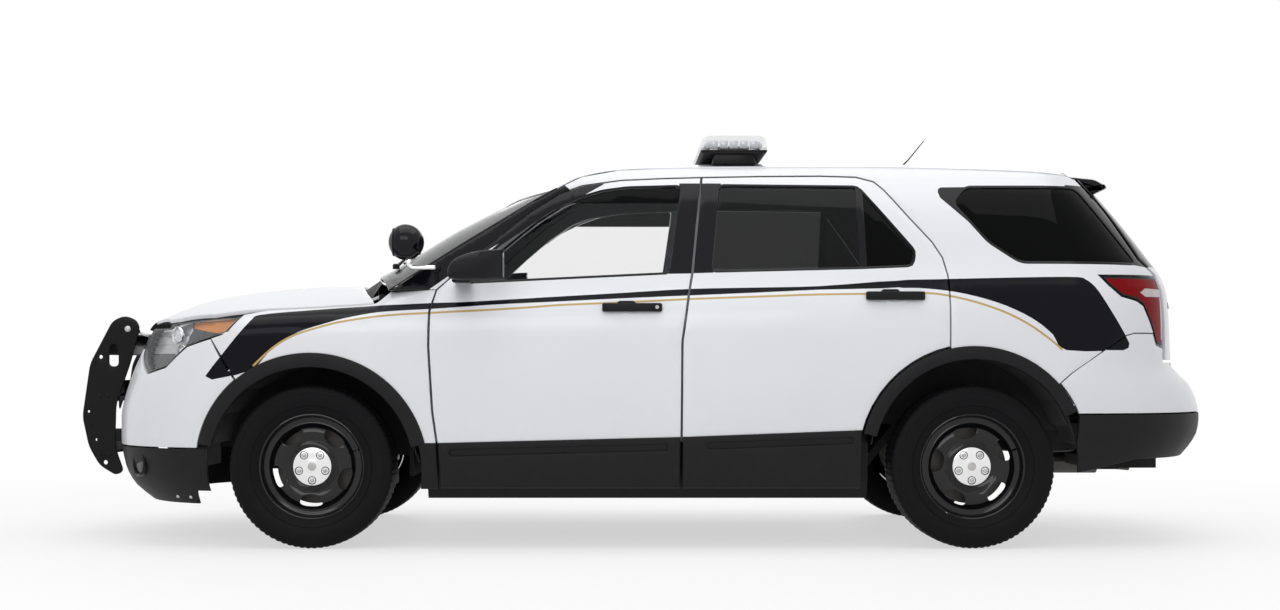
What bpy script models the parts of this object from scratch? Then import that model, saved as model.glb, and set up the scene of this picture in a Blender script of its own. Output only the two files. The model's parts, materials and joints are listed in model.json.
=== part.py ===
"""A police patrol car: a five-door utility vehicle with a push bumper, a light bar and a pillar spotlight.

Metres, +Z up, nose towards -X, the car's left side towards -Y, origin on the ground halfway along it.
The body is three families of skin. Flanks are y over (x, z), tops are z over (x, y), and the nose and
tail are swept round a plan curve. Each panel is an outline filled on its skin, with the real wall's depth.
"""

import math

import bmesh
import bpy
from mathutils import Matrix, Vector, geometry

# Driving sizes
wheelbase = 2.86
track = 1.702
front_overhang = 0.98
rear_overhang = 1.165
push_standoff = 0.165
body_width = 2.0
body_height = 1.74

# Wheels
tyre_radius = 0.355
tyre_width = 0.245
rim_radius = 0.2286
rim_lip = 0.012
rim_wall = 0.006
rim_dish = 0.035
rim_slot_radius = 0.13
rim_slot_length = 0.075
rim_slot_width = 0.042
rim_slot_count = 5
hub_cap_radius = 0.085
hub_cap_height = 0.022
bead_gap = 0.0005
disc_thickness = 0.028
hub_radius = 0.06
running_gap = 0.0008
wheel_segments = 32

# Wheel arches
front_arch_gap = 0.09
rear_arch_gap = 0.075
front_arch_drop = 0.014
rear_arch_rise = 0.035
flare_width = 0.062
flare_stand = 0.012
liner_thickness = 0.008
liner_gap = 0.012

# Panels
door_thickness = 0.10
cover_thickness = 0.022
roof_thickness = 0.035
bonnet_thickness = 0.014
gate_thickness = 0.06
glass_thickness = 0.005
glass_inset = 0.006
lamp_depth = 0.09
shut_gap = 0.010
rim_gap = 0.006
seam_gap = 0.003
lamp_gap = 0.004
seat_gap = 0.0003
pillar_width = 0.13
pillar_depth = 0.06


# Grid steps for the filled skins
flank_step = 0.20
top_step = 0.26
end_step = 0.17
arc_steps = 9

# Where things stand along the car
rear_end_x = (push_standoff + front_overhang + wheelbase + rear_overhang) / 2
rear_axle_x = rear_end_x - rear_overhang
front_axle_x = rear_axle_x - wheelbase
nose_x = front_axle_x - front_overhang
half_width = body_width / 2
front_arch_z = tyre_radius - front_arch_drop
rear_arch_z = tyre_radius + rear_arch_rise
front_opening = tyre_radius + front_arch_gap
rear_opening = tyre_radius + rear_arch_gap
front_flare = front_opening + flare_width
rear_flare = rear_opening + flare_width
cabin_start_x = front_axle_x + front_flare
cabin_length = rear_axle_x - cabin_start_x


def cab(share):
    """x of a share of the cabin, from the front arch's rear edge to the rear axle."""
    return cabin_start_x + share * cabin_length


def fore(share):
    """x of a share of the front overhang, ahead of the front axle."""
    return front_axle_x - share * front_overhang


def aft(share):
    """x of a share of the rear overhang, behind the rear axle."""
    return rear_axle_x + share * rear_overhang


def up(share):
    return share * body_height


def smooth(table, t):
    """A smooth curve through rows of (place, value), held flat beyond its ends."""
    if t <= table[0][0]:
        return table[0][1]
    if t >= table[-1][0]:
        return table[-1][1]
    k = next(i for i in range(len(table) - 1) if t <= table[i + 1][0])
    (a, va), (b, vb) = table[k], table[k + 1]
    step = (vb - va) / (b - a)
    before = (va - table[k - 1][1]) / (a - table[k - 1][0]) if k else step
    after = (table[k + 2][1] - vb) / (table[k + 2][0] - b) if k + 2 < len(table) else step
    slope_a = 0.0 if before * step <= 0 else 2 * before * step / (before + step)
    slope_b = 0.0 if after * step <= 0 else 2 * after * step / (after + step)
    s = (t - a) / (b - a)
    return (
        va * (1 + 2 * s) * (1 - s) ** 2
        + vb * s * s * (3 - 2 * s)
        + (b - a) * (slope_a * s * (1 - s) ** 2 - slope_b * s * s * (1 - s))
    )


# Flank section: (height share, half-width share)
flank_shares = (
    (0.115, 0.905),
    (0.172, 0.955),
    (0.259, 0.980),
    (0.345, 0.992),
    (0.414, 0.999),
    (0.471, 1.000),
    (0.529, 0.999),
    (0.575, 0.990),
    (0.609, 0.970),
    (0.644, 0.934),
    (0.684, 0.896),
    (0.805, 0.802),
    (0.908, 0.713),
    (0.943, 0.668),
    (0.966, 0.620),
    (0.977, 0.575),
)
# Nose on the centre line: (height share, share of the front overhang)
nose_shares = (
    (0.098, 0.830),
    (0.150, 0.940),
    (0.195, 0.980),
    (0.264, 1.000),
    (0.322, 1.000),
    (0.374, 0.980),
    (0.431, 0.944),
    (0.489, 0.898),
    (0.546, 0.847),
    (0.575, 0.811),
    (0.592, 0.776),
)
# Tail on the centre line: (height share, share of the rear overhang)
tail_shares = (
    (0.144, 0.824),
    (0.201, 0.893),
    (0.241, 0.953),
    (0.287, 0.994),
    (0.322, 1.000),
    (0.356, 0.991),
    (0.402, 0.961),
    (0.434, 0.912),
    (0.454, 0.882),
    (0.517, 0.876),
    (0.632, 0.867),
    (0.690, 0.845),
    (0.718, 0.815),
    (0.805, 0.717),
    (0.902, 0.600),
    (0.943, 0.549),
    (0.977, 0.498),
)
front_round_start = fore(0.11)
rear_round_start = aft(0.24)
round_power = 2.6
front_round_width_power = 3.1
rear_round_width_power = 2.92
belt_rise_share = 0.048


def nose_at(z):
    return fore(smooth(nose_shares, z / body_height))


def tail_at(z):
    return aft(smooth(tail_shares, z / body_height))


def belt_lift(x, z):
    """How far the shoulder stands above its height amidships, as the belt rises towards the tail."""
    low, high = up(0.52), up(0.92)
    weight = max(0.0, 1 - abs(2 * (z - low) / (high - low) - 1) ** 3)
    middle_share = 0.5
    return weight * belt_rise_share * body_height * ((x - cab(0)) / cabin_length - middle_share)


def section_width(x, z):
    """Half width of the full section, before the nose and tail round it off."""
    return half_width * smooth(flank_shares, (z - belt_lift(x, z)) / body_height)


def flank_y(x, z):
    width = section_width(x, z)
    if x < front_round_start:
        u = min(1.0, (front_round_start - x) / (front_round_start - nose_at(z)))
        return width * (1 - u**round_power) ** (1 / front_round_width_power)
    if x > rear_round_start:
        u = min(1.0, (x - rear_round_start) / (tail_at(z) - rear_round_start))
        return width * (1 - u**round_power) ** (1 / rear_round_width_power)
    return width


# Upper edge line, where flank meets windscreen and roof: (cabin share, height share)
edge_shares = (
    (-0.075, 0.645),
    (0.022, 0.733),
    (0.098, 0.799),
    (0.233, 0.911),
    (0.279, 0.943),
    (0.349, 0.962),
    (0.417, 0.967),
    (0.608, 0.970),
    (0.821, 0.970),
    (0.991, 0.965),
    (1.140, 0.956),
    (1.225, 0.946),
)
# Centre line of windscreen and roof: (cabin share, height share)
crown_shares = (
    (-0.130, 0.683),
    (-0.108, 0.703),
    (-0.024, 0.776),
    (0.025, 0.817),
    (0.086, 0.860),
    (0.125, 0.887),
    (0.212, 0.945),
    (0.268, 0.967),
    (0.353, 0.984),
    (0.438, 0.994),
    (0.608, 1.000),
    (0.821, 1.000),
    (0.991, 0.995),
    (1.140, 0.984),
    (1.225, 0.971),
)
crown_power = 2.3


def edge_z(x):
    return up(smooth(edge_shares, (x - cabin_start_x) / cabin_length))


def crown_z(x):
    return up(smooth(crown_shares, (x - cabin_start_x) / cabin_length))


def edge_y(x):
    return flank_y(x, edge_z(x))


def roof_z(x, y):
    """Windscreen and roof, as one height over the plan."""
    return crown_z(x) - (crown_z(x) - edge_z(x)) * min(1.0, abs(y) / edge_y(x)) ** crown_power


# Bonnet line, where fender meets bonnet: (share ahead of the cabin start, height share)
bonnet_line_shares = (
    (-0.010, 0.647),
    (0.105, 0.643),
    (0.170, 0.610),
    (0.300, 0.602),
    (0.520, 0.592),
    (0.760, 0.576),
    (0.890, 0.563),
)
# Bonnet centre line: (share ahead of the cabin start, height share)
bonnet_crown_shares = (
    (0.190, 0.668),
    (0.310, 0.670),
    (0.420, 0.666),
    (0.560, 0.654),
    (0.660, 0.642),
    (0.750, 0.624),
    (0.815, 0.604),
    (0.865, 0.575),
)
bonnet_power = 2.6
bonnet_full_share = 0.80
shoulder_height = 0.085
shoulder_tuck = 0.10
front_length = cabin_start_x - nose_x


def ahead(share):
    """x of a share of the front end, from the cabin start to the nose."""
    return cabin_start_x - share * front_length


def bonnet_line_z(x):
    return up(smooth(bonnet_line_shares, (cabin_start_x - x) / front_length))


def bonnet_crown_z(x):
    return up(smooth(bonnet_crown_shares, (cabin_start_x - x) / front_length))


def roll_in(x, z):
    """How far the front's shoulder is rolled in under the bonnet line, fading out at the cabin."""
    rise = min(1.0, max(0.0, 1 - (bonnet_line_z(x) - z) / shoulder_height))
    fade = min(1.0, max(0.0, (cab(0) - x) / (front_length / 6)))
    return fade * shoulder_tuck * (1 - math.sqrt(1 - rise**2))


def wing_y(x, z):
    """Fender skin: the flank, rolled in at its shoulder."""
    return flank_y(x, z) - roll_in(x, z)


def bonnet_edge_y(x):
    return wing_y(x, bonnet_line_z(x))


def bonnet_z(x, y):
    share = min(1.0, abs(y) / bonnet_edge_y(max(x, ahead(bonnet_full_share))))
    return bonnet_crown_z(x) - (bonnet_crown_z(x) - bonnet_line_z(x)) * share**bonnet_power


def plan_table(width_power):
    """Rows of (arc length, width share, length share) round a quarter of the plan, from its tip to its side."""
    length = front_overhang - (front_axle_x - front_round_start)
    count = 90
    rows, s, last = [], 0.0, None
    for k in range(count + 1):
        a = math.pi / 2 * k / count
        y = math.sin(a) ** (2 / width_power)
        u = math.cos(a) ** (2 / round_power) if k < count else 0.0
        here = Vector((y * half_width, u * length))
        s += (here - last).length if last else 0.0
        rows.append((s, y, u))
        last = here
    return rows


front_plan = plan_table(front_round_width_power)
rear_plan = plan_table(rear_round_width_power)


def along(rows, column, value, want):
    """Reads a column of a plan table where another column has a value."""
    for a, b in zip(rows, rows[1:]):
        low, high = sorted((a[column], b[column]))
        if low <= value <= high and high > low:
            t = (value - a[column]) / (b[column] - a[column])
            return a[want] + t * (b[want] - a[want])
    return rows[-1][want] if abs(value - rows[-1][column]) < abs(value - rows[0][column]) else rows[0][want]


def turn_in(u):
    """How much of a wall points back along the car, from none on the side to all of it at the tip."""
    side_share, tip_share = 0.45, 0.8
    t = min(1.0, max(0.0, (u - side_share) / (tip_share - side_share)))
    return t * t * (3 - 2 * t)


def nose_point(s, z, inward=0.0):
    """A point of the nose's skin, s round the plan from the centre line, moved inward by a wall."""
    y, u = along(front_plan, 0, abs(s), 1), along(front_plan, 0, abs(s), 2)
    x = front_round_start + inward * turn_in(u) - (front_round_start - nose_at(z)) * u
    width = section_width(x, z) - roll_in(x, z) - inward
    return Vector((x, math.copysign(y * width, s), z))


def tail_point(s, z, inward=0.0):
    y, u = along(rear_plan, 0, abs(s), 1), along(rear_plan, 0, abs(s), 2)
    x = rear_round_start - inward * turn_in(u) + (tail_at(z) - rear_round_start) * u
    width = section_width(x, z) - inward
    return Vector((x, math.copysign(y * width, s), z))


def nose_side(x, z):
    """Arc length round the nose where the skin is at x."""
    return along(front_plan, 2, (front_round_start - x) / (front_round_start - nose_at(z)), 0)


def tail_side(x, z):
    return along(rear_plan, 2, (x - rear_round_start) / (tail_at(z) - rear_round_start), 0)


def end_front(y, z, rows):
    """Arc length round a nose or tail where the skin is y off the centre line."""
    start = front_round_start if rows is front_plan else rear_round_start
    return along(rows, 1, abs(y) / section_width(start, z), 0)


def inside(point, loop):
    x, y = point
    found = False
    for (ax, ay), (bx, by) in zip(loop, loop[1:] + loop[:1]):
        if (ay > y) != (by > y) and x < (bx - ax) * (y - ay) / (by - ay) + ax:
            found = not found
    return found


def inset(loop, by):
    """The loop moved inward by a distance."""
    area = sum(a[0] * b[1] - b[0] * a[1] for a, b in zip(loop, loop[1:] + loop[:1]))
    turn = 1 if area > 0 else -1
    made = []
    for k, here in enumerate(loop):
        before = (Vector(here) - Vector(loop[k - 1])).normalized()
        after = (Vector(loop[(k + 1) % len(loop)]) - Vector(here)).normalized()
        normal = Vector((-before.y - after.y, before.x + after.x)).normalized() * turn
        lean = max(0.4, normal.dot(Vector((-before.y, before.x)) * turn))
        made.append(tuple(Vector(here) + normal * by / lean))
    return made


def rounded(loop, radius, steps=3):
    """The loop with its corners rounded. A radius for each corner, or one for all."""
    radii = radius if isinstance(radius, (list, tuple)) else [radius] * len(loop)
    made = []
    for k, r in enumerate(radii):
        here = Vector(loop[k])
        to_last = Vector(loop[k - 1]) - here
        to_next = Vector(loop[(k + 1) % len(loop)]) - here
        r = min(r, to_last.length * 0.48, to_next.length * 0.48)
        if r <= 0:
            made.append(tuple(here))
            continue
        a, b = here + to_last.normalized() * r, here + to_next.normalized() * r
        for i in range(steps + 1):
            t = i / steps
            made.append(tuple(a * (1 - t) ** 2 + here * 2 * t * (1 - t) + b * t**2))
    return made


def arc(centre, radius, start, end, steps=arc_steps):
    """Points of an arc in a flat plane, angles in degrees."""
    turns = [math.radians(start + (end - start) * k / steps) for k in range(steps + 1)]
    return [(centre[0] + radius * math.cos(t), centre[1] + radius * math.sin(t)) for t in turns]


sliver_area = 2e-7


def fill(outline, holes, step_u, step_v, marks=()):
    """Fills an outline with holes by triangles, on a grid of inner points. Returns flat points and triangles."""
    points, edges = [], []
    for loop in [outline, *holes]:
        first = len(points)
        for a, b in zip(loop, loop[1:] + loop[:1]):
            parts = max(1, math.ceil(max(abs(b[0] - a[0]) / step_u, abs(b[1] - a[1]) / step_v) - 1e-6))
            points += [Vector(a).lerp(Vector(b), k / parts) for k in range(parts)]
        count = len(points) - first
        edges += [(first + k, first + (k + 1) % count) for k in range(count)]
    rim = list(points)
    points += [Vector(m) for m in marks]
    rim_and_marks = list(points)
    low = Vector((min(p.x for p in rim), min(p.y for p in rim)))
    high = Vector((max(p.x for p in rim), max(p.y for p in rim)))
    columns = max(1, round((high.x - low.x) / step_u))
    rows = max(1, round((high.y - low.y) / step_v))
    for i in range(1, columns):
        for j in range(1, rows):
            p = Vector((low.x + (high.x - low.x) * i / columns, low.y + (high.y - low.y) * j / rows))
            near = min(max(abs(p.x - q.x) / step_u, abs(p.y - q.y) / step_v) for q in rim_and_marks)
            if near > 0.45 and inside(p, outline) and not any(inside(p, h) for h in holes):
                points.append(p)
    verts, _, faces, *_ = geometry.delaunay_2d_cdt(points, edges, [], 0, 1e-7)
    kept = []
    for face in faces:
        middle = sum((verts[k] for k in face), Vector((0, 0))) / len(face)
        a, b, c = (verts[k] for k in face)
        thin = abs((b - a).cross(c - a)) < sliver_area and max(face) < len(rim)
        if not thin and inside(middle, outline) and not any(inside(middle, h) for h in holes):
            kept.append(tuple(face))
    return [tuple(v) for v in verts], kept


def material(name, colour, roughness, metallic=0.0, alpha=1.0):
    made = bpy.data.materials.get(name) or bpy.data.materials.new(name)
    made.use_nodes = True
    shader = made.node_tree.nodes["Principled BSDF"]
    shader.inputs["Base Color"].default_value = (*colour, 1.0)
    shader.inputs["Roughness"].default_value = roughness
    shader.inputs["Metallic"].default_value = metallic
    shader.inputs["Alpha"].default_value = alpha
    return made


def paints():
    """(name: colour, roughness, metallic, alpha) of each finish, from the photograph."""
    return {
        "white_paint": ((0.86, 0.87, 0.90), 0.25, 0.0, 1.0),
        "black_plastic": ((0.018, 0.018, 0.020), 0.6, 0.0, 1.0),
        "black_gloss": ((0.010, 0.010, 0.013), 0.2, 0.0, 1.0),
        "tinted_glass": ((0.02, 0.022, 0.025), 0.05, 0.0, 0.5),
        "clear_glass": ((0.55, 0.62, 0.62), 0.05, 0.0, 0.3),
        "lamp_lens": ((0.75, 0.76, 0.78), 0.08, 0.0, 1.0),
        "red_lens": ((0.45, 0.01, 0.015), 0.1, 0.0, 1.0),
        "rubber": ((0.020, 0.020, 0.022), 0.75, 0.0, 1.0),
        "black_steel": ((0.012, 0.012, 0.013), 0.25, 0.6, 1.0),
        "bare_steel": ((0.35, 0.34, 0.33), 0.5, 0.9, 1.0),
        "chassis_black": ((0.03, 0.03, 0.03), 0.7, 0.2, 1.0),
        "seat_cloth": ((0.06, 0.06, 0.065), 0.9, 0.0, 1.0),
    }


def finish(obj, paint):
    obj.data.materials.clear()
    obj.data.materials.append(material(paint, *paints()[paint]))
    obj.data.shade_smooth()
    obj.data.set_sharp_from_angle(angle=math.radians(32))
    return obj


def mesh_object(name, bm, paint=None):
    bmesh.ops.remove_doubles(bm, verts=bm.verts, dist=1e-6)
    bmesh.ops.recalc_face_normals(bm, faces=bm.faces)
    mesh = bpy.data.meshes.new(name)
    bm.to_mesh(mesh)
    bm.free()
    obj = bpy.data.objects.new(name, mesh)
    bpy.context.scene.collection.objects.link(obj)
    return finish(obj, paint) if paint else obj


def helper(obj):
    """Hides a shape that only cuts or joins."""
    obj.hide_render = True
    obj.display_type = "WIRE"
    return obj


def shell(name, flat, faces, outer, inner, paint=None, side=-1):
    """A closed wall between two skins over one flat fill. side 1 turns a left-hand piece into a right-hand one."""
    bm = bmesh.new()
    flip = -1 if side == 1 else 1

    def place(point):
        return bm.verts.new(point)

    used = sorted({k for f in faces for k in f})
    front = {k: place(outer(*flat[k])) for k in used}
    back = {k: place(inner(*flat[k])) for k in used}
    open_edges = {}
    for face in faces:
        bm.faces.new([front[k] for k in face])
        bm.faces.new([back[k] for k in reversed(face)])
        for a, b in zip(face, face[1:] + face[:1]):
            open_edges[(a, b)] = (b, a) not in open_edges
            if (b, a) in open_edges:
                open_edges[(b, a)] = False
    for (a, b), is_open in open_edges.items():
        if is_open:
            bm.faces.new([front[b], front[a], back[a], back[b]])
    bmesh.ops.triangulate(bm, faces=bm.faces, quad_method="FIXED")
    for vert in bm.verts:
        vert.co.y *= flip
    return mesh_object(name, bm, paint)


def prism(name, profile, low, high, axis="y", paint=None, flip=1):
    """A flat profile drawn out between two places along an axis."""
    bm = bmesh.new()

    def place(u, v, w):
        return {"x": (w, u * flip, v), "y": (u, w * flip, v), "z": (u, v * flip, w)}[axis]

    ends = [[bm.verts.new(place(u, v, w)) for u, v in profile] for w in (low, high)]
    bm.faces.new(ends[0])
    bm.faces.new(reversed(ends[1]))
    for k in range(len(profile)):
        n = (k + 1) % len(profile)
        bm.faces.new([ends[0][k], ends[0][n], ends[1][n], ends[1][k]])
    return mesh_object(name, bm, paint)


def box(name, low, high, paint=None, flip=1):
    profile = [(low[0], low[2]), (high[0], low[2]), (high[0], high[2]), (low[0], high[2])]
    return prism(name, profile, low[1], high[1], paint=paint, flip=flip)


def turned(name, profile, centre, segments=24, axis="y", paint=None):
    """A closed ring profile of (along, radius) turned about an axis through a centre."""
    bm = bmesh.new()
    rings = []
    for k in range(segments):
        t = 2 * math.pi * k / segments
        ring = []
        for a, r in profile:
            c, s = r * math.cos(t), r * math.sin(t)
            offset = {"x": (a, c, s), "y": (c, a, s), "z": (c, s, a)}[axis]
            ring.append(bm.verts.new(Vector(centre) + Vector(offset)))
        rings.append(ring)
    for k, ring in enumerate(rings):
        after = rings[(k + 1) % segments]
        for i in range(len(profile)):
            n = (i + 1) % len(profile)
            bm.faces.new([ring[i], ring[n], after[n], after[i]])
    return mesh_object(name, bm, paint)


def rod(name, start, end, radius, sides=10, paint=None):
    """A round bar between two points."""
    start, end = Vector(start), Vector(end)
    bm = bmesh.new()
    bmesh.ops.create_cone(
        bm, cap_ends=True, segments=sides, radius1=radius, radius2=radius, depth=(end - start).length
    )
    turn = (end - start).to_track_quat("Z", "Y").to_matrix().to_4x4()
    bmesh.ops.transform(bm, matrix=Matrix.Translation((start + end) / 2) @ turn, verts=bm.verts)
    return mesh_object(name, bm, paint)


def combine(obj, others, operation="UNION"):
    for other in others:
        helper(other)
        step = obj.modifiers.new(operation.lower(), "BOOLEAN")
        step.operation = operation
        step.object = other
    return obj


def cabin_line(shares):
    return [(cab(a), up(b)) for a, b in shares]


# Shut lines of the side: (cabin share, height share)
front_line_shares = ((0.012, 0.645), (0.002, 0.591), (0.001, 0.502), (0.008, 0.341), (0.016, 0.261), (0.020, 0.143))
top_line_shares = (
    (0.012, 0.645),
    (0.065, 0.710),
    (0.133, 0.790),
    (0.184, 0.847),
    (0.238, 0.895),
    (0.280, 0.916),
    (0.354, 0.931),
    (0.430, 0.936),
    (0.507, 0.939),
    (0.618, 0.942),
    (0.732, 0.943),
    (0.800, 0.940),
    (0.833, 0.927),
    (0.851, 0.904),
    (0.895, 0.829),
    (0.934, 0.766),
    (0.951, 0.726),
    (0.958, 0.680),
)
b_line_shares = ((0.507, 0.939), (0.495, 0.799), (0.486, 0.687), (0.479, 0.635), (0.466, 0.514), (0.464, 0.147))
c_line_shares = ((0.958, 0.680), (0.958, 0.622), (0.957, 0.502))
front_window_shares = (
    (0.069, 0.666),
    (0.241, 0.677),
    (0.444, 0.690),
    (0.467, 0.912),
    (0.366, 0.908),
    (0.318, 0.899),
    (0.270, 0.878),
    (0.222, 0.847),
    (0.128, 0.758),
    (0.075, 0.695),
)
rear_window_shares = (
    (0.522, 0.694),
    (0.799, 0.703),
    (0.892, 0.708),
    (0.898, 0.742),
    (0.847, 0.830),
    (0.800, 0.910),
    (0.540, 0.914),
)
# Quarter window: (share of the rear overhang, height share)
quarter_window_shares = (
    (0.010, 0.909),
    (0.440, 0.909),
    (0.650, 0.716),
    (0.190, 0.717),
    (0.079, 0.769),
    (-0.040, 0.870),
)
# Line between quarter and liftgate: (share of the rear overhang, height share)
gate_line_shares = ((0.455, 0.938), (0.500, 0.905), (0.560, 0.850), (0.668, 0.725), (0.738, 0.684))
gate_foot_shares = ((0.755, 0.640), (0.760, 0.570), (0.760, 0.500), (0.760, 0.470))
rear_bumper_line_shares = ((0.704, 0.537), (0.613, 0.537), (0.574, 0.530), (0.489, 0.495), (0.360, 0.437))
lamp_front_shares = (
    (0.478, 0.682),
    (0.512, 0.656),
    (0.560, 0.628),
    (0.627, 0.617),
    (0.656, 0.605),
    (0.690, 0.560),
)
lamp_foot_shares = ((0.720, 0.508), (0.755, 0.500))
# Headlamp on the side: (share of the front overhang, height share)
lamp_tail_share = (0.304, 0.583)
lamp_under_shares = (
    (0.371, 0.536),
    (0.480, 0.517),
    (0.558, 0.503),
    (0.606, 0.481),
    (0.665, 0.451),
    (0.772, 0.434),
)
bumper_seam_share = (0.443, 0.523)
lamp_inner_share = 0.52
grille_half_share = 0.49
grille_low_share = 0.385
nose_low_share = 0.249
skirt_low_share = 0.140
lip_low_share = 0.106
door_low_share = 0.147
frame_gap = 0.014
door_edge_thickness = 0.045
window_edge_thickness = 0.016
door_edge_reach = 0.18
belt_blend = 0.045
belt_share = 0.655
frame_depth = 0.045
rail_thickness = 0.16
edge_lip = glass_thickness

front_line = cabin_line(front_line_shares)
top_line = cabin_line(top_line_shares)
b_line = cabin_line(b_line_shares)
c_line = cabin_line(c_line_shares)
c_foot_x = c_line[-1][0]
c_foot_z = rear_arch_z + math.sqrt(rear_flare**2 - (c_foot_x - rear_axle_x) ** 2)
c_line[-1] = (c_foot_x, c_foot_z)
c_foot_angle = math.degrees(math.atan2(c_foot_z - rear_arch_z, c_foot_x - rear_axle_x))
b_top = top_line.index(b_line[0])
front_wheel = (front_axle_x, front_arch_z)
rear_wheel = (rear_axle_x, rear_arch_z)


def door_loops():
    """Outline and window of each door, as they meet at the shut lines."""
    low = up(door_low_share)
    front = front_line[:-1] + [(front_line[-1][0], low), (b_line[-1][0], low)]
    front += b_line[:-1][::-1] + top_line[1:b_top][::-1]
    flare = arc(rear_wheel, rear_flare, c_foot_angle, 180 - arch_foot_angle)
    rear = b_line[:-1] + [(b_line[-1][0], low), (flare[-1][0], low)]
    rear += flare[::-1] + c_line[:-1][::-1] + top_line[b_top + 1 : -1][::-1]
    return {
        "front": (front, rounded(cabin_line(front_window_shares), 0.02, 2)),
        "rear": (rear, rounded(cabin_line(rear_window_shares), 0.02, 2)),
    }


def door_wall(x, z, low_x, high_x):
    """Door wall: thin at both ends and by the wheel, whole in the middle, and thin again round its window."""
    to_wheel = math.hypot(x - rear_axle_x, z - rear_arch_z) - rear_flare
    middle = min(1.0, max(0.0, min(x - low_x, high_x - x, to_wheel) / door_edge_reach))
    lower = door_edge_thickness + (door_thickness - door_edge_thickness) * middle
    blend = min(1.0, max(0.0, (z - up(belt_share)) / belt_blend))
    return lower + (window_edge_thickness - lower) * blend


def make_door(which, side, hand):
    outline, window = door_loops()[which]
    low_x, high_x = min(p[0] for p in outline), max(p[0] for p in outline)
    flat, faces = fill(inset(outline, shut_gap / 2), [window], flank_step, flank_step)

    def outer(x, z):
        return x, -flank_y(x, z), z

    def inner(x, z):
        return x, -(flank_y(x, z) - door_wall(x, z, low_x, high_x)), z

    door = shell(f"door_{which}_{hand}", flat, faces, outer, inner, "white_paint", side)
    make_door_hinges(door, which, side)
    combine(door, [make_handle(which, side)])

    def glass_out(x, z):
        return x, -(flank_y(x, z) - glass_inset), z

    def glass_in(x, z):
        return x, -(flank_y(x, z) - glass_inset - glass_thickness), z

    pane = inset(window, seat_gap)
    flat, faces = fill(pane, [], flank_step, flank_step)
    paint = "clear_glass" if which == "front" else "tinted_glass"
    glass = shell(f"glass_{which}_{hand}", flat, faces, glass_out, glass_in, paint, side)
    return door, glass


edge_station_shares = (
    (-0.075, -0.030, 0.020, 0.058, 0.098, 0.143, 0.188, 0.233, 0.279, 0.349, 0.417)
    + (0.480, 0.545, 0.608, 0.670, 0.740, 0.821, 0.870, 0.930, 0.991, 1.060, 1.140, 1.205)
)
edge_stations = [cab(share) for share in edge_station_shares]


def body_side_loop():
    """The fixed side round the doors: pillar, roof rail, quarter and arch, as one open ring."""
    top = [(x, edge_z(x) - edge_lip - seat_gap) for x in edge_stations]
    gate = [(aft(a), up(b)) for a, b in gate_line_shares]
    gate += [(aft(a), up(b)) for a, b in lamp_front_shares]
    bumper = [(aft(a), up(b)) for a, b in rear_bumper_line_shares]
    middle = (rear_opening + rear_flare) / 2
    arch_end = math.degrees(math.atan2(bumper[-1][1] - rear_arch_z, bumper[-1][0] - rear_axle_x))
    arch = arc(rear_wheel, middle, arch_end, c_foot_angle)
    return top + gate + bumper + arch + c_line[::-1] + top_line[:-1][::-1]


def make_body_side(side, hand):
    loop = body_side_loop()
    quarter = rounded([(aft(a), up(b)) for a, b in quarter_window_shares], 0.03, 2)
    flat, faces = fill(inset(loop, seam_gap / 2), [quarter], flank_step, flank_step)
    thin_start, thin_length = c_line[0][0] + pillar_depth, pillar_width * 2

    def wall(x):
        thin = min(1.0, max(0.0, (x - thin_start) / thin_length))
        return rail_thickness + (cover_thickness - rail_thickness) * thin

    def outer(x, z):
        return x, -flank_y(x, z), z

    def inner(x, z):
        return x, -(flank_y(x, z) - min(wall(x), flank_y(x, z) / 3)), z

    panel = shell(f"body_side_{hand}", flat, faces, outer, inner, "white_paint", side)
    flare = rear_flare - shut_gap / 2
    lip = make_arch(rear_wheel, rear_opening, flare, rear_foot_angle, 180 - arch_foot_angle, side)
    combine(panel, [lip, make_frame(side)])
    for which in ("front", "rear"):
        lugs, holes = hinge_lugs(which, side)
        combine(panel, lugs)
        combine(panel, holes, "DIFFERENCE")

    def glass_out(x, z):
        return x, -(flank_y(x, z) - glass_inset), z

    def glass_in(x, z):
        return x, -(flank_y(x, z) - glass_inset - glass_thickness), z

    flat, faces = fill(inset(quarter, seat_gap), [], flank_step, flank_step)
    shell(f"glass_quarter_{hand}", flat, faces, glass_out, glass_in, "tinted_glass", side)
    return panel


def make_arch(centre, low, high, start, end, side):
    """The black lip round a wheel opening, standing a little proud of the flank."""
    steps = arc_steps * 2
    loop = arc(centre, high, start, end, steps) + arc(centre, low, end, start, steps)
    flat, faces = fill(loop, [], flank_step * 2, flank_step * 2)

    def outer(x, z):
        return x, -(flank_y(x, z) + flare_stand), z

    def inner(x, z):
        return x, -(flank_y(x, z) - flare_depth), z

    return shell("arch", flat, faces, outer, inner, "black_plastic", side)


flare_depth = 0.03
arch_foot_angle = 13
rear_foot_angle = 25
frame_stand = 0.055
frame_front_reach = 0.055
frame_low_share = 0.120


def make_frame(side):
    """The pillars, sill and rail behind the doors, with both door openings."""
    low = up(frame_low_share)
    clear = rear_opening + liner_gap + liner_thickness + rim_gap
    front_x = front_line[2][0] - frame_front_reach / 3
    arch = arc(rear_wheel, clear, 165, 112)
    top = [(x, z + frame_stand / 3) for x, z in top_line[1:-1]]
    loop = [(front_x, low), (arch[0][0], low)] + arch + [(c_line[1][0] + pillar_depth, c_line[1][1])]
    loop += top[::-1] + [(front_x, top_line[0][1])]
    holes = []
    for outline, _ in door_loops().values():
        holes.append(inset(outline, frame_stand))
    flat, faces = fill(loop, holes, flank_step, flank_step)

    def outer(x, z):
        return x, -(flank_y(x, z) - door_thickness - frame_gap), z

    def inner(x, z):
        return x, -(flank_y(x, z) - door_thickness - frame_gap - frame_depth), z

    return shell("frame", flat, faces, outer, inner, "white_paint", side)


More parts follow.
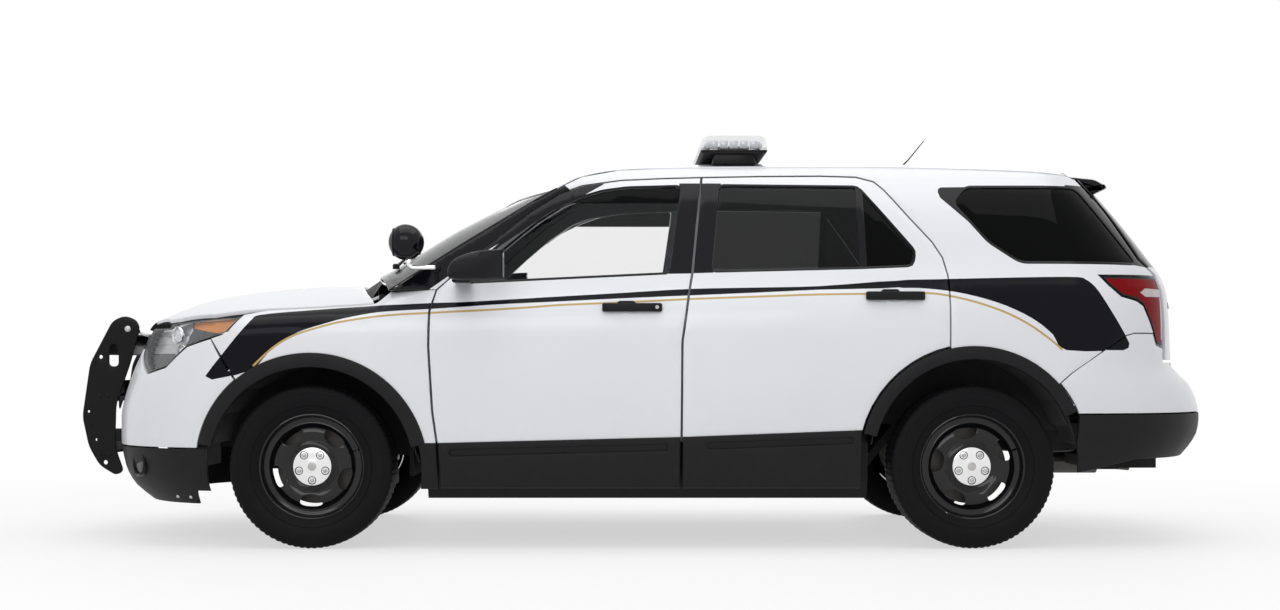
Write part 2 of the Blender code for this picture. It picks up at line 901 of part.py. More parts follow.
def make_fender(side, hand):
    middle = (front_opening + front_flare) / 2
    top_shares = (0.150, 0.170, 0.235, 0.300, 0.410, 0.475)
    tail = (fore(lamp_tail_share[0]), up(lamp_tail_share[1]))
    pillar = (edge_stations[0], edge_z(edge_stations[0]) - edge_lip - seat_gap)
    top = [front_line[0], pillar] + [(ahead(a), bonnet_line_z(ahead(a))) for a in top_shares]
    under = [(fore(a), up(b)) for a, b in lamp_under_shares[:1]]
    seam = (fore(bumper_seam_share[0]), up(bumper_seam_share[1]))
    angle = math.degrees(math.atan2(seam_foot()[1] - front_arch_z, seam_foot()[0] - front_axle_x))
    arch = arc(front_wheel, middle, angle, -8)
    low = up(door_low_share)
    shut = [(x - (shut_gap - seam_gap) / 2, z) for x, z in front_line[1:]]
    bottom = [(arch[-1][0], low), (shut[-1][0], low)]
    loop = top + [tail] + under + [seam] + arch + bottom + shut[:-1][::-1]
    flat, faces = fill(inset(loop, seam_gap / 2), [], flank_step, flank_step)

    def outer(x, z):
        return x, -wing_y(x, z), z

    def inner(x, z):
        return x, -(wing_y(x, z) - cover_thickness), z

    panel = shell(f"fender_{hand}", flat, faces, outer, inner, "white_paint", side)
    lip = make_arch(front_wheel, front_opening, front_flare, arch_foot_angle, 180 - arch_foot_angle, side)
    return combine(panel, [lip])


def seam_foot():
    """Where the seam between fender and bumper meets the arch."""
    angle = math.radians(130)
    return (front_axle_x + front_flare * math.cos(angle), front_arch_z + front_flare * math.sin(angle))


def around_nose(points):
    return [(nose_side(x, z), z) for x, z in points]


def around_tail(points):
    return [(tail_side(x, z), z) for x, z in points]


def both_halves(half):
    """A whole loop from its half with positive s, listed from one end on the centre line to the other."""
    return half + [(-s, z) for s, z in reversed(half) if s > 0]


def under_bonnet(x):
    return bonnet_line_z(x) - bonnet_thickness - rim_gap


def lamp_loop():
    tail = (fore(lamp_tail_share[0]), under_bonnet(fore(lamp_tail_share[0])))
    top_shares = (0.420, 0.540, 0.660)
    top = [(fore(a), under_bonnet(fore(a))) for a in top_shares]
    under = [(fore(a), up(b)) for a, b in lamp_under_shares]
    inner_y = lamp_inner_share * half_width
    high = under_bonnet(fore(0.82))
    inner_high = (end_front(inner_y, high, front_plan), high)
    inner_low = (end_front(inner_y, up(0.5), front_plan), up(0.5))
    corner = (end_front(0.80 * half_width, high, front_plan), high)
    return around_nose([tail] + top) + [corner, inner_high, inner_low] + around_nose(under[::-1])


def end_shell(name, loop, holes, thickness, paint, point=nose_point, side=-1, step=end_step):
    """A panel of the nose or tail. side 0 is a piece across both sides."""
    flat, faces = fill(loop, holes, step, step)
    turn = 1 if side == 0 else -1

    def outer(s, z):
        p = point(s, z)
        return p.x, p.y * turn, z

    def inner(s, z):
        p = point(s, z, thickness)
        return p.x, p.y * turn, z

    return shell(name, flat, faces, outer, inner, paint, side)


def make_front():
    for side, hand in ((-1, "left"), (1, "right")):
        end_shell(f"headlamp_{hand}", inset(lamp_loop(), lamp_gap), [], lamp_depth, "lamp_lens", side=side)
    high, low = under_bonnet(fore(0.82)), up(grille_low_share)
    wide = end_front(grille_half_share * half_width, high, front_plan)
    grille = [(-wide, low), (wide, low), (wide, high), (-wide, high)]
    holes = []
    rows, columns = 3, 6
    bar = 0.022
    for i in range(columns):
        for j in range(rows):
            a = -wide + bar + (2 * wide - bar) * i / columns
            b = -wide + (2 * wide - bar) * (i + 1) / columns
            c = low + bar + (high - low - bar) * j / rows
            d = low + (high - low - bar) * (j + 1) / rows
            holes.append([(a, c), (b, c), (b, d), (a, d)])
    end_shell("grille", grille, holes, cover_thickness, "black_plastic", side=0)
    make_bumper(wide)


def make_bumper(wide):
    under = [(fore(a), up(b)) for a, b in lamp_under_shares]
    inner_y = end_front(lamp_inner_share * half_width, up(0.5), front_plan)
    angle = math.degrees(math.asin((up(nose_low_share) - front_arch_z) / front_flare))
    arch = arc(front_wheel, front_flare, 180 - angle, 130)
    seam = (fore(bumper_seam_share[0]), up(bumper_seam_share[1]))
    half = [(0.0, up(nose_low_share))] + around_nose(arch + [seam] + under[1:])
    half += [(inner_y, up(0.5)), (wide + seam_gap, up(0.5)), (wide + seam_gap, up(grille_low_share) - seam_gap)]
    half += [(0.0, up(grille_low_share) - seam_gap)]
    loop = inset(both_halves(half), seam_gap)
    end_shell("front_bumper", loop, [], cover_thickness, "white_paint", side=0)
    low, lip, high = up(skirt_low_share), up(lip_low_share), up(nose_low_share)
    opening_x = front_axle_x - front_opening
    lip_x, lip_front_x = fore(0.518), fore(0.748)
    half = [(0.0, lip), (nose_side(lip_front_x, lip), lip), (nose_side(lip_x, lip), lip)]
    half += [(nose_side(lip_x, low), low), (nose_side(opening_x, low), low), (nose_side(opening_x, high), high)]
    half += [(0.0, high)]
    loop = inset(both_halves(half), seam_gap)
    intake_y = end_front(0.42 * half_width, up(0.2), front_plan)
    intake = [(-intake_y, up(0.165)), (intake_y, up(0.165)), (intake_y, up(0.225)), (-intake_y, up(0.225))]
    end_shell("front_skirt", loop, [intake], cover_thickness, "black_plastic", side=0)


def bonnet_rear():
    """x of the bonnet's rear edge at its middle and end, and y of its end."""
    side_x = ahead(0.170)
    return ahead(0.255), side_x, bonnet_edge_y(side_x) - cover_thickness - rim_gap


def bonnet_half():
    """Half of the bonnet's outline, from the rear centre by the side to the front centre."""
    rim = cover_thickness + rim_gap
    side_shares = (0.170, 0.235, 0.300, 0.410, 0.520, 0.640, 0.760, 0.820)
    side = [(ahead(a), bonnet_edge_y(ahead(a)) - rim) for a in side_shares]
    rear_x, side_x, side_y = bonnet_rear()
    rear = [(rear_x + (side_x - rear_x) * (t / 4) ** 2, side_y * t / 4) for t in range(4)]
    z = up(0.563)
    s_corner = end_front(side[-1][1] - rim, z, front_plan)
    front = [nose_point(s_corner * (4 - k) / 4, z) for k in range(5)]
    return rear + side + [(p.x, abs(p.y)) for p in front]


def make_bonnet():
    half = bonnet_half()
    loop = [(x, -y) for x, y in half] + [(x, y) for x, y in half[::-1] if y > 0]
    flat, faces = fill(loop, [], top_step, top_step)

    def outer(x, y):
        return x, y, bonnet_z(x, y)

    def inner(x, y):
        return x, y, bonnet_z(x, y) - bonnet_thickness

    return shell("bonnet", flat, faces, outer, inner, "white_paint")


screen_base_share = -0.128
screen_corner_share = -0.075
screen_top_share = 0.125
roof_front_share = 0.233


def screen_curve(front_x, side_x, side_y, steps=4):
    """Points from the centre line to the side of an edge that bows forward in plan."""
    return [(front_x + (side_x - front_x) * (k / steps) ** 2, side_y * k / steps) for k in range(steps + 1)]


def rail_marks(stations):
    """Inner points over the roof rail's inner edge, so that the panel above it stays clear."""
    marks = []
    for x in stations[1:-1]:
        y = edge_y(x) - min(rail_thickness, edge_y(x) / 3)
        marks += [(x, y), (x, -y)]
    return marks


def make_screen_and_roof():
    base = screen_curve(cab(screen_base_share), edge_stations[0], edge_y(edge_stations[0]))
    corner = edge_stations.index(cab(roof_front_share))
    top = screen_curve(cab(screen_top_share), edge_stations[corner], edge_y(edge_stations[corner]))
    sides = [(x, edge_y(x)) for x in edge_stations[1:corner]]
    half = base + sides + top[::-1]
    loop = [(x, -y) for x, y in half] + [(x, y) for x, y in half[::-1] if y > 0]
    flat, faces = fill(inset(loop, seat_gap), [], top_step, top_step, rail_marks(edge_stations[: corner + 1]))

    def outer(x, y):
        return x, y, roof_z(x, y)

    def pane_under(x, y):
        return x, y, roof_z(x, y) - glass_thickness

    shell("windscreen", flat, faces, outer, pane_under, "clear_glass")
    end = edge_stations[-1]
    sides = [(x, edge_y(x)) for x in edge_stations[corner + 1 :]]
    half = top + sides + screen_curve(end, end, edge_y(end))[::-1][1:]
    loop = [(x, -y) for x, y in half] + [(x, y) for x, y in half[::-1] if y > 0]

    def roof_under(x, y):
        return x, y, max(roof_z(x, y) - roof_thickness, edge_z(x) - glass_thickness)

    flat, faces = fill(inset(loop, seat_gap), [], top_step, top_step, rail_marks(edge_stations[corner:]))
    shell("roof", flat, faces, outer, roof_under, "white_paint")


# Tail
skirt_high_share = 0.335
rear_skirt_low_share = 0.187
rear_skirt_nose_share = 0.220
gate_low_share = 0.470
gate_glass_low_share = 0.712
gate_glass_high_share = 0.888
gate_glass_half_share = 0.60
gate_side_gap = 0.018
spoiler_length = 0.21
spoiler_half_share = 0.75
spoiler_shares = ((0.0, 0.004), (0.72, -0.004), (1.0, -0.026), (0.62, -0.046), (0.30, -0.05), (0.0, -0.05))


def corner_point(s, z, inward=0.0):
    """A point of the tail's corner, its wall measured straight across the car."""
    outer = tail_point(s, z)
    return Vector((outer.x, outer.y - math.copysign(inward, outer.y), z))


def tail_lamp_loop():
    shares = lamp_front_shares + rear_bumper_line_shares[:1] + lamp_foot_shares
    shares += gate_foot_shares[:2][::-1] + gate_line_shares[-1:]
    return around_tail([(aft(a), up(b)) for a, b in shares])


def make_tail():
    low, high, roof_end = up(gate_low_share), up(gate_line_shares[0][1]), edge_stations[-1]
    side_line = around_tail([(aft(a) + gate_side_gap, up(b)) for a, b in gate_line_shares + gate_foot_shares])
    half = [(0.0, high)] + side_line + [(0.0, low)]
    glass_high, glass_low = up(gate_glass_high_share), up(gate_glass_low_share)
    wide_high = end_front(gate_glass_half_share * section_width(rear_round_start, glass_high), glass_high, rear_plan)
    wide_low = end_front(gate_glass_half_share * section_width(rear_round_start, glass_low), glass_low, rear_plan)
    window = [(-wide_low, glass_low), (wide_low, glass_low), (wide_high, glass_high), (-wide_high, glass_high)]
    window = rounded(window, 0.05, 2)
    gate = end_shell("liftgate", both_halves(half), [window], gate_thickness, "white_paint", tail_point, 0)
    start = roof_end + shut_gap
    profile = [(start + a * spoiler_length, edge_z(roof_end) + up(b)) for a, b in spoiler_shares]
    wide = section_width(roof_end, high) * spoiler_half_share
    combine(gate, [prism("spoiler", profile, -wide, wide)])

    def glass_point(s, z, inward=0.0):
        return tail_point(s, z, inward + glass_inset)

    pane = inset(window, seam_gap)
    end_shell("glass_rear", pane, [], glass_thickness, "tinted_glass", glass_point, 0)
    for side, hand in ((-1, "left"), (1, "right")):
        loop = inset(tail_lamp_loop(), lamp_gap * 2)
        end_shell(f"tail_lamp_{hand}", loop, [], cover_thickness, "red_lens", corner_point, side)
    make_rear_bumper()


def foot_rise(z):
    """Angle on the rear flare's outer edge at a height."""
    return math.degrees(math.asin((z - rear_arch_z) / rear_flare))


def make_rear_bumper():
    line = [(aft(a), up(b)) for a, b in rear_bumper_line_shares]
    angle = math.degrees(math.atan2(line[-1][1] - rear_arch_z, line[-1][0] - rear_axle_x))
    arch = arc(rear_wheel, rear_flare, angle, foot_rise(up(skirt_high_share)))
    top = up(gate_low_share) - shut_gap
    foot_x, foot_z = aft(gate_foot_shares[2][0]), up(gate_foot_shares[2][1])
    lamp = [(aft(a), up(b)) for a, b in lamp_foot_shares[::-1]]
    half = [(0.0, top)] + around_tail([(foot_x, top), (foot_x, foot_z)] + lamp + line + arch)
    half += [(0.0, up(skirt_high_share))]
    loop = inset(both_halves(half), seam_gap)
    end_shell("rear_bumper", loop, [], cover_thickness, "white_paint", tail_point, 0)
    high, low, tip = up(skirt_high_share), up(rear_skirt_low_share), up(rear_skirt_nose_share)
    open_x = rear_axle_x + rear_opening
    shoulder = (rear_axle_x + rear_flare * math.cos(math.radians(foot_rise(high))), high)
    corners = [shoulder, (open_x + liner_gap, up(0.262)), (open_x + liner_gap * 2, low), (aft(0.62), tip)]
    half = [(0.0, high)] + around_tail(corners) + [(0.0, tip)]
    loop = inset(both_halves(half), seam_gap)
    end_shell("rear_skirt", loop, [], cover_thickness, "black_plastic", tail_point, 0)


def make_wheels():
    """Tyre and pressed-steel rim at each corner, the rim dished, slotted and capped."""
    for x, place in ((front_axle_x, "front"), (rear_axle_x, "rear")):
        for side, hand in ((-1, "left"), (1, "right")):
            centre = (x, side * track / 2, tyre_radius)
            make_tyre(f"tyre_{place}_{hand}", centre)
            make_rim(f"rim_{place}_{hand}", centre, side)


shoulder_share = 0.955
tread_share = 0.78
wall_bulge_share = 0.82


def make_tyre(name, centre):
    half, bead = tyre_width / 2, rim_radius + bead_gap
    rows = (
        (0.80, bead),
        (1.00, tyre_radius * wall_bulge_share),
        (0.95, tyre_radius * shoulder_share),
        (tread_share, tyre_radius),
    )
    outer = [(a * half, r) for a, r in rows]
    profile = outer + [(-a, r) for a, r in reversed(outer)]
    return turned(name, profile, centre, wheel_segments, paint="rubber")


def make_rim(name, centre, side):
    """Outer face at positive along, which is outboard."""
    half = tyre_width / 2 * 0.80
    face = half - rim_dish
    well = rim_radius - 2 * rim_lip
    outer = [
        (half, rim_radius),
        (half, rim_radius - rim_lip),
        (face, rim_radius - rim_lip * 2 - rim_wall),
        (face + rim_dish / 3, rim_slot_radius),
        (face - rim_dish / 4, hub_cap_radius),
        (face + hub_cap_height, hub_cap_radius * 0.8),
        (face + hub_cap_height, 0.004),
        (hub_face, 0.004),
        (hub_face, hub_radius),
        (hub_face + disc_thickness, hub_radius),
        (face - rim_dish / 4 - rim_wall, hub_cap_radius),
        (face + rim_dish / 3 - rim_wall, rim_slot_radius),
        (face - rim_wall * 2, well - rim_wall),
        (-half, rim_radius - rim_wall),
        (-half, rim_radius),
    ]
    profile = [(-side * -a, r) for a, r in outer]
    rim = turned(name, profile, centre, wheel_segments, paint="black_steel")
    slots = []
    for k in range(rim_slot_count):
        turn = math.radians(90 + 360 * k / rim_slot_count)
        loop = []
        for angle in range(0, 360, 45):
            u = rim_slot_length / 2 * math.cos(math.radians(angle))
            v = rim_slot_width / 2 * math.sin(math.radians(angle)) + rim_slot_radius + rim_slot_width
            loop.append(
                (
                    centre[0] + v * math.cos(turn) - u * math.sin(turn),
                    centre[2] + v * math.sin(turn) + u * math.cos(turn),
                )
            )
        y = centre[1]
        slots.append(prism("slot", loop, y + side * hub_face, y + side * half, "y"))
    return combine(rim, slots, "DIFFERENCE")


hub_face = 0.012
knuckle_width = 0.06
knuckle_half_height = 0.12
king_pin_y = track / 2 - 0.106
arm_radius = 0.018
ball_radius = 0.022
arm_root_z = 0.225
arm_end_z = 0.205
arm_foot_x = (-0.06, 0.16)
cross_low_z = 0.20
cross_high_z = 0.27
cross_front = 0.12
cross_rear = 0.22
cross_half = king_pin_y - 0.285
post_size = 0.04
post_y = cross_half - 0.04
rail_low_z = 0.42
rail_high_z = 0.54
rear_cross_half_length = 0.14
rear_cross_half = cross_half + 0.02
rear_cross_z = (0.24, 0.32)
carrier_y = track / 2 - 0.211
carrier_width = 0.06
carrier_z = (0.22, 0.48)
carrier_half_length = 0.05
rear_arm_z = ((0.27, 0.25), (0.30, 0.46))


def make_running_gear():
    """Knuckles that steer, and the fixed subframes with their arms, stubs and posts to the body."""
    z = tyre_radius
    hub_y = track / 2 + hub_face - running_gap
    half_knuckle = knuckle_width / 2
    front_parts, rear_parts = [], []
    for side, hand in ((-1, "left"), (1, "right")):
        x = front_axle_x
        body = box(
            f"knuckle_{hand}",
            (x - half_knuckle, king_pin_y - half_knuckle, z - knuckle_half_height),
            (x + half_knuckle, king_pin_y + half_knuckle, z + knuckle_half_height),
            "chassis_black",
            flip=side,
        )
        stub = rod("stub", (x, side * king_pin_y, z), (x, side * hub_y, z), hub_radius, 16)
        combine(body, [stub])
        low = z - knuckle_half_height - running_gap
        for reach in arm_foot_x:
            foot = (x + reach, side * (cross_half - arm_radius), arm_root_z)
            front_parts.append(rod("arm", foot, (x, side * king_pin_y, arm_end_z), arm_radius, 8))
        ball_foot = (x, side * king_pin_y, cross_low_z - seat_gap)
        front_parts.append(rod("ball", ball_foot, (x, side * king_pin_y, low), ball_radius, 12))
        front_parts.append(make_post(x - cross_front / 2, cross_high_z, rail_low_z, side))
        x = rear_axle_x
        rear_parts.append(rod("stub", (x, side * (carrier_y + seam_gap), z), (x, side * hub_y, z), hub_radius, 16))
        low, high = carrier_z
        corner = (x - carrier_half_length, carrier_y, low)
        far_corner = (x + carrier_half_length, carrier_y + carrier_width, high)
        rear_parts.append(box("carrier", corner, far_corner, flip=side))
        for root_z, end_z in rear_arm_z:
            root = (x, side * (rear_cross_half - arm_radius), root_z)
            end = (x, side * (carrier_y + carrier_width / 2), end_z)
            rear_parts.append(rod("arm", root, end, arm_radius, 8))
        rear_parts.append(make_post(x, rear_cross_z[1], kick_z, side))
    x = front_axle_x
    low_corner = (x - cross_front, -cross_half, cross_low_z)
    cross = box("front_subframe", low_corner, (x + cross_rear, cross_half, cross_high_z), "chassis_black")
    combine(cross, front_parts)
    x = rear_axle_x
    low, high = rear_cross_z
    low_corner = (x - rear_cross_half_length, -rear_cross_half, low)
    high_corner = (x + rear_cross_half_length, rear_cross_half, high)
    rear = box("rear_subframe", low_corner, high_corner, "chassis_black")
    combine(rear, rear_parts)


def make_post(x, low, high, side):
    """An upright from a subframe's top to just under what it carries."""
    half = post_size / 2
    return box("post", (x - half, post_y - half, low - half), (x + half, post_y + half, high - seat_gap), flip=side)


floor_low = 0.255
floor_thickness = 0.03
floor_half = half_width * 0.56
floor_side = half_width * 0.765
house_side = half_width * 0.915
kick_x = rear_axle_x - 0.47
kick_z = 0.50
kick_run = 0.20
kick_lead = 0.02
wing_end = 0.05
house_span = (18, 162)
rear_panel_high = up(0.46)
rear_panel_half = half_width * 0.50
rear_panel_depth = 0.02
peg_width = 0.04
peg_y = half_width * 0.32


def rear_floor_x():
    setback = 0.20
    return tail_at(kick_z) - setback


def make_floor():
    """Floor pan with its kick-up over the rear axle, its sides between the wheels, rear panel and wheel houses."""
    low, high = floor_low, floor_low + floor_thickness
    front_x, rear_x = cab(0) - kick_lead, rear_floor_x()
    top = kick_z + floor_thickness
    profile = [(front_x, low), (kick_x, low), (kick_x + kick_run, kick_z), (rear_x, kick_z), (rear_x, top)]
    profile += [(kick_x + kick_run - kick_lead, top), (kick_x - kick_lead, high), (front_x, high)]
    floor = prism("floor_pan", profile, -floor_half, floor_half, paint="chassis_black")
    panel_low = (rear_x - rear_panel_depth, -rear_panel_half, kick_z + seam_gap)
    wings = [box("rear_panel", panel_low, (rear_x, rear_panel_half, rear_panel_high))]
    for side in (-1, 1):
        near = (front_x, floor_half - kick_lead, low + seam_gap)
        far = (kick_x - wing_end, floor_side, high - seam_gap)
        wings.append(box("wing", near, far, flip=side))
        low_y = floor_half - seam_gap * 3
        wings.append(make_house("house", rear_wheel, rear_opening, low_y, house_side, side, *house_span))
    return combine(floor, wings)


def make_house(name, centre, radius, low_y, high_y, side, start, end):
    """Half a wheel house: an arched wall with its inner cheek."""
    inner = radius + liner_gap
    outer = inner + liner_thickness
    loop = arc(centre, outer, start, end) + arc(centre, inner, end, start)
    house = prism(name, loop, low_y, high_y, flip=side)
    cheek_loop = arc(centre, (inner + outer) / 2, start, end)
    cheek = prism("cheek", cheek_loop, low_y, low_y + liner_thickness, flip=side)
    return combine(house, [cheek])


bulkhead_x = cab(0) - 0.09
bulkhead_thickness = 0.02
bulkhead_half = half_width * 0.69
bulkhead_low = 0.30
bulkhead_high = up(0.586)
frame_rail_y = half_width * 0.42
frame_rail_width = 0.09
rail_nose = nose_x + 0.16
beam_half = half_width * 0.50
beam_z = (0.45, 0.53)
beam_depth = (0.03, 0.02)
radiator_setback = 0.10
radiator_thickness = 0.04
radiator_half = half_width * 0.46
radiator_z = (0.30, up(0.534))
apron_y = (half_width * 0.47, half_width * 0.895)
apron_span = (4, 166)
link_half_length = 0.05
link_z = (0.50, 0.60)


def make_front_frame():
    """Bulkhead, front rails, wheel aprons and radiator panel, which carry the front end."""
    back = bulkhead_x - bulkhead_thickness
    low_corner = (back, -bulkhead_half, bulkhead_low)
    frame = box("front_frame", low_corner, (bulkhead_x, bulkhead_half, bulkhead_high), "chassis_black")
    parts = []
    y, half_rail = frame_rail_y, frame_rail_width / 2
    for side in (-1, 1):
        near = (rail_nose, y - half_rail, rail_low_z)
        far = (bulkhead_x - bulkhead_thickness / 2, y + half_rail, rail_high_z)
        parts.append(box("rail", near, far, flip=side))
        parts.append(make_house("apron", front_wheel, front_opening, *apron_y, side, *apron_span))
        near = (front_axle_x - link_half_length, y, link_z[0])
        far = (front_axle_x + link_half_length, apron_y[0] + link_half_length / 2, link_z[1])
        parts.append(box("link", near, far, flip=side))
    low, high = beam_z
    ahead_of, behind = beam_depth
    parts.append(box("beam", (rail_nose - ahead_of, -beam_half, low), (rail_nose + behind, beam_half, high)))
    low, high = radiator_z
    near = (radiator_x(), -radiator_half, low)
    parts.append(box("radiator", near, (radiator_x() + radiator_thickness, radiator_half, high)))
    return combine(frame, parts)


def radiator_x():
    return rail_nose + radiator_setback


engine_front = 0.32
engine_rear = 0.30
engine_half = half_width * 0.33
engine_z = (0.32, up(0.494))
dash_half = half_width * 0.70
dash_gap = 0.002
# Dashboard section: (distance behind the bulkhead, height share)
dash_rows = ((dash_gap, 0.402), (0.34, 0.402), (0.42, 0.529), (0.30, 0.609), (dash_gap, 0.598))
seat_y = half_width * 0.40
seat_x = cab(0.4178)
seat_width = 0.54
bench_x = cab(0.7195)
bench_width = half_width * 1.30
# Seat section: (along, height over the floor)
seat_rows = (
    (-0.40, 0.0),
    (0.10, 0.0),
    (0.22, 0.28),
    (0.42, 0.86),
    (0.32, 0.88),
    (0.10, 0.42),
    (-0.38, 0.38),
    (-0.44, 0.30),
)
wheel_ring = 0.180
wheel_tube = 0.014
wheel_hub = 0.055
wheel_hub_depth = 0.02
wheel_spoke = 0.014
wheel_lean = 0.42
wheel_place = (cab(0.184), up(0.563))
column_radius = 0.030


def make_inside():
    x = front_axle_x
    low, high = engine_z
    engine = box("engine", (x - engine_front, -engine_half, low), (x + engine_rear, engine_half, high), "bare_steel")
    dash = [(bulkhead_x + a, up(b)) for a, b in dash_rows]
    board = prism("dashboard", dash, -dash_half, dash_half, paint="black_plastic")
    for y, hand in ((-seat_y, "left"), (seat_y, "right")):
        make_seat(f"seat_front_{hand}", (seat_x, y), seat_width)
    make_seat("bench_rear", (bench_x, 0.0), bench_width)
    make_steering_wheel()
    return engine, board


def make_seat(name, place, width):
    x, y = place
    z = floor_low + floor_thickness + seat_gap
    profile = [(x + a, z + b) for a, b in seat_rows]
    return prism(name, profile, y - width / 2, y + width / 2, paint="seat_cloth")


def make_steering_wheel():
    """Ring, spokes, hub and column, leaned back over the driver's seat."""
    x, z = wheel_place
    y, tube = -seat_y, wheel_tube
    inner = wheel_ring - 2 * tube
    profile = [(-tube, wheel_ring - tube), (0.0, wheel_ring), (tube, wheel_ring - tube), (0.0, inner)]
    wheel = turned("steering_wheel", profile, (x, y, z), 20, "x", "black_plastic")
    hub = [(-wheel_hub_depth, 0.002), (-wheel_hub_depth, wheel_hub), (wheel_hub_depth, wheel_hub), (wheel_hub_depth, 0.002)]
    parts = [turned("hub", hub, (x, y, z), 12, "x")]
    reach = inner + tube * 0.9
    parts.append(rod("spoke", (x, y - reach, z), (x, y + reach, z), wheel_spoke, 6))
    for lean in (-1, 1):
        parts.append(rod("spoke", (x, y, z), (x, y + lean * 2.1 * tube, z - reach), wheel_spoke * 0.7, 7))
    for obj in [wheel, *parts]:
        for vert in obj.data.vertices:
            vert.co.x -= (vert.co.z - z) * wheel_lean
    dash_face = bulkhead_x + dash_rows[2][0] + seat_gap
    parts.append(rod("column", (x, y, z), (dash_face, y, dash_level()), column_radius, 10))
    return combine(wheel, parts)


def dash_level():
    drop = 0.02
    return up(dash_rows[2][1]) + drop


# Push bumper side plate: (distance behind its tip, height share)
plate_rows = (
    (0.00, 0.32),
    (0.035, 0.46),
    (0.14, 0.575),
    (0.20, 0.588),
    (0.25, 0.575),
    (0.265, 0.555),
    (0.22, 0.46),
    (0.155, 0.353),
    (0.150, 0.240),
    (0.19, 0.175),
    (0.155, 0.164),
    (0.08, 0.19),
    (0.03, 0.24),
)
plate_y = (half_width * 0.385, half_width * 0.397)
# Channels between the plates: (distance behind the tip, height share)
channel_rows = ((0.065, 0.2184), (0.03, 0.3563), (0.115, 0.4828))
channel_depth = 0.015
channel_height = 0.10
channel_half = half_width * 0.39
bracket_y = (half_width * 0.33, half_width * 0.39)
bracket_z = (0.44, 0.50)
bracket_start = 0.10


def make_outside():
    """Push bumper, light bar, aerial, spotlight, mirrors, exhaust and hitch."""
    tip = nose_x - push_standoff
    loop = [(tip + a, up(b)) for a, b in plate_rows]
    near_y, far_y = plate_y
    push = prism("push_bumper", loop, near_y, far_y, paint="black_plastic")
    parts = [prism("plate", loop, -far_y, -near_y)]
    for front, share in channel_rows:
        z = up(share)
        near = (tip + front, -channel_half, z)
        parts.append(box("channel", near, (tip + front + channel_depth, channel_half, z + channel_height)))
    low, high = bracket_z
    reach = nose_point(end_front(bracket_y[0], low, front_plan), low).x - seat_gap * 4
    for side in (-1, 1):
        near = (tip + bracket_start, bracket_y[0], low)
        parts.append(box("bracket", near, (reach, bracket_y[1], high), flip=side))
    combine(push, parts)
    make_light_bar()
    make_spotlight()
    make_mirrors()
    make_rear_fittings()


bar_x = cab(0.5665)
bar_half = half_width * 0.60
bar_base_low = up(1.0069)
bar_half_length = 0.15
bar_base_height = 0.035
bar_skirt = 0.02
bar_lens_height = 0.075
bar_shoulder = 0.055
bar_lens_in = 0.012
bar_lens_top_in = 0.05
foot_half_length = 0.10
foot_width = 0.05
foot_setback = 0.02
aerial_radius = 0.022
aerial_height = 0.02
whip_radius = 0.003
whip_reach = 0.11
whip_height = 0.14


def make_light_bar():
    low, half = bar_base_low, bar_half_length
    high = low + bar_base_height
    profile = [
        (bar_x - half, low + bar_skirt),
        (bar_x - half + bar_skirt, low),
        (bar_x + half - bar_skirt, low),
        (bar_x + half, low + bar_skirt),
        (bar_x + half, high),
        (bar_x - half, high),
    ]
    base = prism("light_bar_base", profile, -bar_half, bar_half, paint="black_plastic")
    feet = []
    y = min(edge_y(bar_x), bar_half + edge_y(bar_x) * 0.3) - foot_setback
    for side in (-1, 1):
        z = roof_z(bar_x, y - foot_width) + seat_gap
        near = (bar_x - foot_half_length, bar_half - foot_width, low + seam_gap)
        feet.append(box("strap", near, (bar_x + foot_half_length, y, low + foot_setback), flip=side))
        near = (bar_x - foot_half_length, y - foot_width, z)
        feet.append(box("foot", near, (bar_x + foot_half_length, y, low + foot_setback / 2), flip=side))
    combine(base, feet)
    z = high + seat_gap
    profile = [
        (bar_x - half, z),
        (bar_x + half, z),
        (bar_x + half - bar_lens_in, z + bar_shoulder),
        (bar_x + half - bar_lens_top_in, z + bar_lens_height),
        (bar_x - half + bar_lens_top_in, z + bar_lens_height),
        (bar_x - half + bar_lens_in, z + bar_shoulder),
    ]
    prism("light_bar_lens", profile, -bar_half, bar_half, paint="lamp_lens")
    x = edge_stations[-5]
    z = roof_z(x, 0.0) + seat_gap
    aerial = rod("aerial", (x, 0.0, z), (x, 0.0, z + aerial_height), aerial_radius, 16, "black_plastic")
    whip = rod("whip", (x, 0.0, z + aerial_height / 2), (x + whip_reach, 0.0, z + whip_height), whip_radius, 6)
    combine(aerial, [whip])


spot_radius = 0.078
spot_stem = 0.010
spot_y = half_width * 0.96
# Spotlight section: (along, radius)
spot_rows = ((0.075, 0.001), (0.068, 0.035), (0.04, 0.062), (0.0, spot_radius), (-0.055, spot_radius), (-0.062, 0.001))


def make_spotlight():
    """Pillar spotlight ahead of the left mirror, on its stem from the windscreen pillar."""
    x, y, z = cab(-0.041), -spot_y, up(0.762)
    ball = turned("spotlight", list(spot_rows), (x, y, z), 20, "x", "bare_steel")
    pillar_x = cab(0.01)
    pillar_z = edge_z(pillar_x) - 4 * spot_stem
    pillar_y = -flank_y(pillar_x - spot_stem, pillar_z - spot_stem) - seat_gap * 8
    bend = (pillar_x, y, pillar_z)
    stem = [rod("stem", (x, y, z - 2 * spot_stem), (x, y, pillar_z - spot_stem), spot_stem, 8)]
    stem.append(rod("stem", (x - spot_stem, y, pillar_z), (pillar_x + spot_stem, y, pillar_z), spot_stem, 8))
    stem.append(rod("stem", bend, (pillar_x, pillar_y, pillar_z), spot_stem * 0.9, 8))
    combine(ball, stem)


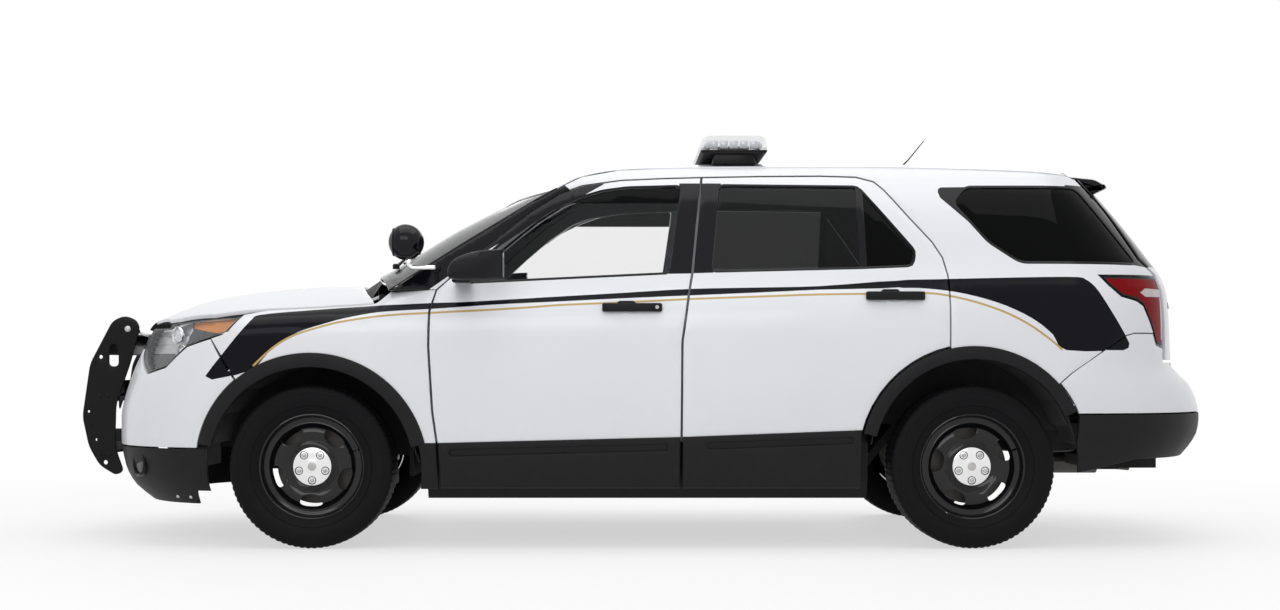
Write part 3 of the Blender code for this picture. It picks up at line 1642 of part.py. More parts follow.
# Mirror head: (along, height) from its middle
mirror_rows = ((-0.10, -0.05), (0.02, -0.06), (0.135, -0.055), (0.13, 0.075), (0.0, 0.062), (-0.10, 0.015))
mirror_y = (half_width * 1.03, half_width * 1.15)
mirror_round = 0.02
mirror_foot_half = 0.04
mirror_foot_z = (-0.012, 0.014)


def make_mirrors():
    """Door mirrors: a head on a foot that stands at the window's front corner."""
    for side, hand in ((-1, "left"), (1, "right")):
        x, z = cab(0.085), up(0.698)
        foot_x, foot_z = cab(0.062), up(0.668)
        low, high = mirror_foot_z
        y = flank_y(foot_x, foot_z + low) + seat_gap * 8
        profile = [(x + a, z + b) for a, b in mirror_rows]
        head = prism(f"mirror_{hand}", rounded(profile, mirror_round, 1), *mirror_y, paint="black_plastic", flip=side)
        near = (foot_x - mirror_foot_half, y, foot_z + low)
        far = (foot_x + mirror_foot_half, mirror_y[0] + mirror_round, foot_z + high)
        combine(head, [box("foot", near, far, flip=side)])


muffler_x = rear_axle_x + 0.68
muffler_y = half_width * 0.42
muffler_z = 0.31
muffler_half = 0.19
muffler_radius = 0.06
tail_pipe = (0.15, 0.36)
tail_pipe_drop = 0.02
tail_pipe_radius = 0.028
hanger_x = (-0.10, 0.08)
hanger_radius = 0.006
hitch_length = 0.30
hitch_z = (0.30, 0.36)
hitch_half = 0.035
hitch_wall = 0.008
hitch_bore_length = 0.20
cross_x = (0.36, 0.25)
cross_bar_half = half_width * 0.30
bracket_width = 0.04


def make_rear_fittings():
    x, y, z = muffler_x, muffler_y, muffler_z
    half, radius = muffler_half, muffler_radius
    can = turned("exhaust", [(-half, 0.001), (-half, radius), (half, radius), (half, 0.001)], (x, y, z), 16, "x", "bare_steel")
    start, end = tail_pipe
    parts = [rod("pipe", (x + start, y, z), (x + end, y, z - tail_pipe_drop), tail_pipe_radius, 12)]
    for reach in hanger_x:
        foot = (x + reach, y, z + radius / 2)
        parts.append(rod("hanger", foot, (x + reach, y, kick_z - seat_gap), hanger_radius, 6))
    combine(can, parts)
    low, high = hitch_z
    tail = tail_at(high)
    profile = [(tail - hitch_length, low), (tail, low), (tail, high), (tail - hitch_length, high)]
    hitch = prism("hitch", profile, -hitch_half, hitch_half, paint="chassis_black")
    wall = hitch_wall
    start, end = tail - hitch_bore_length, tail + wall
    profile = [(start, low + wall), (end, low + wall), (end, high - wall), (start, high - wall)]
    bore = prism("bore", profile, wall - hitch_half, hitch_half - wall)
    combine(hitch, [bore], "DIFFERENCE")
    front, back = tail - cross_x[0], tail - cross_x[1]
    parts = [box("cross", (front, -cross_bar_half, low + wall), (back, cross_bar_half, high))]
    for side in (-1, 1):
        near = (front + wall, cross_bar_half - bracket_width, high - wall)
        parts.append(box("bracket", near, (back - wall, cross_bar_half, kick_z - seat_gap), flip=side))
    combine(hitch, parts)


cowl_half = half_width * 0.70
cowl_thickness = 0.004
cowl_drop = 0.020
plenum_front = 0.137
plenum_height = 0.03
plenum_half = half_width * 0.76
stay_reach = 0.05
bonnet_axis = (bulkhead_x - 0.137, up(0.632184))
bonnet_hinge_y = half_width * 0.74
bonnet_arm_half = 0.004
bonnet_ear_gap = 0.007
bonnet_ear_width = 0.006
bonnet_eye_radius = 0.009
bonnet_pin_radius = 0.0036
bonnet_hole_radius = 0.0045
# Bonnet hinge arm's section, from its axis: (along, height)
bonnet_arm_rows = ((-0.080, -0.036), (0.002, -0.0075), (0.001, 0.0075), (-0.055, -0.014))
bonnet_ear_rows = ((-0.010, 0.008), (0.010, 0.008), (0.014, -0.060), (-0.014, -0.060))


def make_cowl():
    """Black panel between bonnet and windscreen, on the air box that carries the bonnet hinges."""
    rear_x, side_x, side_y = bonnet_rear()
    front = [(x + rim_gap, y) for x, y in curve_points(rear_x, side_x, side_y)]
    back_side = edge_y(edge_stations[0])
    back = [(x - seam_gap, y) for x, y in curve_points(cab(screen_base_share), edge_stations[0], back_side)]
    half = front + back[::-1]
    loop = [(x, -y) for x, y in half[:5]][::-1] + [(x, y) for x, y in half[1:]] + [(x, -y) for x, y in back[1:]]
    flat, faces = fill(loop, [], top_step, top_step)

    def outer(x, y):
        near = rear_x + (side_x - rear_x) * (abs(y) / side_y) ** 2
        far = cab(screen_base_share) + (edge_stations[0] - cab(screen_base_share)) * (abs(y) / back_side) ** 2
        t = min(1.0, max(0.0, (x - near) / (far - near)))
        low = bonnet_z(near, y) - cowl_drop
        high = roof_z(far, y) - glass_thickness - rim_gap
        return x, y, low + (high - low) * t

    def under(x, y):
        return x, y, outer(x, y)[2] - cowl_thickness

    cowl = shell("cowl", flat, faces, outer, under, "black_plastic")
    low = bulkhead_high + seat_gap
    front_x = bulkhead_x - plenum_front - post_size / 2
    parts = [box("plenum", (front_x, -plenum_half, low), (bulkhead_x - dash_gap, plenum_half, low + plenum_height))]
    far = cab(screen_base_share) + (edge_stations[0] - cab(screen_base_share)) * (peg_y / back_side) ** 2
    stay_start, stay_end = far - stay_reach, far - rim_gap
    step_z, half_wall = low + plenum_height, cowl_thickness / 2
    stay = [(stay_start, low), (front_x + post_size, low), (front_x + post_size, step_z), (stay_end, step_z)]
    stay += [(a, outer(a, peg_y + peg_width / 2)[2] - half_wall) for a in (stay_end, stay_start)]
    x, z = bonnet_axis
    for side in (-1, 1):
        parts.append(prism("stay", stay, peg_y, peg_y + peg_width, flip=side))
        for start in (bonnet_arm_half + bonnet_ear_gap, -bonnet_arm_half - bonnet_ear_gap - bonnet_ear_width):
            y = bonnet_hinge_y + start
            ear = [(x + a, z + b) for a, b in bonnet_ear_rows]
            parts.append(prism("ear", ear, y, y + bonnet_ear_width, flip=side))
        reach = bonnet_arm_half + bonnet_ear_gap + bonnet_ear_width / 2
        near_y, far_y = side * (bonnet_hinge_y - reach), side * (bonnet_hinge_y + reach)
        parts.append(rod("pin", (x, near_y, z), (x, far_y, z), bonnet_pin_radius, 8))
    return combine(cowl, parts)


def curve_points(front_x, side_x, side_y):
    """Points of a bowed edge out to the cowl's end."""
    shares = [k / 4 * cowl_half / side_y for k in range(5)]
    return [(front_x + (side_x - front_x) * t**2, side_y * t) for t in shares]


def make_bonnet_hinges(bonnet):
    x, z = bonnet_axis
    for side in (-1, 1):
        low_y, high_y = bonnet_hinge_y - bonnet_arm_half, bonnet_hinge_y + bonnet_arm_half
        arm = prism("arm", [(x + a, z + b) for a, b in bonnet_arm_rows], low_y, high_y, flip=side)
        eye = rod("eye", (x, side * low_y, z), (x, side * high_y, z), bonnet_eye_radius, 10)
        hole = rod("hole", (x, side * (low_y - seam_gap), z), (x, side * (high_y + seam_gap), z), bonnet_hole_radius, 10)
        combine(bonnet, [arm, eye])
        combine(bonnet, [hole], "DIFFERENCE")


door_hinge_back = {"front": 0.080647, "rear": 0.076502}
door_hinge_y = half_width * 0.975
door_hinge_shares = (0.3825, 0.5465)
door_axis_rows = {"front": front_line[2][0], "rear": b_line[4][0]}
pocket_half_height = 0.025
pocket_depth = 0.12
pocket_cover = 0.013
pocket_back = 0.018
pocket_front = 0.09
hinge_pin_radius = 0.004
hinge_hole_radius = 0.0048
hinge_eye_radius = 0.008
hinge_arm_half_height = 0.018
hinge_arm_half_width = 0.006
hinge_foot = (-0.038, -0.097)


def door_axis(which):
    return door_axis_rows[which] + door_hinge_back[which]


def make_door_hinges(door, which, side):
    """Two pockets in the door's front edge, each with its pin."""
    x, y = door_axis(which), door_hinge_y
    for share in door_hinge_shares:
        z = up(share)
        near = (x - pocket_front, y - pocket_depth, z - pocket_half_height)
        far = (x + pocket_back, y + pocket_cover, z + pocket_half_height)
        combine(door, [box("pocket", near, far, flip=side)], "DIFFERENCE")
    for share in door_hinge_shares:
        z, reach = up(share), pocket_half_height + hinge_pin_radius
        combine(door, [rod("pin", (x, side * y, z - reach), (x, side * y, z + reach), hinge_pin_radius, 8)])


def hinge_lugs(which, side):
    """The fixed halves of a door's hinges, from the pillar out to the pins, with the tools that bore them."""
    x, y = door_axis(which), door_hinge_y
    along, out = hinge_foot
    length = math.hypot(along, out)
    across = (-out / length * hinge_arm_half_width, along / length * hinge_arm_half_width)
    loop = [(x + across[0], y + across[1]), (x + along + across[0], y + out + across[1])]
    loop += [(x + along - across[0], y + out - across[1]), (x - across[0], y - across[1])]
    lugs, holes = [], []
    for share in door_hinge_shares:
        z, half = up(share), hinge_arm_half_height
        lugs.append(prism("arm", loop, z - half, z + half, "z", flip=side))
        lugs.append(rod("eye", (x, side * y, z - half), (x, side * y, z + half), hinge_eye_radius, 10))
        holes.append(rod("hole", (x, side * y, z - half - seam_gap), (x, side * y, z + half + seam_gap), hinge_hole_radius, 10))
    return lugs, holes


gate_axis = (edge_stations[-1] + 0.016, edge_z(edge_stations[-1]) + 0.015)
gate_hinge_y = half_width * 0.45
gate_lug_half = 0.009
gate_notch_half = 0.016
gate_notch = (0.020, 0.022)
gate_ear_width = 0.006
gate_eye_radius = 0.008
gate_pin_radius = 0.0036
gate_hole_radius = 0.0045
# Section of a liftgate hinge ear, from its axis: (along, height)
gate_ear_rows = ((-0.006, -0.020), (-0.007, 0.0), (-0.005, 0.005), (0.0, 0.007), (0.006, 0.005), (0.034, -0.014), (0.030, -0.024))


def make_gate_hinges(gate, roof):
    x, z = gate_axis
    back, drop = gate_notch
    eye, root = gate_eye_radius, edge_stations[-1] - seam_gap
    for side in (-1, 1):
        y = gate_hinge_y
        near = (x - back, y - gate_notch_half, z - drop)
        combine(gate, [box("notch", near, (x + back, y + gate_notch_half, z + drop), flip=side)], "DIFFERENCE")
        ears = []
        for start in (y + gate_notch_half, y - gate_notch_half - gate_ear_width):
            rows = [(x + a, z + b) for a, b in gate_ear_rows]
            ears.append(prism("ear", rows, start, start + gate_ear_width, flip=side))
        reach = gate_notch_half + gate_ear_width / 2
        ears.append(rod("pin", (x, side * (y - reach), z), (x, side * (y + reach), z), gate_pin_radius, 8))
        combine(gate, ears)
        near_y, far_y = y - gate_lug_half, y + gate_lug_half
        lug = box("lug", (root, near_y, z - eye * 0.9), (x, far_y, z + eye / 2), flip=side)
        round_end = rod("eye", (x, side * near_y, z), (x, side * far_y, z), eye, 10)
        bore = rod("hole", (x, side * (near_y - seam_gap), z), (x, side * (far_y + seam_gap), z), gate_hole_radius, 10)
        combine(roof, [lug, round_end])
        combine(roof, [bore], "DIFFERENCE")


# Door handles: (start, end, height) as cabin and height shares
handle_rows = {"front": (0.319, 0.429, 0.600), "rear": (0.803, 0.911, 0.629)}
handle_half_height = 0.013
handle_stand = 0.034
handle_shoulder = 0.022
handle_wall = 0.016
handle_end = 0.03
handle_root = 0.01


def make_handle(which, side):
    """A pull handle that bridges a space for the fingers."""
    start, end, share = handle_rows[which]
    a, b, z = cab(start), cab(end), up(share)
    y = flank_y((a + b) / 2, z)
    foot, stand = y - handle_root, y + handle_stand
    loop = [(a, foot), (a, y + handle_shoulder), (a + handle_end / 2, stand), (b - handle_end / 2, stand)]
    loop += [(b, y + handle_shoulder), (b, foot), (b - handle_end, foot), (b - handle_end, y + handle_wall)]
    loop += [(a + handle_end, y + handle_wall), (a + handle_end, foot)]
    return prism("handle", loop, z - handle_half_height, z + handle_half_height, "z", flip=side)


lamp_peg_reach = 0.16


def make_pegs():
    """Pegs behind the bumpers, skirts, grille and lamps, which seat them on the frame."""
    beam_face = rail_nose - beam_depth[0] - seat_gap
    core_face = radiator_x() - seat_gap
    rear_face = rear_floor_x() + seat_gap
    # (node, peg height share, its half height, distance from the centre line, face that it meets)
    rows = (
        ("front_bumper", 0.282, peg_width / 2, peg_y, beam_face),
        ("front_skirt", 0.237, peg_width / 4, peg_y, core_face),
        ("rear_bumper", 0.402, peg_width / 2, peg_y, rear_face),
        ("rear_skirt", 0.296, peg_width / 4, peg_y, rear_face),
    )
    for name, share, half, y, face in rows:
        pegs = []
        is_front = name.startswith("front")
        point, plan = (nose_point, front_plan) if is_front else (tail_point, rear_plan)
        z = up(share)
        skin = point(end_front(y + peg_width, z, plan), z, cover_thickness / 2).x
        for side in (-1, 1):
            near = (min(face, skin), y, z - half)
            pegs.append(box("peg", near, (max(face, skin), y + peg_width, z + half), flip=side))
        combine(bpy.data.objects[name], pegs)
    z = up(0.44)
    bar_half_width = 0.009
    skin = nose_point(bar_half_width, z, cover_thickness / 2).x
    near = (skin, -bar_half_width, z - peg_width / 2)
    combine(bpy.data.objects["grille"], [box("peg", near, (core_face, bar_half_width, z + peg_width / 2))])
    z, x, y = up(0.517), radiator_x() + rim_gap, radiator_half + seat_gap
    for side, hand in ((-1, "left"), (1, "right")):
        far = (x + radiator_thickness - 2 * rim_gap, y + lamp_peg_reach, z + peg_width / 3)
        peg = box("peg", (x, y, z - peg_width / 3), far, flip=side)
        combine(bpy.data.objects[f"headlamp_{hand}"], [peg])


def hang_on(name, place, members):
    """Puts an empty on a joint's axis and hangs the pieces that move on it."""
    pivot = bpy.data.objects.new(name, None)
    pivot.location = place
    bpy.context.scene.collection.objects.link(pivot)
    for member in members:
        obj = bpy.data.objects[member]
        obj.parent = pivot
        obj.matrix_parent_inverse = Matrix.Translation(place).inverted()
    return pivot


def make_pivots():
    door_z = up(door_hinge_shares[1])
    hang_on("pivot_liftgate", (gate_axis[0], 0.0, gate_axis[1]), ["liftgate", "glass_rear"])
    hang_on("pivot_bonnet", (bonnet_axis[0], 0.0, bonnet_axis[1]), ["bonnet"])
    for side, hand in ((-1, "left"), (1, "right")):
        y = side * door_hinge_y
        front = [f"door_front_{hand}", f"glass_front_{hand}", f"mirror_{hand}"]
        hang_on(f"pivot_door_front_{hand}", (door_axis("front"), y, door_z), front)
        rear = [f"door_rear_{hand}", f"glass_rear_{hand}"]
        hang_on(f"pivot_door_rear_{hand}", (door_axis("rear"), y, door_z), rear)
        steer = hang_on(f"pivot_steer_{hand}", (front_axle_x, side * king_pin_y, tyre_radius), [f"knuckle_{hand}"])
        for x, place in ((front_axle_x, "front"), (rear_axle_x, "rear")):
            wheel = [f"tyre_{place}_{hand}", f"rim_{place}_{hand}"]
            roll = hang_on(f"pivot_wheel_{place}_{hand}", (x, side * track / 2, tyre_radius), wheel)
            if place == "front":
                roll.parent = steer
                roll.matrix_parent_inverse = Matrix.Translation(steer.location).inverted()


def clear_scene():
    for obj in list(bpy.data.objects):
        bpy.data.objects.remove(obj, do_unlink=True)


def main():
    clear_scene()
    make_screen_and_roof()
    make_bonnet()
    make_front()
    make_tail()
    for side, hand in ((-1, "left"), (1, "right")):
        make_fender(side, hand)
        make_body_side(side, hand)
        for which in ("front", "rear"):
            make_door(which, side, hand)
    make_wheels()
    make_running_gear()
    make_floor()
    make_front_frame()
    make_inside()
    make_outside()
    make_cowl()
    make_pegs()
    make_bonnet_hinges(bpy.data.objects["bonnet"])
    make_gate_hinges(bpy.data.objects["liftgate"], bpy.data.objects["roof"])
    bpy.context.view_layer.update()
    make_pivots()


main()
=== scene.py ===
# Police patrol car: the looks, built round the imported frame. Metres, nose towards -X, left side towards -Y.
import json
import math

import bmesh
import bpy
import numpy as np
from mathutils import Matrix, Vector, geometry


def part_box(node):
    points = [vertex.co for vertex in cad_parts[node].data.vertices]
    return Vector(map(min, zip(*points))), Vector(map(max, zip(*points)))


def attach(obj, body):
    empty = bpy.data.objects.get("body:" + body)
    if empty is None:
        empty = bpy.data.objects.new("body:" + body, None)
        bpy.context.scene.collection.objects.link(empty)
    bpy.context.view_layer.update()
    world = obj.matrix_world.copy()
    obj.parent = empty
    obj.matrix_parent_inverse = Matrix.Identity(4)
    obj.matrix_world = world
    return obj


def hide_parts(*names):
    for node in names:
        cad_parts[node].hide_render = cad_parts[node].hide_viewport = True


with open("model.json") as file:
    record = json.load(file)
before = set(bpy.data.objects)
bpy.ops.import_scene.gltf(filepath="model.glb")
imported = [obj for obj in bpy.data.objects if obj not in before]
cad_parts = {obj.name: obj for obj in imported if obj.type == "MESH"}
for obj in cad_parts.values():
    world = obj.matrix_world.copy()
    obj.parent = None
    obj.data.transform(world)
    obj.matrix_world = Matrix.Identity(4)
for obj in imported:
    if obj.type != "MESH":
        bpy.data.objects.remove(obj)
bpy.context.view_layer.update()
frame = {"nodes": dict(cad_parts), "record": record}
nodes = frame["nodes"]
sides = ((-1, "left"), (1, "right"))
print("frame loaded:", len(nodes), "nodes")

wheelbase = 2.86
track = 1.702
frontOverhang = 0.98
rearOverhang = 1.165
pushStandoff = 0.165
bodyWidth = 2.0
bodyHeight = 1.74
tyreRadius = 0.355
tyreWidth = 0.245
rimRadius = 0.2286
rimDish = 0.035
rimSlotCount = 5
beadGap = 0.0005
frontArchGap = 0.09
rearArchGap = 0.075
frontArchDrop = 0.014
rearArchRise = 0.035
flareWidth = 0.062
flareStand = 0.012
linerThickness = 0.008
linerGap = 0.012
doorThickness = 0.10
coverThickness = 0.022
roofThickness = 0.035
bonnetThickness = 0.014
gateThickness = 0.06
glassThickness = 0.005
glassInset = 0.006
shutGap = 0.010
rimGap = 0.006
seamGap = 0.003
lampGap = 0.004
seatGap = 0.0003
pillarWidth = 0.13
pillarDepth = 0.06
arcSteps = 9
rearEndX = (pushStandoff + frontOverhang + wheelbase + rearOverhang) / 2
rearAxleX = rearEndX - rearOverhang
frontAxleX = rearAxleX - wheelbase
noseX = frontAxleX - frontOverhang
halfWidth = bodyWidth / 2
frontArchZ = tyreRadius - frontArchDrop
rearArchZ = tyreRadius + rearArchRise
frontOpening = tyreRadius + frontArchGap
rearOpening = tyreRadius + rearArchGap
frontFlare = frontOpening + flareWidth
rearFlare = rearOpening + flareWidth
cabinStartX = frontAxleX + frontFlare
cabinLength = rearAxleX - cabinStartX


# x of a share of the cabin, from the front arch's rear edge to the rear axle
def cab(share):
    return cabinStartX + share * cabinLength


# x of a share of the front overhang, ahead of the front axle
def fore(share):
    return frontAxleX - share * frontOverhang


# x of a share of the rear overhang, behind the rear axle
def aft(share):
    return rearAxleX + share * rearOverhang


def up(share):
    return share * bodyHeight


# A smooth curve through rows of (place, value), held flat beyond its ends
def smooth(table, t):
    if t <= table[0][0]:
        return table[0][1]
    if t >= table[-1][0]:
        return table[-1][1]
    k = next(i for i in range(len(table) - 1) if t <= table[i + 1][0])
    (a, va), (b, vb) = table[k], table[k + 1]
    step = (vb - va) / (b - a)
    before = (va - table[k - 1][1]) / (a - table[k - 1][0]) if k else step
    after = (table[k + 2][1] - vb) / (table[k + 2][0] - b) if k + 2 < len(table) else step
    slopeA = 0.0 if before * step <= 0 else 2 * before * step / (before + step)
    slopeB = 0.0 if after * step <= 0 else 2 * after * step / (after + step)
    s = (t - a) / (b - a)
    return (va * (1 + 2 * s) * (1 - s) ** 2 + vb * s * s * (3 - 2 * s) + (b - a) * (slopeA * s * (1 - s) ** 2
        - slopeB * s * s * (1 - s)))


flankShares = ((0.115, 0.905), (0.172, 0.955), (0.259, 0.980), (0.345, 0.992), (0.414, 0.999), (0.471, 1.000),
    (0.529, 0.999), (0.575, 0.990), (0.609, 0.970), (0.644, 0.934), (0.684, 0.896), (0.805, 0.802), (0.908, 0.713),
    (0.943, 0.668), (0.966, 0.620), (0.977, 0.575))
noseShares = ((0.098, 0.830), (0.150, 0.940), (0.195, 0.980), (0.264, 1.000), (0.322, 1.000), (0.374, 0.980),
    (0.431, 0.944), (0.489, 0.898), (0.546, 0.847), (0.575, 0.811), (0.592, 0.776))
tailShares = ((0.144, 0.824), (0.201, 0.893), (0.241, 0.953), (0.287, 0.994), (0.322, 1.000), (0.356, 0.991),
    (0.402, 0.961), (0.434, 0.912), (0.454, 0.882), (0.517, 0.876), (0.632, 0.867), (0.690, 0.845), (0.718, 0.815),
    (0.805, 0.717), (0.902, 0.600), (0.943, 0.549), (0.977, 0.498))
frontRoundStart = fore(0.11)
rearRoundStart = aft(0.24)
roundPower = 2.6
frontRoundWidthPower = 3.1
rearRoundWidthPower = 2.92
beltRiseShare = 0.048


def noseAt(z):
    return fore(smooth(noseShares, z / bodyHeight))


def tailAt(z):
    return aft(smooth(tailShares, z / bodyHeight))


# How far the shoulder stands above its height amidships, as the belt rises towards the tail
def beltLift(x, z):
    low, high = up(0.52), up(0.92)
    weight = max(0.0, 1 - abs(2 * (z - low) / (high - low) - 1) ** 3)
    middleShare = 0.5
    return weight * beltRiseShare * bodyHeight * ((x - cab(0)) / cabinLength - middleShare)


# Half width of the full section, before the nose and tail round it off
def sectionWidth(x, z):
    return halfWidth * smooth(flankShares, (z - beltLift(x, z)) / bodyHeight)


def flankY(x, z):
    width = sectionWidth(x, z)
    if x < frontRoundStart:
        u = min(1.0, (frontRoundStart - x) / (frontRoundStart - noseAt(z)))
        return width * (1 - u**roundPower) ** (1 / frontRoundWidthPower)
    if x > rearRoundStart:
        u = min(1.0, (x - rearRoundStart) / (tailAt(z) - rearRoundStart))
        return width * (1 - u**roundPower) ** (1 / rearRoundWidthPower)
    return width


edgeShares = ((-0.075, 0.645), (0.022, 0.733), (0.098, 0.799), (0.233, 0.911), (0.279, 0.943), (0.349, 0.962),
    (0.417, 0.967), (0.608, 0.970), (0.821, 0.970), (0.991, 0.965), (1.140, 0.956), (1.225, 0.946))
crownShares = ((-0.130, 0.683), (-0.108, 0.703), (-0.024, 0.776), (0.025, 0.817), (0.086, 0.860), (0.125, 0.887),
    (0.212, 0.945), (0.268, 0.967), (0.353, 0.984), (0.438, 0.994), (0.608, 1.000), (0.821, 1.000), (0.991, 0.995),
    (1.140, 0.984), (1.225, 0.971))
crownPower = 2.3


def edgeZ(x):
    return up(smooth(edgeShares, (x - cabinStartX) / cabinLength))


def crownZ(x):
    return up(smooth(crownShares, (x - cabinStartX) / cabinLength))


def edgeY(x):
    return flankY(x, edgeZ(x))


# Windscreen and roof, as one height over the plan
def roofZ(x, y):
    return crownZ(x) - (crownZ(x) - edgeZ(x)) * min(1.0, abs(y) / edgeY(x)) ** crownPower


bonnetLineShares = ((-0.010, 0.647), (0.105, 0.643), (0.170, 0.610), (0.300, 0.602), (0.520, 0.592), (0.760, 0.576),
    (0.890, 0.563))
bonnetCrownShares = ((0.190, 0.668), (0.310, 0.670), (0.420, 0.666), (0.560, 0.654), (0.660, 0.642), (0.750, 0.624),
    (0.815, 0.604), (0.865, 0.575))
bonnetPower = 2.6
bonnetFullShare = 0.80
shoulderHeight = 0.085
shoulderTuck = 0.10
frontLength = cabinStartX - noseX


# x of a share of the front end, from the cabin start to the nose
def ahead(share):
    return cabinStartX - share * frontLength


def bonnetLineZ(x):
    return up(smooth(bonnetLineShares, (cabinStartX - x) / frontLength))


def bonnetCrownZ(x):
    return up(smooth(bonnetCrownShares, (cabinStartX - x) / frontLength))


# How far the front's shoulder is rolled in under the bonnet line, fading out at the cabin
def rollIn(x, z):
    rise = min(1.0, max(0.0, 1 - (bonnetLineZ(x) - z) / shoulderHeight))
    fade = min(1.0, max(0.0, (cab(0) - x) / (frontLength / 6)))
    return fade * shoulderTuck * (1 - math.sqrt(1 - rise**2))


# Fender skin: the flank, rolled in at its shoulder
def wingY(x, z):
    return flankY(x, z) - rollIn(x, z)


def bonnetEdgeY(x):
    return wingY(x, bonnetLineZ(x))


def bonnetZ(x, y):
    share = min(1.0, abs(y) / bonnetEdgeY(max(x, ahead(bonnetFullShare))))
    return bonnetCrownZ(x) - (bonnetCrownZ(x) - bonnetLineZ(x)) * share**bonnetPower


# Rows of (arc length, width share, length share) round a quarter of the plan, from its tip to its side
def planTable(widthPower):
    length = frontOverhang - (frontAxleX - frontRoundStart)
    count = 90
    rows, s, last = [], 0.0, None
    for k in range(count + 1):
        a = math.pi / 2 * k / count
        y = math.sin(a) ** (2 / widthPower)
        u = math.cos(a) ** (2 / roundPower) if k < count else 0.0
        here = Vector((y * halfWidth, u * length))
        s += (here - last).length if last else 0.0
        rows.append((s, y, u))
        last = here
    return rows


frontPlan = planTable(frontRoundWidthPower)
rearPlan = planTable(rearRoundWidthPower)


# Reads a column of a plan table where another column has a value
def along(rows, column, value, want):
    for a, b in zip(rows, rows[1:]):
        low, high = sorted((a[column], b[column]))
        if low <= value <= high and high > low:
            t = (value - a[column]) / (b[column] - a[column])
            return a[want] + t * (b[want] - a[want])
    return rows[-1][want] if abs(value - rows[-1][column]) < abs(value - rows[0][column]) else rows[0][want]


# How much of a wall points back along the car, from none on the side to all of it at the tip
def turnIn(u):
    sideShare, tipShare = 0.45, 0.8
    t = min(1.0, max(0.0, (u - sideShare) / (tipShare - sideShare)))
    return t * t * (3 - 2 * t)


# A point of the nose's skin, s round the plan from the centre line, moved inward by a wall
def nosePoint(s, z, inward=0.0):
    y, u = along(frontPlan, 0, abs(s), 1), along(frontPlan, 0, abs(s), 2)
    x = frontRoundStart + inward * turnIn(u) - (frontRoundStart - noseAt(z)) * u
    width = sectionWidth(x, z) - rollIn(x, z) - inward
    return Vector((x, math.copysign(y * width, s), z))


def tailPoint(s, z, inward=0.0):
    y, u = along(rearPlan, 0, abs(s), 1), along(rearPlan, 0, abs(s), 2)
    x = rearRoundStart - inward * turnIn(u) + (tailAt(z) - rearRoundStart) * u
    width = sectionWidth(x, z) - inward
    return Vector((x, math.copysign(y * width, s), z))


# Arc length round the nose where the skin is at x
def noseSide(x, z):
    return along(frontPlan, 2, (frontRoundStart - x) / (frontRoundStart - noseAt(z)), 0)


def tailSide(x, z):
    return along(rearPlan, 2, (x - rearRoundStart) / (tailAt(z) - rearRoundStart), 0)


# Arc length round a nose or tail where the skin is y off the centre line
def endFront(y, z, rows):
    start = frontRoundStart if rows is frontPlan else rearRoundStart
    return along(rows, 1, abs(y) / sectionWidth(start, z), 0)


# The loop moved inward by a distance
def inset(loop, by):
    area = sum(a[0] * b[1] - b[0] * a[1] for a, b in zip(loop, loop[1:] + loop[:1]))
    turn = 1 if area > 0 else -1
    made = []
    for k, here in enumerate(loop):
        before = (Vector(here) - Vector(loop[k - 1])).normalized()
        after = (Vector(loop[(k + 1) % len(loop)]) - Vector(here)).normalized()
        normal = Vector((-before.y - after.y, before.x + after.x)).normalized() * turn
        lean = max(0.4, normal.dot(Vector((-before.y, before.x)) * turn))
        made.append(tuple(Vector(here) + normal * by / lean))
    return made


# The loop with its corners rounded. A radius for each corner, or one for all
def rounded(loop, radius, steps=3):
    radii = radius if isinstance(radius, (list, tuple)) else [radius] * len(loop)
    made = []
    for k, r in enumerate(radii):
        here = Vector(loop[k])
        toLast = Vector(loop[k - 1]) - here
        toNext = Vector(loop[(k + 1) % len(loop)]) - here
        r = min(r, toLast.length * 0.48, toNext.length * 0.48)
        if r <= 0:
            made.append(tuple(here))
            continue
        a, b = here + toLast.normalized() * r, here + toNext.normalized() * r
        for i in range(steps + 1):
            t = i / steps
            made.append(tuple(a * (1 - t) ** 2 + here * 2 * t * (1 - t) + b * t**2))
    return made


# Points of an arc in a flat plane, angles in degrees
def arc(centre, radius, start, end, steps=arcSteps):
    turns = [math.radians(start + (end - start) * k / steps) for k in range(steps + 1)]
    return [(centre[0] + radius * math.cos(t), centre[1] + radius * math.sin(t)) for t in turns]


def cabinLine(shares):
    return [(cab(a), up(b)) for a, b in shares]


frontLineShares = ((0.012, 0.645), (0.002, 0.591), (0.001, 0.502), (0.008, 0.341), (0.016, 0.261), (0.020, 0.143))
topLineShares = ((0.012, 0.645), (0.065, 0.710), (0.133, 0.790), (0.184, 0.847), (0.238, 0.895), (0.280, 0.916),
    (0.354, 0.931), (0.430, 0.936), (0.507, 0.939), (0.618, 0.942), (0.732, 0.943), (0.800, 0.940), (0.833, 0.927),
    (0.851, 0.904), (0.895, 0.829), (0.934, 0.766), (0.951, 0.726), (0.958, 0.680))
bLineShares = ((0.507, 0.939), (0.495, 0.799), (0.486, 0.687), (0.479, 0.635), (0.466, 0.514), (0.464, 0.147))
cLineShares = ((0.958, 0.680), (0.958, 0.622), (0.957, 0.502))
frontWindowShares = ((0.069, 0.666), (0.241, 0.677), (0.444, 0.690), (0.467, 0.912), (0.366, 0.908), (0.318, 0.899),
    (0.270, 0.878), (0.222, 0.847), (0.128, 0.758), (0.075, 0.695))
rearWindowShares = ((0.522, 0.694), (0.799, 0.703), (0.892, 0.708), (0.898, 0.742), (0.847, 0.830), (0.800, 0.910),
    (0.540, 0.914))
quarterWindowShares = ((0.010, 0.909), (0.440, 0.909), (0.650, 0.716), (0.190, 0.717), (0.079, 0.769),
    (-0.040, 0.870))
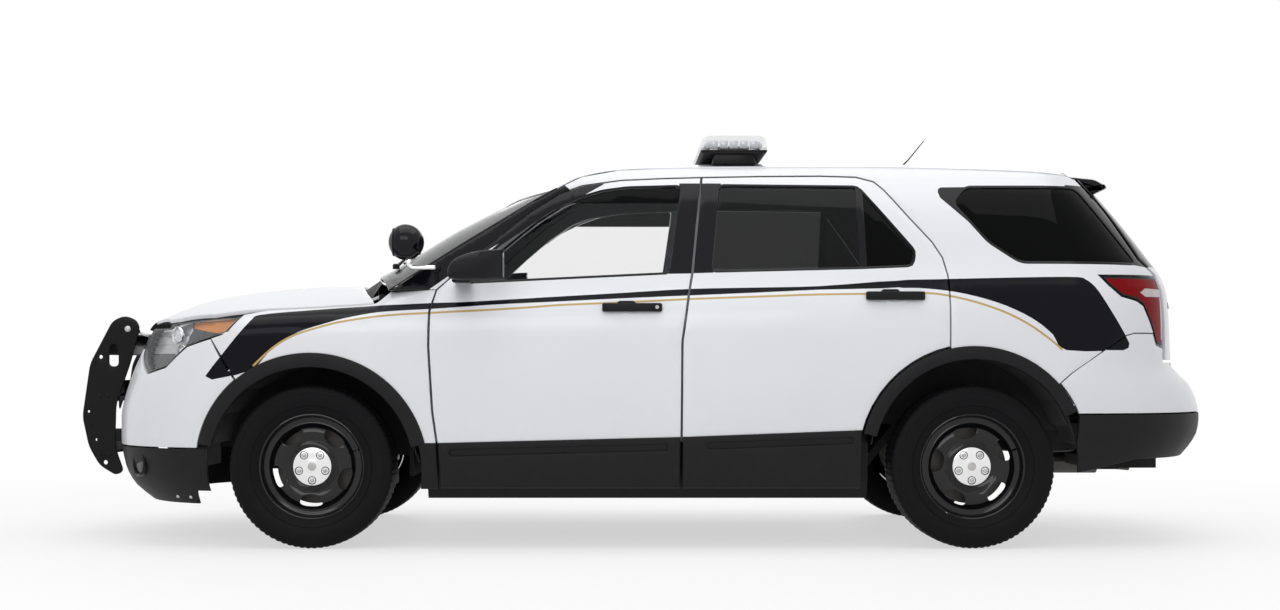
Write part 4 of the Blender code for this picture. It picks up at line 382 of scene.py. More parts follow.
gateLineShares = ((0.455, 0.938), (0.500, 0.905), (0.560, 0.850), (0.668, 0.725), (0.738, 0.684))
gateFootShares = ((0.755, 0.640), (0.760, 0.570), (0.760, 0.500), (0.760, 0.470))
rearBumperLineShares = ((0.704, 0.537), (0.613, 0.537), (0.574, 0.530), (0.489, 0.495), (0.360, 0.437))
lampFrontShares = ((0.478, 0.682), (0.512, 0.656), (0.560, 0.628), (0.627, 0.617), (0.656, 0.605), (0.690, 0.560))
lampFootShares = ((0.720, 0.508), (0.755, 0.500))
lampTailShare = (0.304, 0.583)
lampUnderShares = ((0.371, 0.536), (0.480, 0.517), (0.558, 0.503), (0.606, 0.481), (0.665, 0.451), (0.772, 0.434))
lampInnerShare = 0.52
grilleHalfShare = 0.49
grilleLowShare = 0.385
noseLowShare = 0.249
skirtLowShare = 0.140
lipLowShare = 0.106
doorLowShare = 0.147
frameGap = 0.014
doorEdgeThickness = 0.045
windowEdgeThickness = 0.016
doorEdgeReach = 0.18
beltBlend = 0.045
beltShare = 0.655
frameDepth = 0.045
railThickness = 0.16
edgeLip = glassThickness
frontLine = cabinLine(frontLineShares)
topLine = cabinLine(topLineShares)
bLine = cabinLine(bLineShares)
cLine = cabinLine(cLineShares)
cFootX = cLine[-1][0]
cFootZ = rearArchZ + math.sqrt(rearFlare**2 - (cFootX - rearAxleX) ** 2)
cLine[-1] = (cFootX, cFootZ)
cFootAngle = math.degrees(math.atan2(cFootZ - rearArchZ, cFootX - rearAxleX))
bTop = topLine.index(bLine[0])
frontWheel = (frontAxleX, frontArchZ)
rearWheel = (rearAxleX, rearArchZ)


# Outline and window of each door, as they meet at the shut lines
def doorLoops():
    low = up(doorLowShare)
    front = frontLine[:-1] + [(frontLine[-1][0], low), (bLine[-1][0], low)]
    front += bLine[:-1][::-1] + topLine[1:bTop][::-1]
    flare = arc(rearWheel, rearFlare, cFootAngle, 180 - archFootAngle)
    rear = bLine[:-1] + [(bLine[-1][0], low), (flare[-1][0], low)]
    rear += flare[::-1] + cLine[:-1][::-1] + topLine[bTop + 1 : -1][::-1]
    return {
        "front": (front, rounded(cabinLine(frontWindowShares), 0.02, 2)),
        "rear": (rear, rounded(cabinLine(rearWindowShares), 0.02, 2)),
    }


# Door wall: thin at both ends and by the wheel, whole in the middle, and thin again round its window
def doorWall(x, z, lowX, highX):
    toWheel = math.hypot(x - rearAxleX, z - rearArchZ) - rearFlare
    middle = min(1.0, max(0.0, min(x - lowX, highX - x, toWheel) / doorEdgeReach))
    lower = doorEdgeThickness + (doorThickness - doorEdgeThickness) * middle
    blend = min(1.0, max(0.0, (z - up(beltShare)) / beltBlend))
    return lower + (windowEdgeThickness - lower) * blend


edgeStationShares = ((-0.075, -0.030, 0.020, 0.058, 0.098, 0.143, 0.188, 0.233, 0.279, 0.349, 0.417) + (0.480,
    0.545, 0.608, 0.670, 0.740, 0.821, 0.870, 0.930, 0.991, 1.060, 1.140, 1.205))
edgeStations = [cab(share) for share in edgeStationShares]


# The fixed side round the doors: pillar, roof rail, quarter and arch, as one open ring
def bodySideLoop():
    top = [(x, edgeZ(x) - edgeLip - seatGap) for x in edgeStations]
    gate = [(aft(a), up(b)) for a, b in gateLineShares]
    gate += [(aft(a), up(b)) for a, b in lampFrontShares]
    bumper = [(aft(a), up(b)) for a, b in rearBumperLineShares]
    middle = (rearOpening + rearFlare) / 2
    archEnd = math.degrees(math.atan2(bumper[-1][1] - rearArchZ, bumper[-1][0] - rearAxleX))
    arch = arc(rearWheel, middle, archEnd, cFootAngle)
    return top + gate + bumper + arch + cLine[::-1] + topLine[:-1][::-1]


flareDepth = 0.03
archFootAngle = 13
rearFootAngle = 25
frameStand = 0.055
frameFrontReach = 0.055
frameLowShare = 0.120


# Where the seam between fender and bumper meets the arch
def seamFoot():
    angle = math.radians(130)
    return (frontAxleX + frontFlare * math.cos(angle), frontArchZ + frontFlare * math.sin(angle))


def aroundNose(points):
    return [(noseSide(x, z), z) for x, z in points]


def aroundTail(points):
    return [(tailSide(x, z), z) for x, z in points]


# A whole loop from its half with positive s, listed from one end on the centre line to the other
def bothHalves(half):
    return half + [(-s, z) for s, z in reversed(half) if s > 0]


# A whole loop in plan from its half with positive y, listed from the centre line round to the centre line
def wholeTop(half):
    return [(x, -y) for x, y in half] + [(x, y) for x, y in half[::-1] if y > 0]


def underBonnet(x):
    return bonnetLineZ(x) - bonnetThickness - rimGap


def lampLoop():
    tail = (fore(lampTailShare[0]), underBonnet(fore(lampTailShare[0])))
    topShares = (0.420, 0.540, 0.660)
    top = [(fore(a), underBonnet(fore(a))) for a in topShares]
    under = [(fore(a), up(b)) for a, b in lampUnderShares]
    innerY = lampInnerShare * halfWidth
    high = underBonnet(fore(0.82))
    innerHigh = (endFront(innerY, high, frontPlan), high)
    innerLow = (endFront(innerY, up(0.5), frontPlan), up(0.5))
    corner = (endFront(0.80 * halfWidth, high, frontPlan), high)
    return aroundNose([tail] + top) + [corner, innerHigh, innerLow] + aroundNose(under[::-1])


# Half of the bonnet's outline, from the rear centre by the side to the front centre
def bonnetHalf():
    rim = coverThickness + rimGap
    sideShares = (0.170, 0.235, 0.300, 0.410, 0.520, 0.640, 0.760, 0.820)
    side = [(ahead(a), bonnetEdgeY(ahead(a)) - rim) for a in sideShares]
    rearX, sideX = ahead(0.255), side[0][0]
    rear = [(rearX + (sideX - rearX) * (t / 4) ** 2, side[0][1] * t / 4) for t in range(4)]
    z = up(0.563)
    sCorner = endFront(side[-1][1] - rim, z, frontPlan)
    front = [nosePoint(sCorner * (4 - k) / 4, z) for k in range(5)]
    return rear + side + [(p.x, abs(p.y)) for p in front]


screenBaseShare = -0.128
screenTopShare = 0.125
roofFrontShare = 0.233


# Points from the centre line to the side of an edge that bows forward in plan
def screenCurve(frontX, sideX, sideY, steps=4):
    return [(frontX + (sideX - frontX) * (k / steps) ** 2, sideY * k / steps) for k in range(steps + 1)]


skirtHighShare = 0.335
rearSkirtLowShare = 0.187
rearSkirtNoseShare = 0.220
gateLowShare = 0.470
gateGlassLowShare = 0.712
gateGlassHighShare = 0.888
gateGlassHalfShare = 0.60
gateSideGap = 0.018
spoilerLength = 0.21
spoilerHalfShare = 0.75
spoilerShares = ((0.0, 0.004), (0.72, -0.004), (1.0, -0.026), (0.62, -0.046), (0.30, -0.05), (0.0, -0.05))


# A point of the tail's corner, its wall measured straight across the car
def cornerPoint(s, z, inward=0.0):
    outer = tailPoint(s, z)
    return Vector((outer.x, outer.y - math.copysign(inward, outer.y), z))


def tailLampLoop():
    shares = lampFrontShares + rearBumperLineShares[:1] + lampFootShares
    shares += gateFootShares[:2][::-1] + gateLineShares[-1:]
    return aroundTail([(aft(a), up(b)) for a, b in shares])


# Angle on the rear flare's outer edge at a height
def footRise(z):
    return math.degrees(math.asin((z - rearArchZ) / rearFlare))


# Which of many points lie inside a loop
def insideMany(points, loop):
    x, y = points[:, 0], points[:, 1]
    found = np.zeros(len(points), bool)
    for (ax, ay), (bx, by) in zip(loop, loop[1:] + loop[:1]):
        if ay == by:
            continue
        crosses = ((ay > y) != (by > y)) & (x < (bx - ax) * (y - ay) / (by - ay) + ax)
        found ^= crosses
    return found


def finer(loop, step, isOpen=False):
    made = []
    pairs = zip(loop, loop[1:]) if isOpen else zip(loop, loop[1:] + loop[:1])
    for a, b in pairs:
        parts = max(1, math.ceil(math.dist(a, b) / step))
        made += [(a[0] + (b[0] - a[0]) * k / parts, a[1] + (b[1] - a[1]) * k / parts) for k in range(parts)]
    return made + ([tuple(loop[-1])] if isOpen else [])


# A rounder line through the same points
def curved(loop, parts=4, isOpen=True):
    count = len(loop)
    made = []
    for k in range(count - 1 if isOpen else count):
        pick = [loop[max(0, min(count - 1, k + j)) if isOpen else (k + j) % count] for j in (-1, 0, 1, 2)]
        p = [np.array(q, float) for q in pick]
        for i in range(parts):
            t = i / parts
            a = 2 * p[1] + (p[2] - p[0]) * t
            b = (2 * p[0] - 5 * p[1] + 4 * p[2] - p[3]) * t * t
            c = (3 * p[1] - p[0] - 3 * p[2] + p[3]) * t * t * t
            made.append(tuple(float(v) for v in (a + b + c) / 2))
    return made + ([tuple(loop[-1])] if isOpen else [])


# Fills an outline with holes by fine triangles. Regions give each triangle the number of the last one it lies in
def fillFine(outline, holes, step, regions=()):
    points, edges = [], []
    for loop in [outline, *holes]:
        first, count = len(points), len(loop)
        points += [Vector(p) for p in loop]
        edges += [(first + k, first + (k + 1) % count) for k in range(count)]
    for loop in regions:
        first, count = len(points), len(loop)
        points += [Vector(p) for p in loop]
        edges += [(first + k, first + (k + 1) % count) for k in range(count)]
    rim = np.array([tuple(p) for p in points])
    low, high = rim.min(0), rim.max(0)
    columns = max(1, round((high[0] - low[0]) / step))
    rows = max(1, round((high[1] - low[1]) / (step * 0.87)))
    grid = []
    for j in range(1, rows):
        for i in range(columns + 1):
            shift = 0.5 if j % 2 else 0.0
            grid.append((low[0] + (high[0] - low[0]) * (i + shift) / columns,
                low[1] + (high[1] - low[1]) * j / rows))
    if grid:
        grid = np.array(grid)
        keep = insideMany(grid, outline)
        for hole in holes:
            keep &= ~insideMany(grid, hole)
        grid = grid[keep]
        for start in range(0, len(grid), 400):
            part = grid[start : start + 400]
            far = np.sqrt(((part[:, None, :] - rim[None, :, :]) ** 2).sum(2)).min(1)
            points += [Vector(p) for p in part[far > step * 0.55]]
    flat, _, faces, *_ = geometry.delaunay_2d_cdt(points, edges, [], 0, 1e-7)
    flat = np.array([tuple(v) for v in flat])
    faces = np.array(faces)
    a, b, c = (flat[faces[:, k]] for k in range(3))
    middles = (a + b + c) / 3
    areas = np.abs((b[:, 0] - a[:, 0]) * (c[:, 1] - a[:, 1]) - (b[:, 1] - a[:, 1]) * (c[:, 0] - a[:, 0]))
    keep = insideMany(middles, outline) & (areas > 1e-8)
    for hole in holes:
        keep &= ~insideMany(middles, hole)
    faces, middles = faces[keep], middles[keep]
    tags = np.zeros(len(faces), int)
    for number, loop in enumerate(regions):
        tags[insideMany(middles, loop)] = number + 1
    return flat, faces, tags


# The open borders of a fill, as loops of point numbers that run with its faces
def borders(faces):
    after = {}
    edges = set()
    for face in faces:
        for k in range(3):
            edges.add((int(face[k]), int(face[(k + 1) % 3])))
    for a, b in edges:
        if (b, a) not in edges:
            after.setdefault(a, []).append(b)
    loops = []
    while after:
        start = next(iter(after))
        loop, here = [], start
        while here in after:
            loop.append(here)
            following = after[here].pop()
            if not after[here]:
                del after[here]
            here = following
            if here == start:
                break
        loops.append(loop)
    return loops


def newObject(name, verts, faces, paints, tags=None, sharp=35):
    mesh = bpy.data.meshes.new(name)
    mesh.from_pydata([tuple(v) for v in verts], [], [tuple(f) for f in faces])
    for paint in paints:
        mesh.materials.append(paint)
    if tags is not None:
        mesh.polygons.foreach_set("material_index", np.array(tags, np.int32))
    mesh.shade_smooth()
    mesh.set_sharp_from_angle(angle=math.radians(sharp))
    obj = bpy.data.objects.new(name, mesh)
    bpy.context.scene.collection.objects.link(obj)
    return obj


# A panel with rounded borders and a back. skin(u, v, depth) gives a point, wall(u, v) the depth of the back
def panelMesh(outline, holes, skin, wall, step=0.035, edge=0.003, regions=(), backTag=0, edgeTag=None):
    flat, faces, tags = fillFine(inset(finer(outline, step * 0.6), edge), [inset(finer(hole, step * 0.6), -edge)
        for hole in holes], step, [finer(loop, step) for loop in regions])
    cross = [(flat[f[1]][0] - flat[f[0]][0]) * (flat[f[2]][1] - flat[f[0]][1]) - (flat[f[1]][1] - flat[f[0]][1]) * (
        flat[f[2]][0] - flat[f[0]][0]) for f in faces]
    faces = [tuple(f) if c > 0 else tuple(f[::-1]) for f, c in zip(faces, cross)]
    used = sorted({int(k) for f in faces for k in f})
    place = {k: n for n, k in enumerate(used)}
    verts = [tuple(skin(*flat[k], 0.0)) for k in used]
    count = len(used)
    verts += [tuple(skin(*flat[k], wall(*flat[k]))) for k in used]
    made = [tuple(place[k] for k in f) for f in faces]
    made += [tuple(place[k] + count for k in f[::-1]) for f in faces]
    tagOf = {}
    for f, t in zip(faces, tags):
        for k in range(3):
            tagOf[(f[k], f[(k + 1) % 3])] = int(t)
    tags = [int(t) for t in tags] + [backTag] * len(faces)
    for loop in borders(faces):
        size = len(loop)
        line = np.array([flat[k] for k in loop])
        ahead, behind = np.roll(line, -1, 0) - line, line - np.roll(line, 1, 0)
        ahead /= np.maximum(1e-9, np.linalg.norm(ahead, axis=1))[:, None]
        behind /= np.maximum(1e-9, np.linalg.norm(behind, axis=1))[:, None]
        normal = np.stack([ahead[:, 1] + behind[:, 1], -ahead[:, 0] - behind[:, 0]], 1)
        normal /= np.maximum(1e-9, np.linalg.norm(normal, axis=1))[:, None]
        lean = np.maximum(0.5, (normal * np.stack([ahead[:, 1], -ahead[:, 0]], 1)).sum(1))
        rings = [[place[k] for k in loop]]
        for out, depth in ((0.72, 0.28), (1.0, 1.0)):
            moved = line + normal * (edge * out / lean)[:, None]
            rings.append(list(range(len(verts), len(verts) + size)))
            verts += [tuple(skin(*p, edge * depth)) for p in moved]
        rings.append(list(range(len(verts), len(verts) + size)))
        verts += [tuple(skin(*p, max(edge * 1.3, wall(*q)))) for p, q in zip(moved, line)]
        rings.append([place[k] + count for k in loop])
        for near, far in zip(rings, rings[1:]):
            for k in range(size):
                n = (k + 1) % size
                made.append((near[k], far[k], far[n], near[n]))
                tags.append(tagOf[(loop[k], loop[n])] if edgeTag is None else edgeTag)
    return verts, made, tags


def mirrored(verts, made):
    return [(v[0], -v[1], v[2]) for v in verts], [f[::-1] for f in made]


def flankSkin(x, z, depth):
    return x, -(flankY(x, z) - depth), z


def flankGlass(x, z, depth):
    return flankSkin(x, z, depth + glassInset)


def wingSkin(x, z, depth):
    return x, -(wingY(x, z) - depth), z


def noseSkin(s, z, depth):
    p = nosePoint(s, z, depth)
    return p.x, p.y, z


def tailSkin(s, z, depth):
    p = tailPoint(s, z, depth + 0.0016)
    return p.x, p.y, z


# Draws a flat profile of (u, v) out between two depths, with rounded ends. axis is the direction it is drawn along
def slabMesh(profile, low, high, edge=0.002, axis="y"):
    rows = [(low, edge), (low + edge * 0.3, edge * 0.3), (low + edge, 0.0)]
    rows += [(high - edge, 0.0), (high - edge * 0.3, edge * 0.3), (high, edge)]
    area = sum(a[0] * b[1] - b[0] * a[1] for a, b in zip(profile, profile[1:] + profile[:1]))
    loop = list(profile) if area > 0 else list(profile)[::-1]
    verts, faces = [], []
    size = len(loop)
    for w, by in rows:
        for u, v in inset(loop, by) if by else loop:
            verts.append({"x": (w, u, v), "y": (u, w, v), "z": (u, v, w)}[axis])
    for r in range(len(rows) - 1):
        for k in range(size):
            n = (k + 1) % size
            quad = (r * size + k, r * size + n, (r + 1) * size + n, (r + 1) * size + k)
            faces.append(quad if axis != "y" else quad[::-1])
    ends = [tuple(range(size))[::-1], tuple(range((len(rows) - 1) * size, len(rows) * size))]
    faces += [e if axis != "y" else e[::-1] for e in ends]
    return verts, faces


def circle(radius, count):
    turns = [2 * math.pi * k / count for k in range(count)]
    return [(radius * math.cos(t), radius * math.sin(t)) for t in turns]


nearAxis = 0.0004  # radius of a turned shape where it meets its axis


# Turns a ring profile of (along, radius) round an axis
def latheMesh(profile, centre, segments=48, axis="y", isClosed=True):
    verts, faces = [], []
    size = len(profile)
    for k in range(segments):
        t = 2 * math.pi * k / segments
        for a, r in profile:
            c, s = r * math.cos(t), r * math.sin(t)
            off = {"x": (a, c, s), "y": (c, a, s), "z": (c, s, a)}[axis]
            verts.append(tuple(centre[j] + off[j] for j in range(3)))
    last = size if isClosed else size - 1
    for k in range(segments):
        n = (k + 1) % segments
        for i in range(last):
            j = (i + 1) % size
            faces.append((k * size + i, k * size + j, n * size + j, n * size + i))
    return verts, faces


# A round bar along a line of points
def tubeMesh(points, radius, sidesCount=12, capped=True):
    points = [Vector(p) for p in points]
    verts, faces = [], []
    normal = None
    for k, p in enumerate(points):
        ahead = (points[min(k + 1, len(points) - 1)] - points[max(k - 1, 0)]).normalized()
        if normal is None:
            normal = ahead.orthogonal().normalized()
        normal = (normal - ahead * normal.dot(ahead)).normalized()
        other = ahead.cross(normal)
        r = radius[k] if isinstance(radius, (list, tuple)) else radius
        for i in range(sidesCount):
            t = 2 * math.pi * i / sidesCount
            verts.append(tuple(p + normal * math.cos(t) * r + other * math.sin(t) * r))
    for k in range(len(points) - 1):
        for i in range(sidesCount):
            n = (i + 1) % sidesCount
            faces.append((k * sidesCount + i, k * sidesCount + n, (k + 1) * sidesCount + n,
                (k + 1) * sidesCount + i))
    if capped:
        faces.append(tuple(range(sidesCount))[::-1])
        faces.append(tuple(range((len(points) - 1) * sidesCount, len(points) * sidesCount)))
    return verts, faces


# Joins several meshes of (verts, faces, tag) into one list
def joinMeshes(parts):
    verts, faces, tags = [], [], []
    for v, f, tag in parts:
        start = len(verts)
        verts += list(v)
        faces += [tuple(k + start for k in face) for face in f]
        tags += list(tag) if isinstance(tag, (list, tuple)) else [tag] * len(f)
    return verts, faces, tags


def moved(meshData, matrix):
    verts, faces = meshData
    return [tuple(matrix @ Vector(v)) for v in verts], faces


def boxProfile(low, high, radius=0.004, steps=2):
    loop = [(low[0], low[1]), (high[0], low[1]), (high[0], high[1]), (low[0], high[1])]
    return rounded(loop, radius, steps)


# A rounded block between two corners
def blockMesh(low, high, radius=0.004, edge=0.002):
    v, f = slabMesh(boxProfile((low[0], low[2]), (high[0], high[2]), radius), low[1], high[1], edge)
    return v, f


# A six-sided bolt head on a round flange, standing along an axis
def boltMesh(centre, size, axis="y", way=-1):
    hexagon, rim = circle(size, 6), circle(size * 1.3, 12)
    u, v, w = {"y": (0, 2, 1), "x": (1, 2, 0), "z": (0, 1, 2)}[axis]
    parts = []
    for loop, low, high in ((rim, 0.0, size * 0.25), (hexagon, size * 0.2, size * 0.75)):
        place = [(centre[u] + a, centre[v] + b) for a, b in loop]
        ends = sorted((centre[w] + way * low, centre[w] + way * high))
        parts.append((*slabMesh(place, ends[0], ends[1], size * 0.08, axis), 0))
    return joinMeshes(parts)[:2]


# One named piece from meshes of (verts, faces, tag). A tag counts the names of finishes in coats
def onePiece(name, parts, coats, body, replaced=(), sharp=35):
    verts, faces, tags = joinMeshes(parts)
    obj = newObject(name, verts, faces, [paint[coat] for coat in coats.split()], tags, sharp)
    tidyNormals(obj)
    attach(obj, body)
    if replaced:
        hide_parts(*replaced)
    return obj


def tidyNormals(obj):
    bm = bmesh.new()
    bm.from_mesh(obj.data)
    bmesh.ops.recalc_face_normals(bm, faces=bm.faces)
    bm.to_mesh(obj.data)
    bm.free()


# Colours are linear. grain is a fine bump (scale, height in metres), mottle varies colour and gloss (scale, amount)
finishes = {
    "whitePaint": {"colour": (0.775, 0.785, 0.82), "rough": 0.30, "coat": 0.25, "mottle": (2.5, 0.03),
        "dust": 0.07},
    "blackVinyl": {"colour": (0.004, 0.004, 0.007), "rough": 0.14, "mottle": (3.0, 0.2), "shine": 0.10},
    "goldVinyl": {"colour": (0.50, 0.34, 0.115), "rough": 0.35, "mottle": (8.0, 0.10)},
    "glossBlack": {"colour": (0.004, 0.004, 0.006), "rough": 0.10, "mottle": (4.0, 0.2), "shine": 0.20},
    "blackPlastic": {"colour": (0.009, 0.009, 0.0105), "rough": 0.50, "grain": (900.0, 0.00012),
        "mottle": (9.0, 0.25), "dust": 0.03, "shine": 0.16},
    "rubberSeal": {"colour": (0.005, 0.005, 0.005), "rough": 0.65, "shine": 0.3, "grain": (600.0, 0.0001),
        "mottle": (12.0, 0.2)},
    "tyreRubber": {"colour": (0.005, 0.005, 0.006), "rough": 0.55, "grain": (700.0, 0.00025),
        "mottle": (14.0, 0.35), "dust": 0.012, "shine": 0.09},
    "wheelBlack": {"colour": (0.003, 0.003, 0.004), "rough": 0.07, "coat": 0.15, "mottle": (18.0, 0.3),
        "shine": 0.30},
    "powderBlack": {"colour": (0.005, 0.005, 0.006), "rough": 0.30, "shine": 0.15, "grain": (1300.0, 0.0002),
        "mottle": (10.0, 0.3)},
    "chrome": {"colour": (0.80, 0.80, 0.80), "rough": 0.12, "metal": 1.0, "mottle": (20.0, 0.08)},
    "brushedSteel": {"colour": (0.45, 0.44, 0.43), "rough": 0.38, "metal": 1.0, "grain": (400.0, 0.0002),
        "mottle": (16.0, 0.3)},
    "castIron": {"colour": (0.09, 0.085, 0.08), "rough": 0.5, "metal": 0.8, "grain": (300.0, 0.0004),
        "mottle": (20.0, 0.4)},
    "chassisBlack": {"colour": (0.009, 0.009, 0.009), "rough": 0.7, "grain": (200.0, 0.0006),
        "mottle": (7.0, 0.4), "dust": 0.06, "shine": 0.3},
    "engineAlloy": {"colour": (0.30, 0.30, 0.31), "rough": 0.45, "metal": 0.8, "grain": (260.0, 0.0006),
        "mottle": (9.0, 0.4)},
    "cabinTrim": {"colour": (0.045, 0.046, 0.050), "rough": 0.6, "grain": (800.0, 0.0002), "mottle": (6.0, 0.2)},
    "cabinCarpet": {"colour": (0.030, 0.030, 0.032), "rough": 0.95, "grain": (500.0, 0.0012),
        "mottle": (30.0, 0.4)},
    "jambWhite": {"colour": (0.70, 0.71, 0.73), "rough": 0.4, "mottle": (5.0, 0.06), "dust": 0.1},
    "reflector": {"colour": (0.50, 0.51, 0.52), "rough": 0.30, "metal": 0.6, "grain": (160.0, 0.0003),
        "mottle": (6.0, 0.25)},
    "lampDark": {"colour": (0.03, 0.03, 0.033), "rough": 0.3, "mottle": (20.0, 0.3)},
    "amberPlastic": {"colour": (0.72, 0.24, 0.015), "rough": 0.25, "grain": (260.0, 0.0006), "mottle": (30.0, 0.2)},
    "redPlastic": {"colour": (0.21, 0.0008, 0.003), "rough": 0.14, "shine": 0.05, "grain": (240.0, 0.0008),
        "mottle": (20.0, 0.25)},
    "clearStrip": {"colour": (0.50, 0.46, 0.46), "rough": 0.15, "grain": (300.0, 0.001), "mottle": (25.0, 0.2)},
    "blankPlate": {"colour": (0.72, 0.73, 0.74), "rough": 0.35, "grain": (90.0, 0.0004), "mottle": (12.0, 0.08)},
    "ledClear": {"colour": (0.70, 0.72, 0.75), "rough": 0.18, "metal": 0.3, "grain": (160.0, 0.0015),
        "mottle": (40.0, 0.2)},
}
glasses = {
    "screenGlass": {"colour": (0.03, 0.042, 0.038), "alpha": 0.30, "shine": 0.08, "rough": 0.16},
    "frontGlass": {"colour": (0.02, 0.03, 0.027), "alpha": 0.045, "rough": 0.03},
    "tintedGlass": {"colour": (0.001, 0.0012, 0.0015), "shine": 0.06, "alpha": 0.975, "rough": 0.03},
    "rearDoorGlass": {"colour": (0.003, 0.0035, 0.004), "alpha": 0.62, "rough": 0.03},
    "lampLens": {"colour": (0.70, 0.72, 0.75), "alpha": 0.07, "rough": 0.04},
    "barLens": {"colour": (0.60, 0.62, 0.65), "alpha": 0.22, "rough": 0.05},
    "redLens": {"colour": (0.30, 0.005, 0.007), "alpha": 0.72, "rough": 0.05},
}
dustTone = (0.20, 0.175, 0.145)


def link(tree, a, out, b, into):
    tree.links.new(a.outputs[out], b.inputs[into])


def addNode(tree, kind, **settings):
    made = tree.nodes.new("ShaderNode" + kind)
    for key, value in settings.items():
        setattr(made, key, value)
    return made


# Two shades of a colour, mixed by a cloud of noise
def shades(tree, cloud, colour, darker, lighter):
    tint = addNode(tree, "Mix", data_type="RGBA")
    tint.inputs["A"].default_value = (*[c * darker for c in colour], 1)
    tint.inputs["B"].default_value = (*[min(1, c * lighter) for c in colour], 1)
    link(tree, cloud, "Fac", tint, "Factor")
    return tint


def bareMaterial(name):
    made = bpy.data.materials.new(name)
    made.use_nodes = True
    tree = made.node_tree
    shader = tree.nodes["Principled BSDF"]
    spot = addNode(tree, "TexCoord")
    return made, tree, shader, spot


def noiseNode(tree, spot, scale, detail=3.0):
    made = addNode(tree, "TexNoise")
    made.inputs["Scale"].default_value = scale
    made.inputs["Detail"].default_value = detail
    link(tree, spot, "Object", made, "Vector")
    return made


# A solid finish: base colour with mottling and road dust low down, varied gloss and a fine grain
def solidFinish(name, facts):
    made, tree, shader, spot = bareMaterial(name)
    colour = facts["colour"]
    scale, amount = facts.get("mottle", (5.0, 0.1))
    cloud = noiseNode(tree, spot, scale)
    last = shades(tree, cloud, colour, 1 - amount, 1 + amount)
    if facts.get("dust"):
        split = addNode(tree, "SeparateXYZ")
        link(tree, spot, "Object", split, "Vector")
        fade = addNode(tree, "MapRange")
        fade.inputs["From Min"].default_value = 0.75
        fade.inputs["From Max"].default_value = 0.15
        fade.inputs["To Max"].default_value = facts["dust"] * 1.6
        link(tree, split, "Z", fade, "Value")
        fine = noiseNode(tree, spot, 22.0, 5.0)
        both = addNode(tree, "Math", operation="MULTIPLY")
        link(tree, fade, "Result", both, 0)
        link(tree, fine, "Fac", both, 1)
        dusty = addNode(tree, "Mix", data_type="RGBA")
        dusty.inputs["B"].default_value = (*dustTone, 1)
        link(tree, both, "Value", dusty, "Factor")
        link(tree, last, "Result", dusty, "A")
        last = dusty
    link(tree, last, "Result", shader, "Base Color")
    gloss = addNode(tree, "MapRange")
    gloss.inputs["To Min"].default_value = facts["rough"] * 0.85
    gloss.inputs["To Max"].default_value = min(1.0, facts["rough"] * 1.2)
    link(tree, cloud, "Fac", gloss, "Value")
    link(tree, gloss, "Result", shader, "Roughness")
    shader.inputs["Metallic"].default_value = facts.get("metal", 0.0)
    shader.inputs["Coat Weight"].default_value = facts.get("coat", 0.0)
    shader.inputs["Coat Roughness"].default_value = 0.04
    shader.inputs["Specular IOR Level"].default_value = facts.get("shine", 0.5)
    if facts.get("grain"):
        grainScale, height = facts["grain"]
        grain = noiseNode(tree, spot, grainScale, 2.0)
        bump = addNode(tree, "Bump")
        bump.inputs["Distance"].default_value = height
        bump.inputs["Strength"].default_value = 0.6
        link(tree, grain, "Fac", bump, "Height")
        link(tree, bump, "Normal", shader, "Normal")
    return made


def glassFinish(name, facts):
    made, tree, shader, spot = bareMaterial(name)
    cloud = noiseNode(tree, spot, 3.0)
    link(tree, shades(tree, cloud, facts["colour"], 0.9, 1.1), "Result", shader, "Base Color")
    shader.inputs["Roughness"].default_value = facts["rough"]
    shader.inputs["Alpha"].default_value = facts["alpha"]
    shader.inputs["Specular IOR Level"].default_value = facts.get("shine", 0.18)
    return made


# Woven seat cloth: crossing threads in the bump, and a heathered colour
def clothFinish(name, colour, scale):
    made, tree, shader, spot = bareMaterial(name)
    cloud = noiseNode(tree, spot, 60.0)
    link(tree, shades(tree, cloud, colour, 0.6, 1.5), "Result", shader, "Base Color")
    threads = []
    for direction in ("X", "Z"):
        wave = addNode(tree, "TexWave")
        wave.bands_direction = direction
        wave.inputs["Scale"].default_value = scale
        wave.inputs["Distortion"].default_value = 0.6
        link(tree, spot, "Object", wave, "Vector")
        threads.append(wave)
    weave = addNode(tree, "Math", operation="MULTIPLY")
    link(tree, threads[0], "Fac", weave, 0)
    link(tree, threads[1], "Fac", weave, 1)
    bump = addNode(tree, "Bump")
    bump.inputs["Distance"].default_value = 0.0008
    bump.inputs["Strength"].default_value = 0.6
    link(tree, weave, "Value", bump, "Height")
    link(tree, bump, "Normal", shader, "Normal")
    shader.inputs["Roughness"].default_value = 0.9
    shader.inputs["Sheen Weight"].default_value = 0.25
    return made


paint = {name: solidFinish(name, facts) for name, facts in finishes.items()}
paint.update({name: glassFinish(name, facts) for name, facts in glasses.items()})
paint["seatCloth"] = clothFinish("seatCloth", (0.035, 0.036, 0.040), 220.0)
slotFinish = {
    "white_paint": "whitePaint",
    "black_plastic": "blackPlastic",
    "tinted_glass": "tintedGlass",
    "clear_glass": "frontGlass",
    "lamp_lens": "lampLens",
    "red_lens": "redLens",
    "tyre_rubber": "tyreRubber",
    "black_steel": "wheelBlack",
    "bare_metal": "engineAlloy",
    "chassis_black": "chassisBlack",
    "seat_cloth": "seatCloth",
}
for row in frame["record"]["subparts"]:
    carried = nodes[row["node"]]
    carried.data.materials.clear()
    carried.data.materials.append(paint[slotFinish[row["material_slot"]]])
print("finishes made:", len(paint))


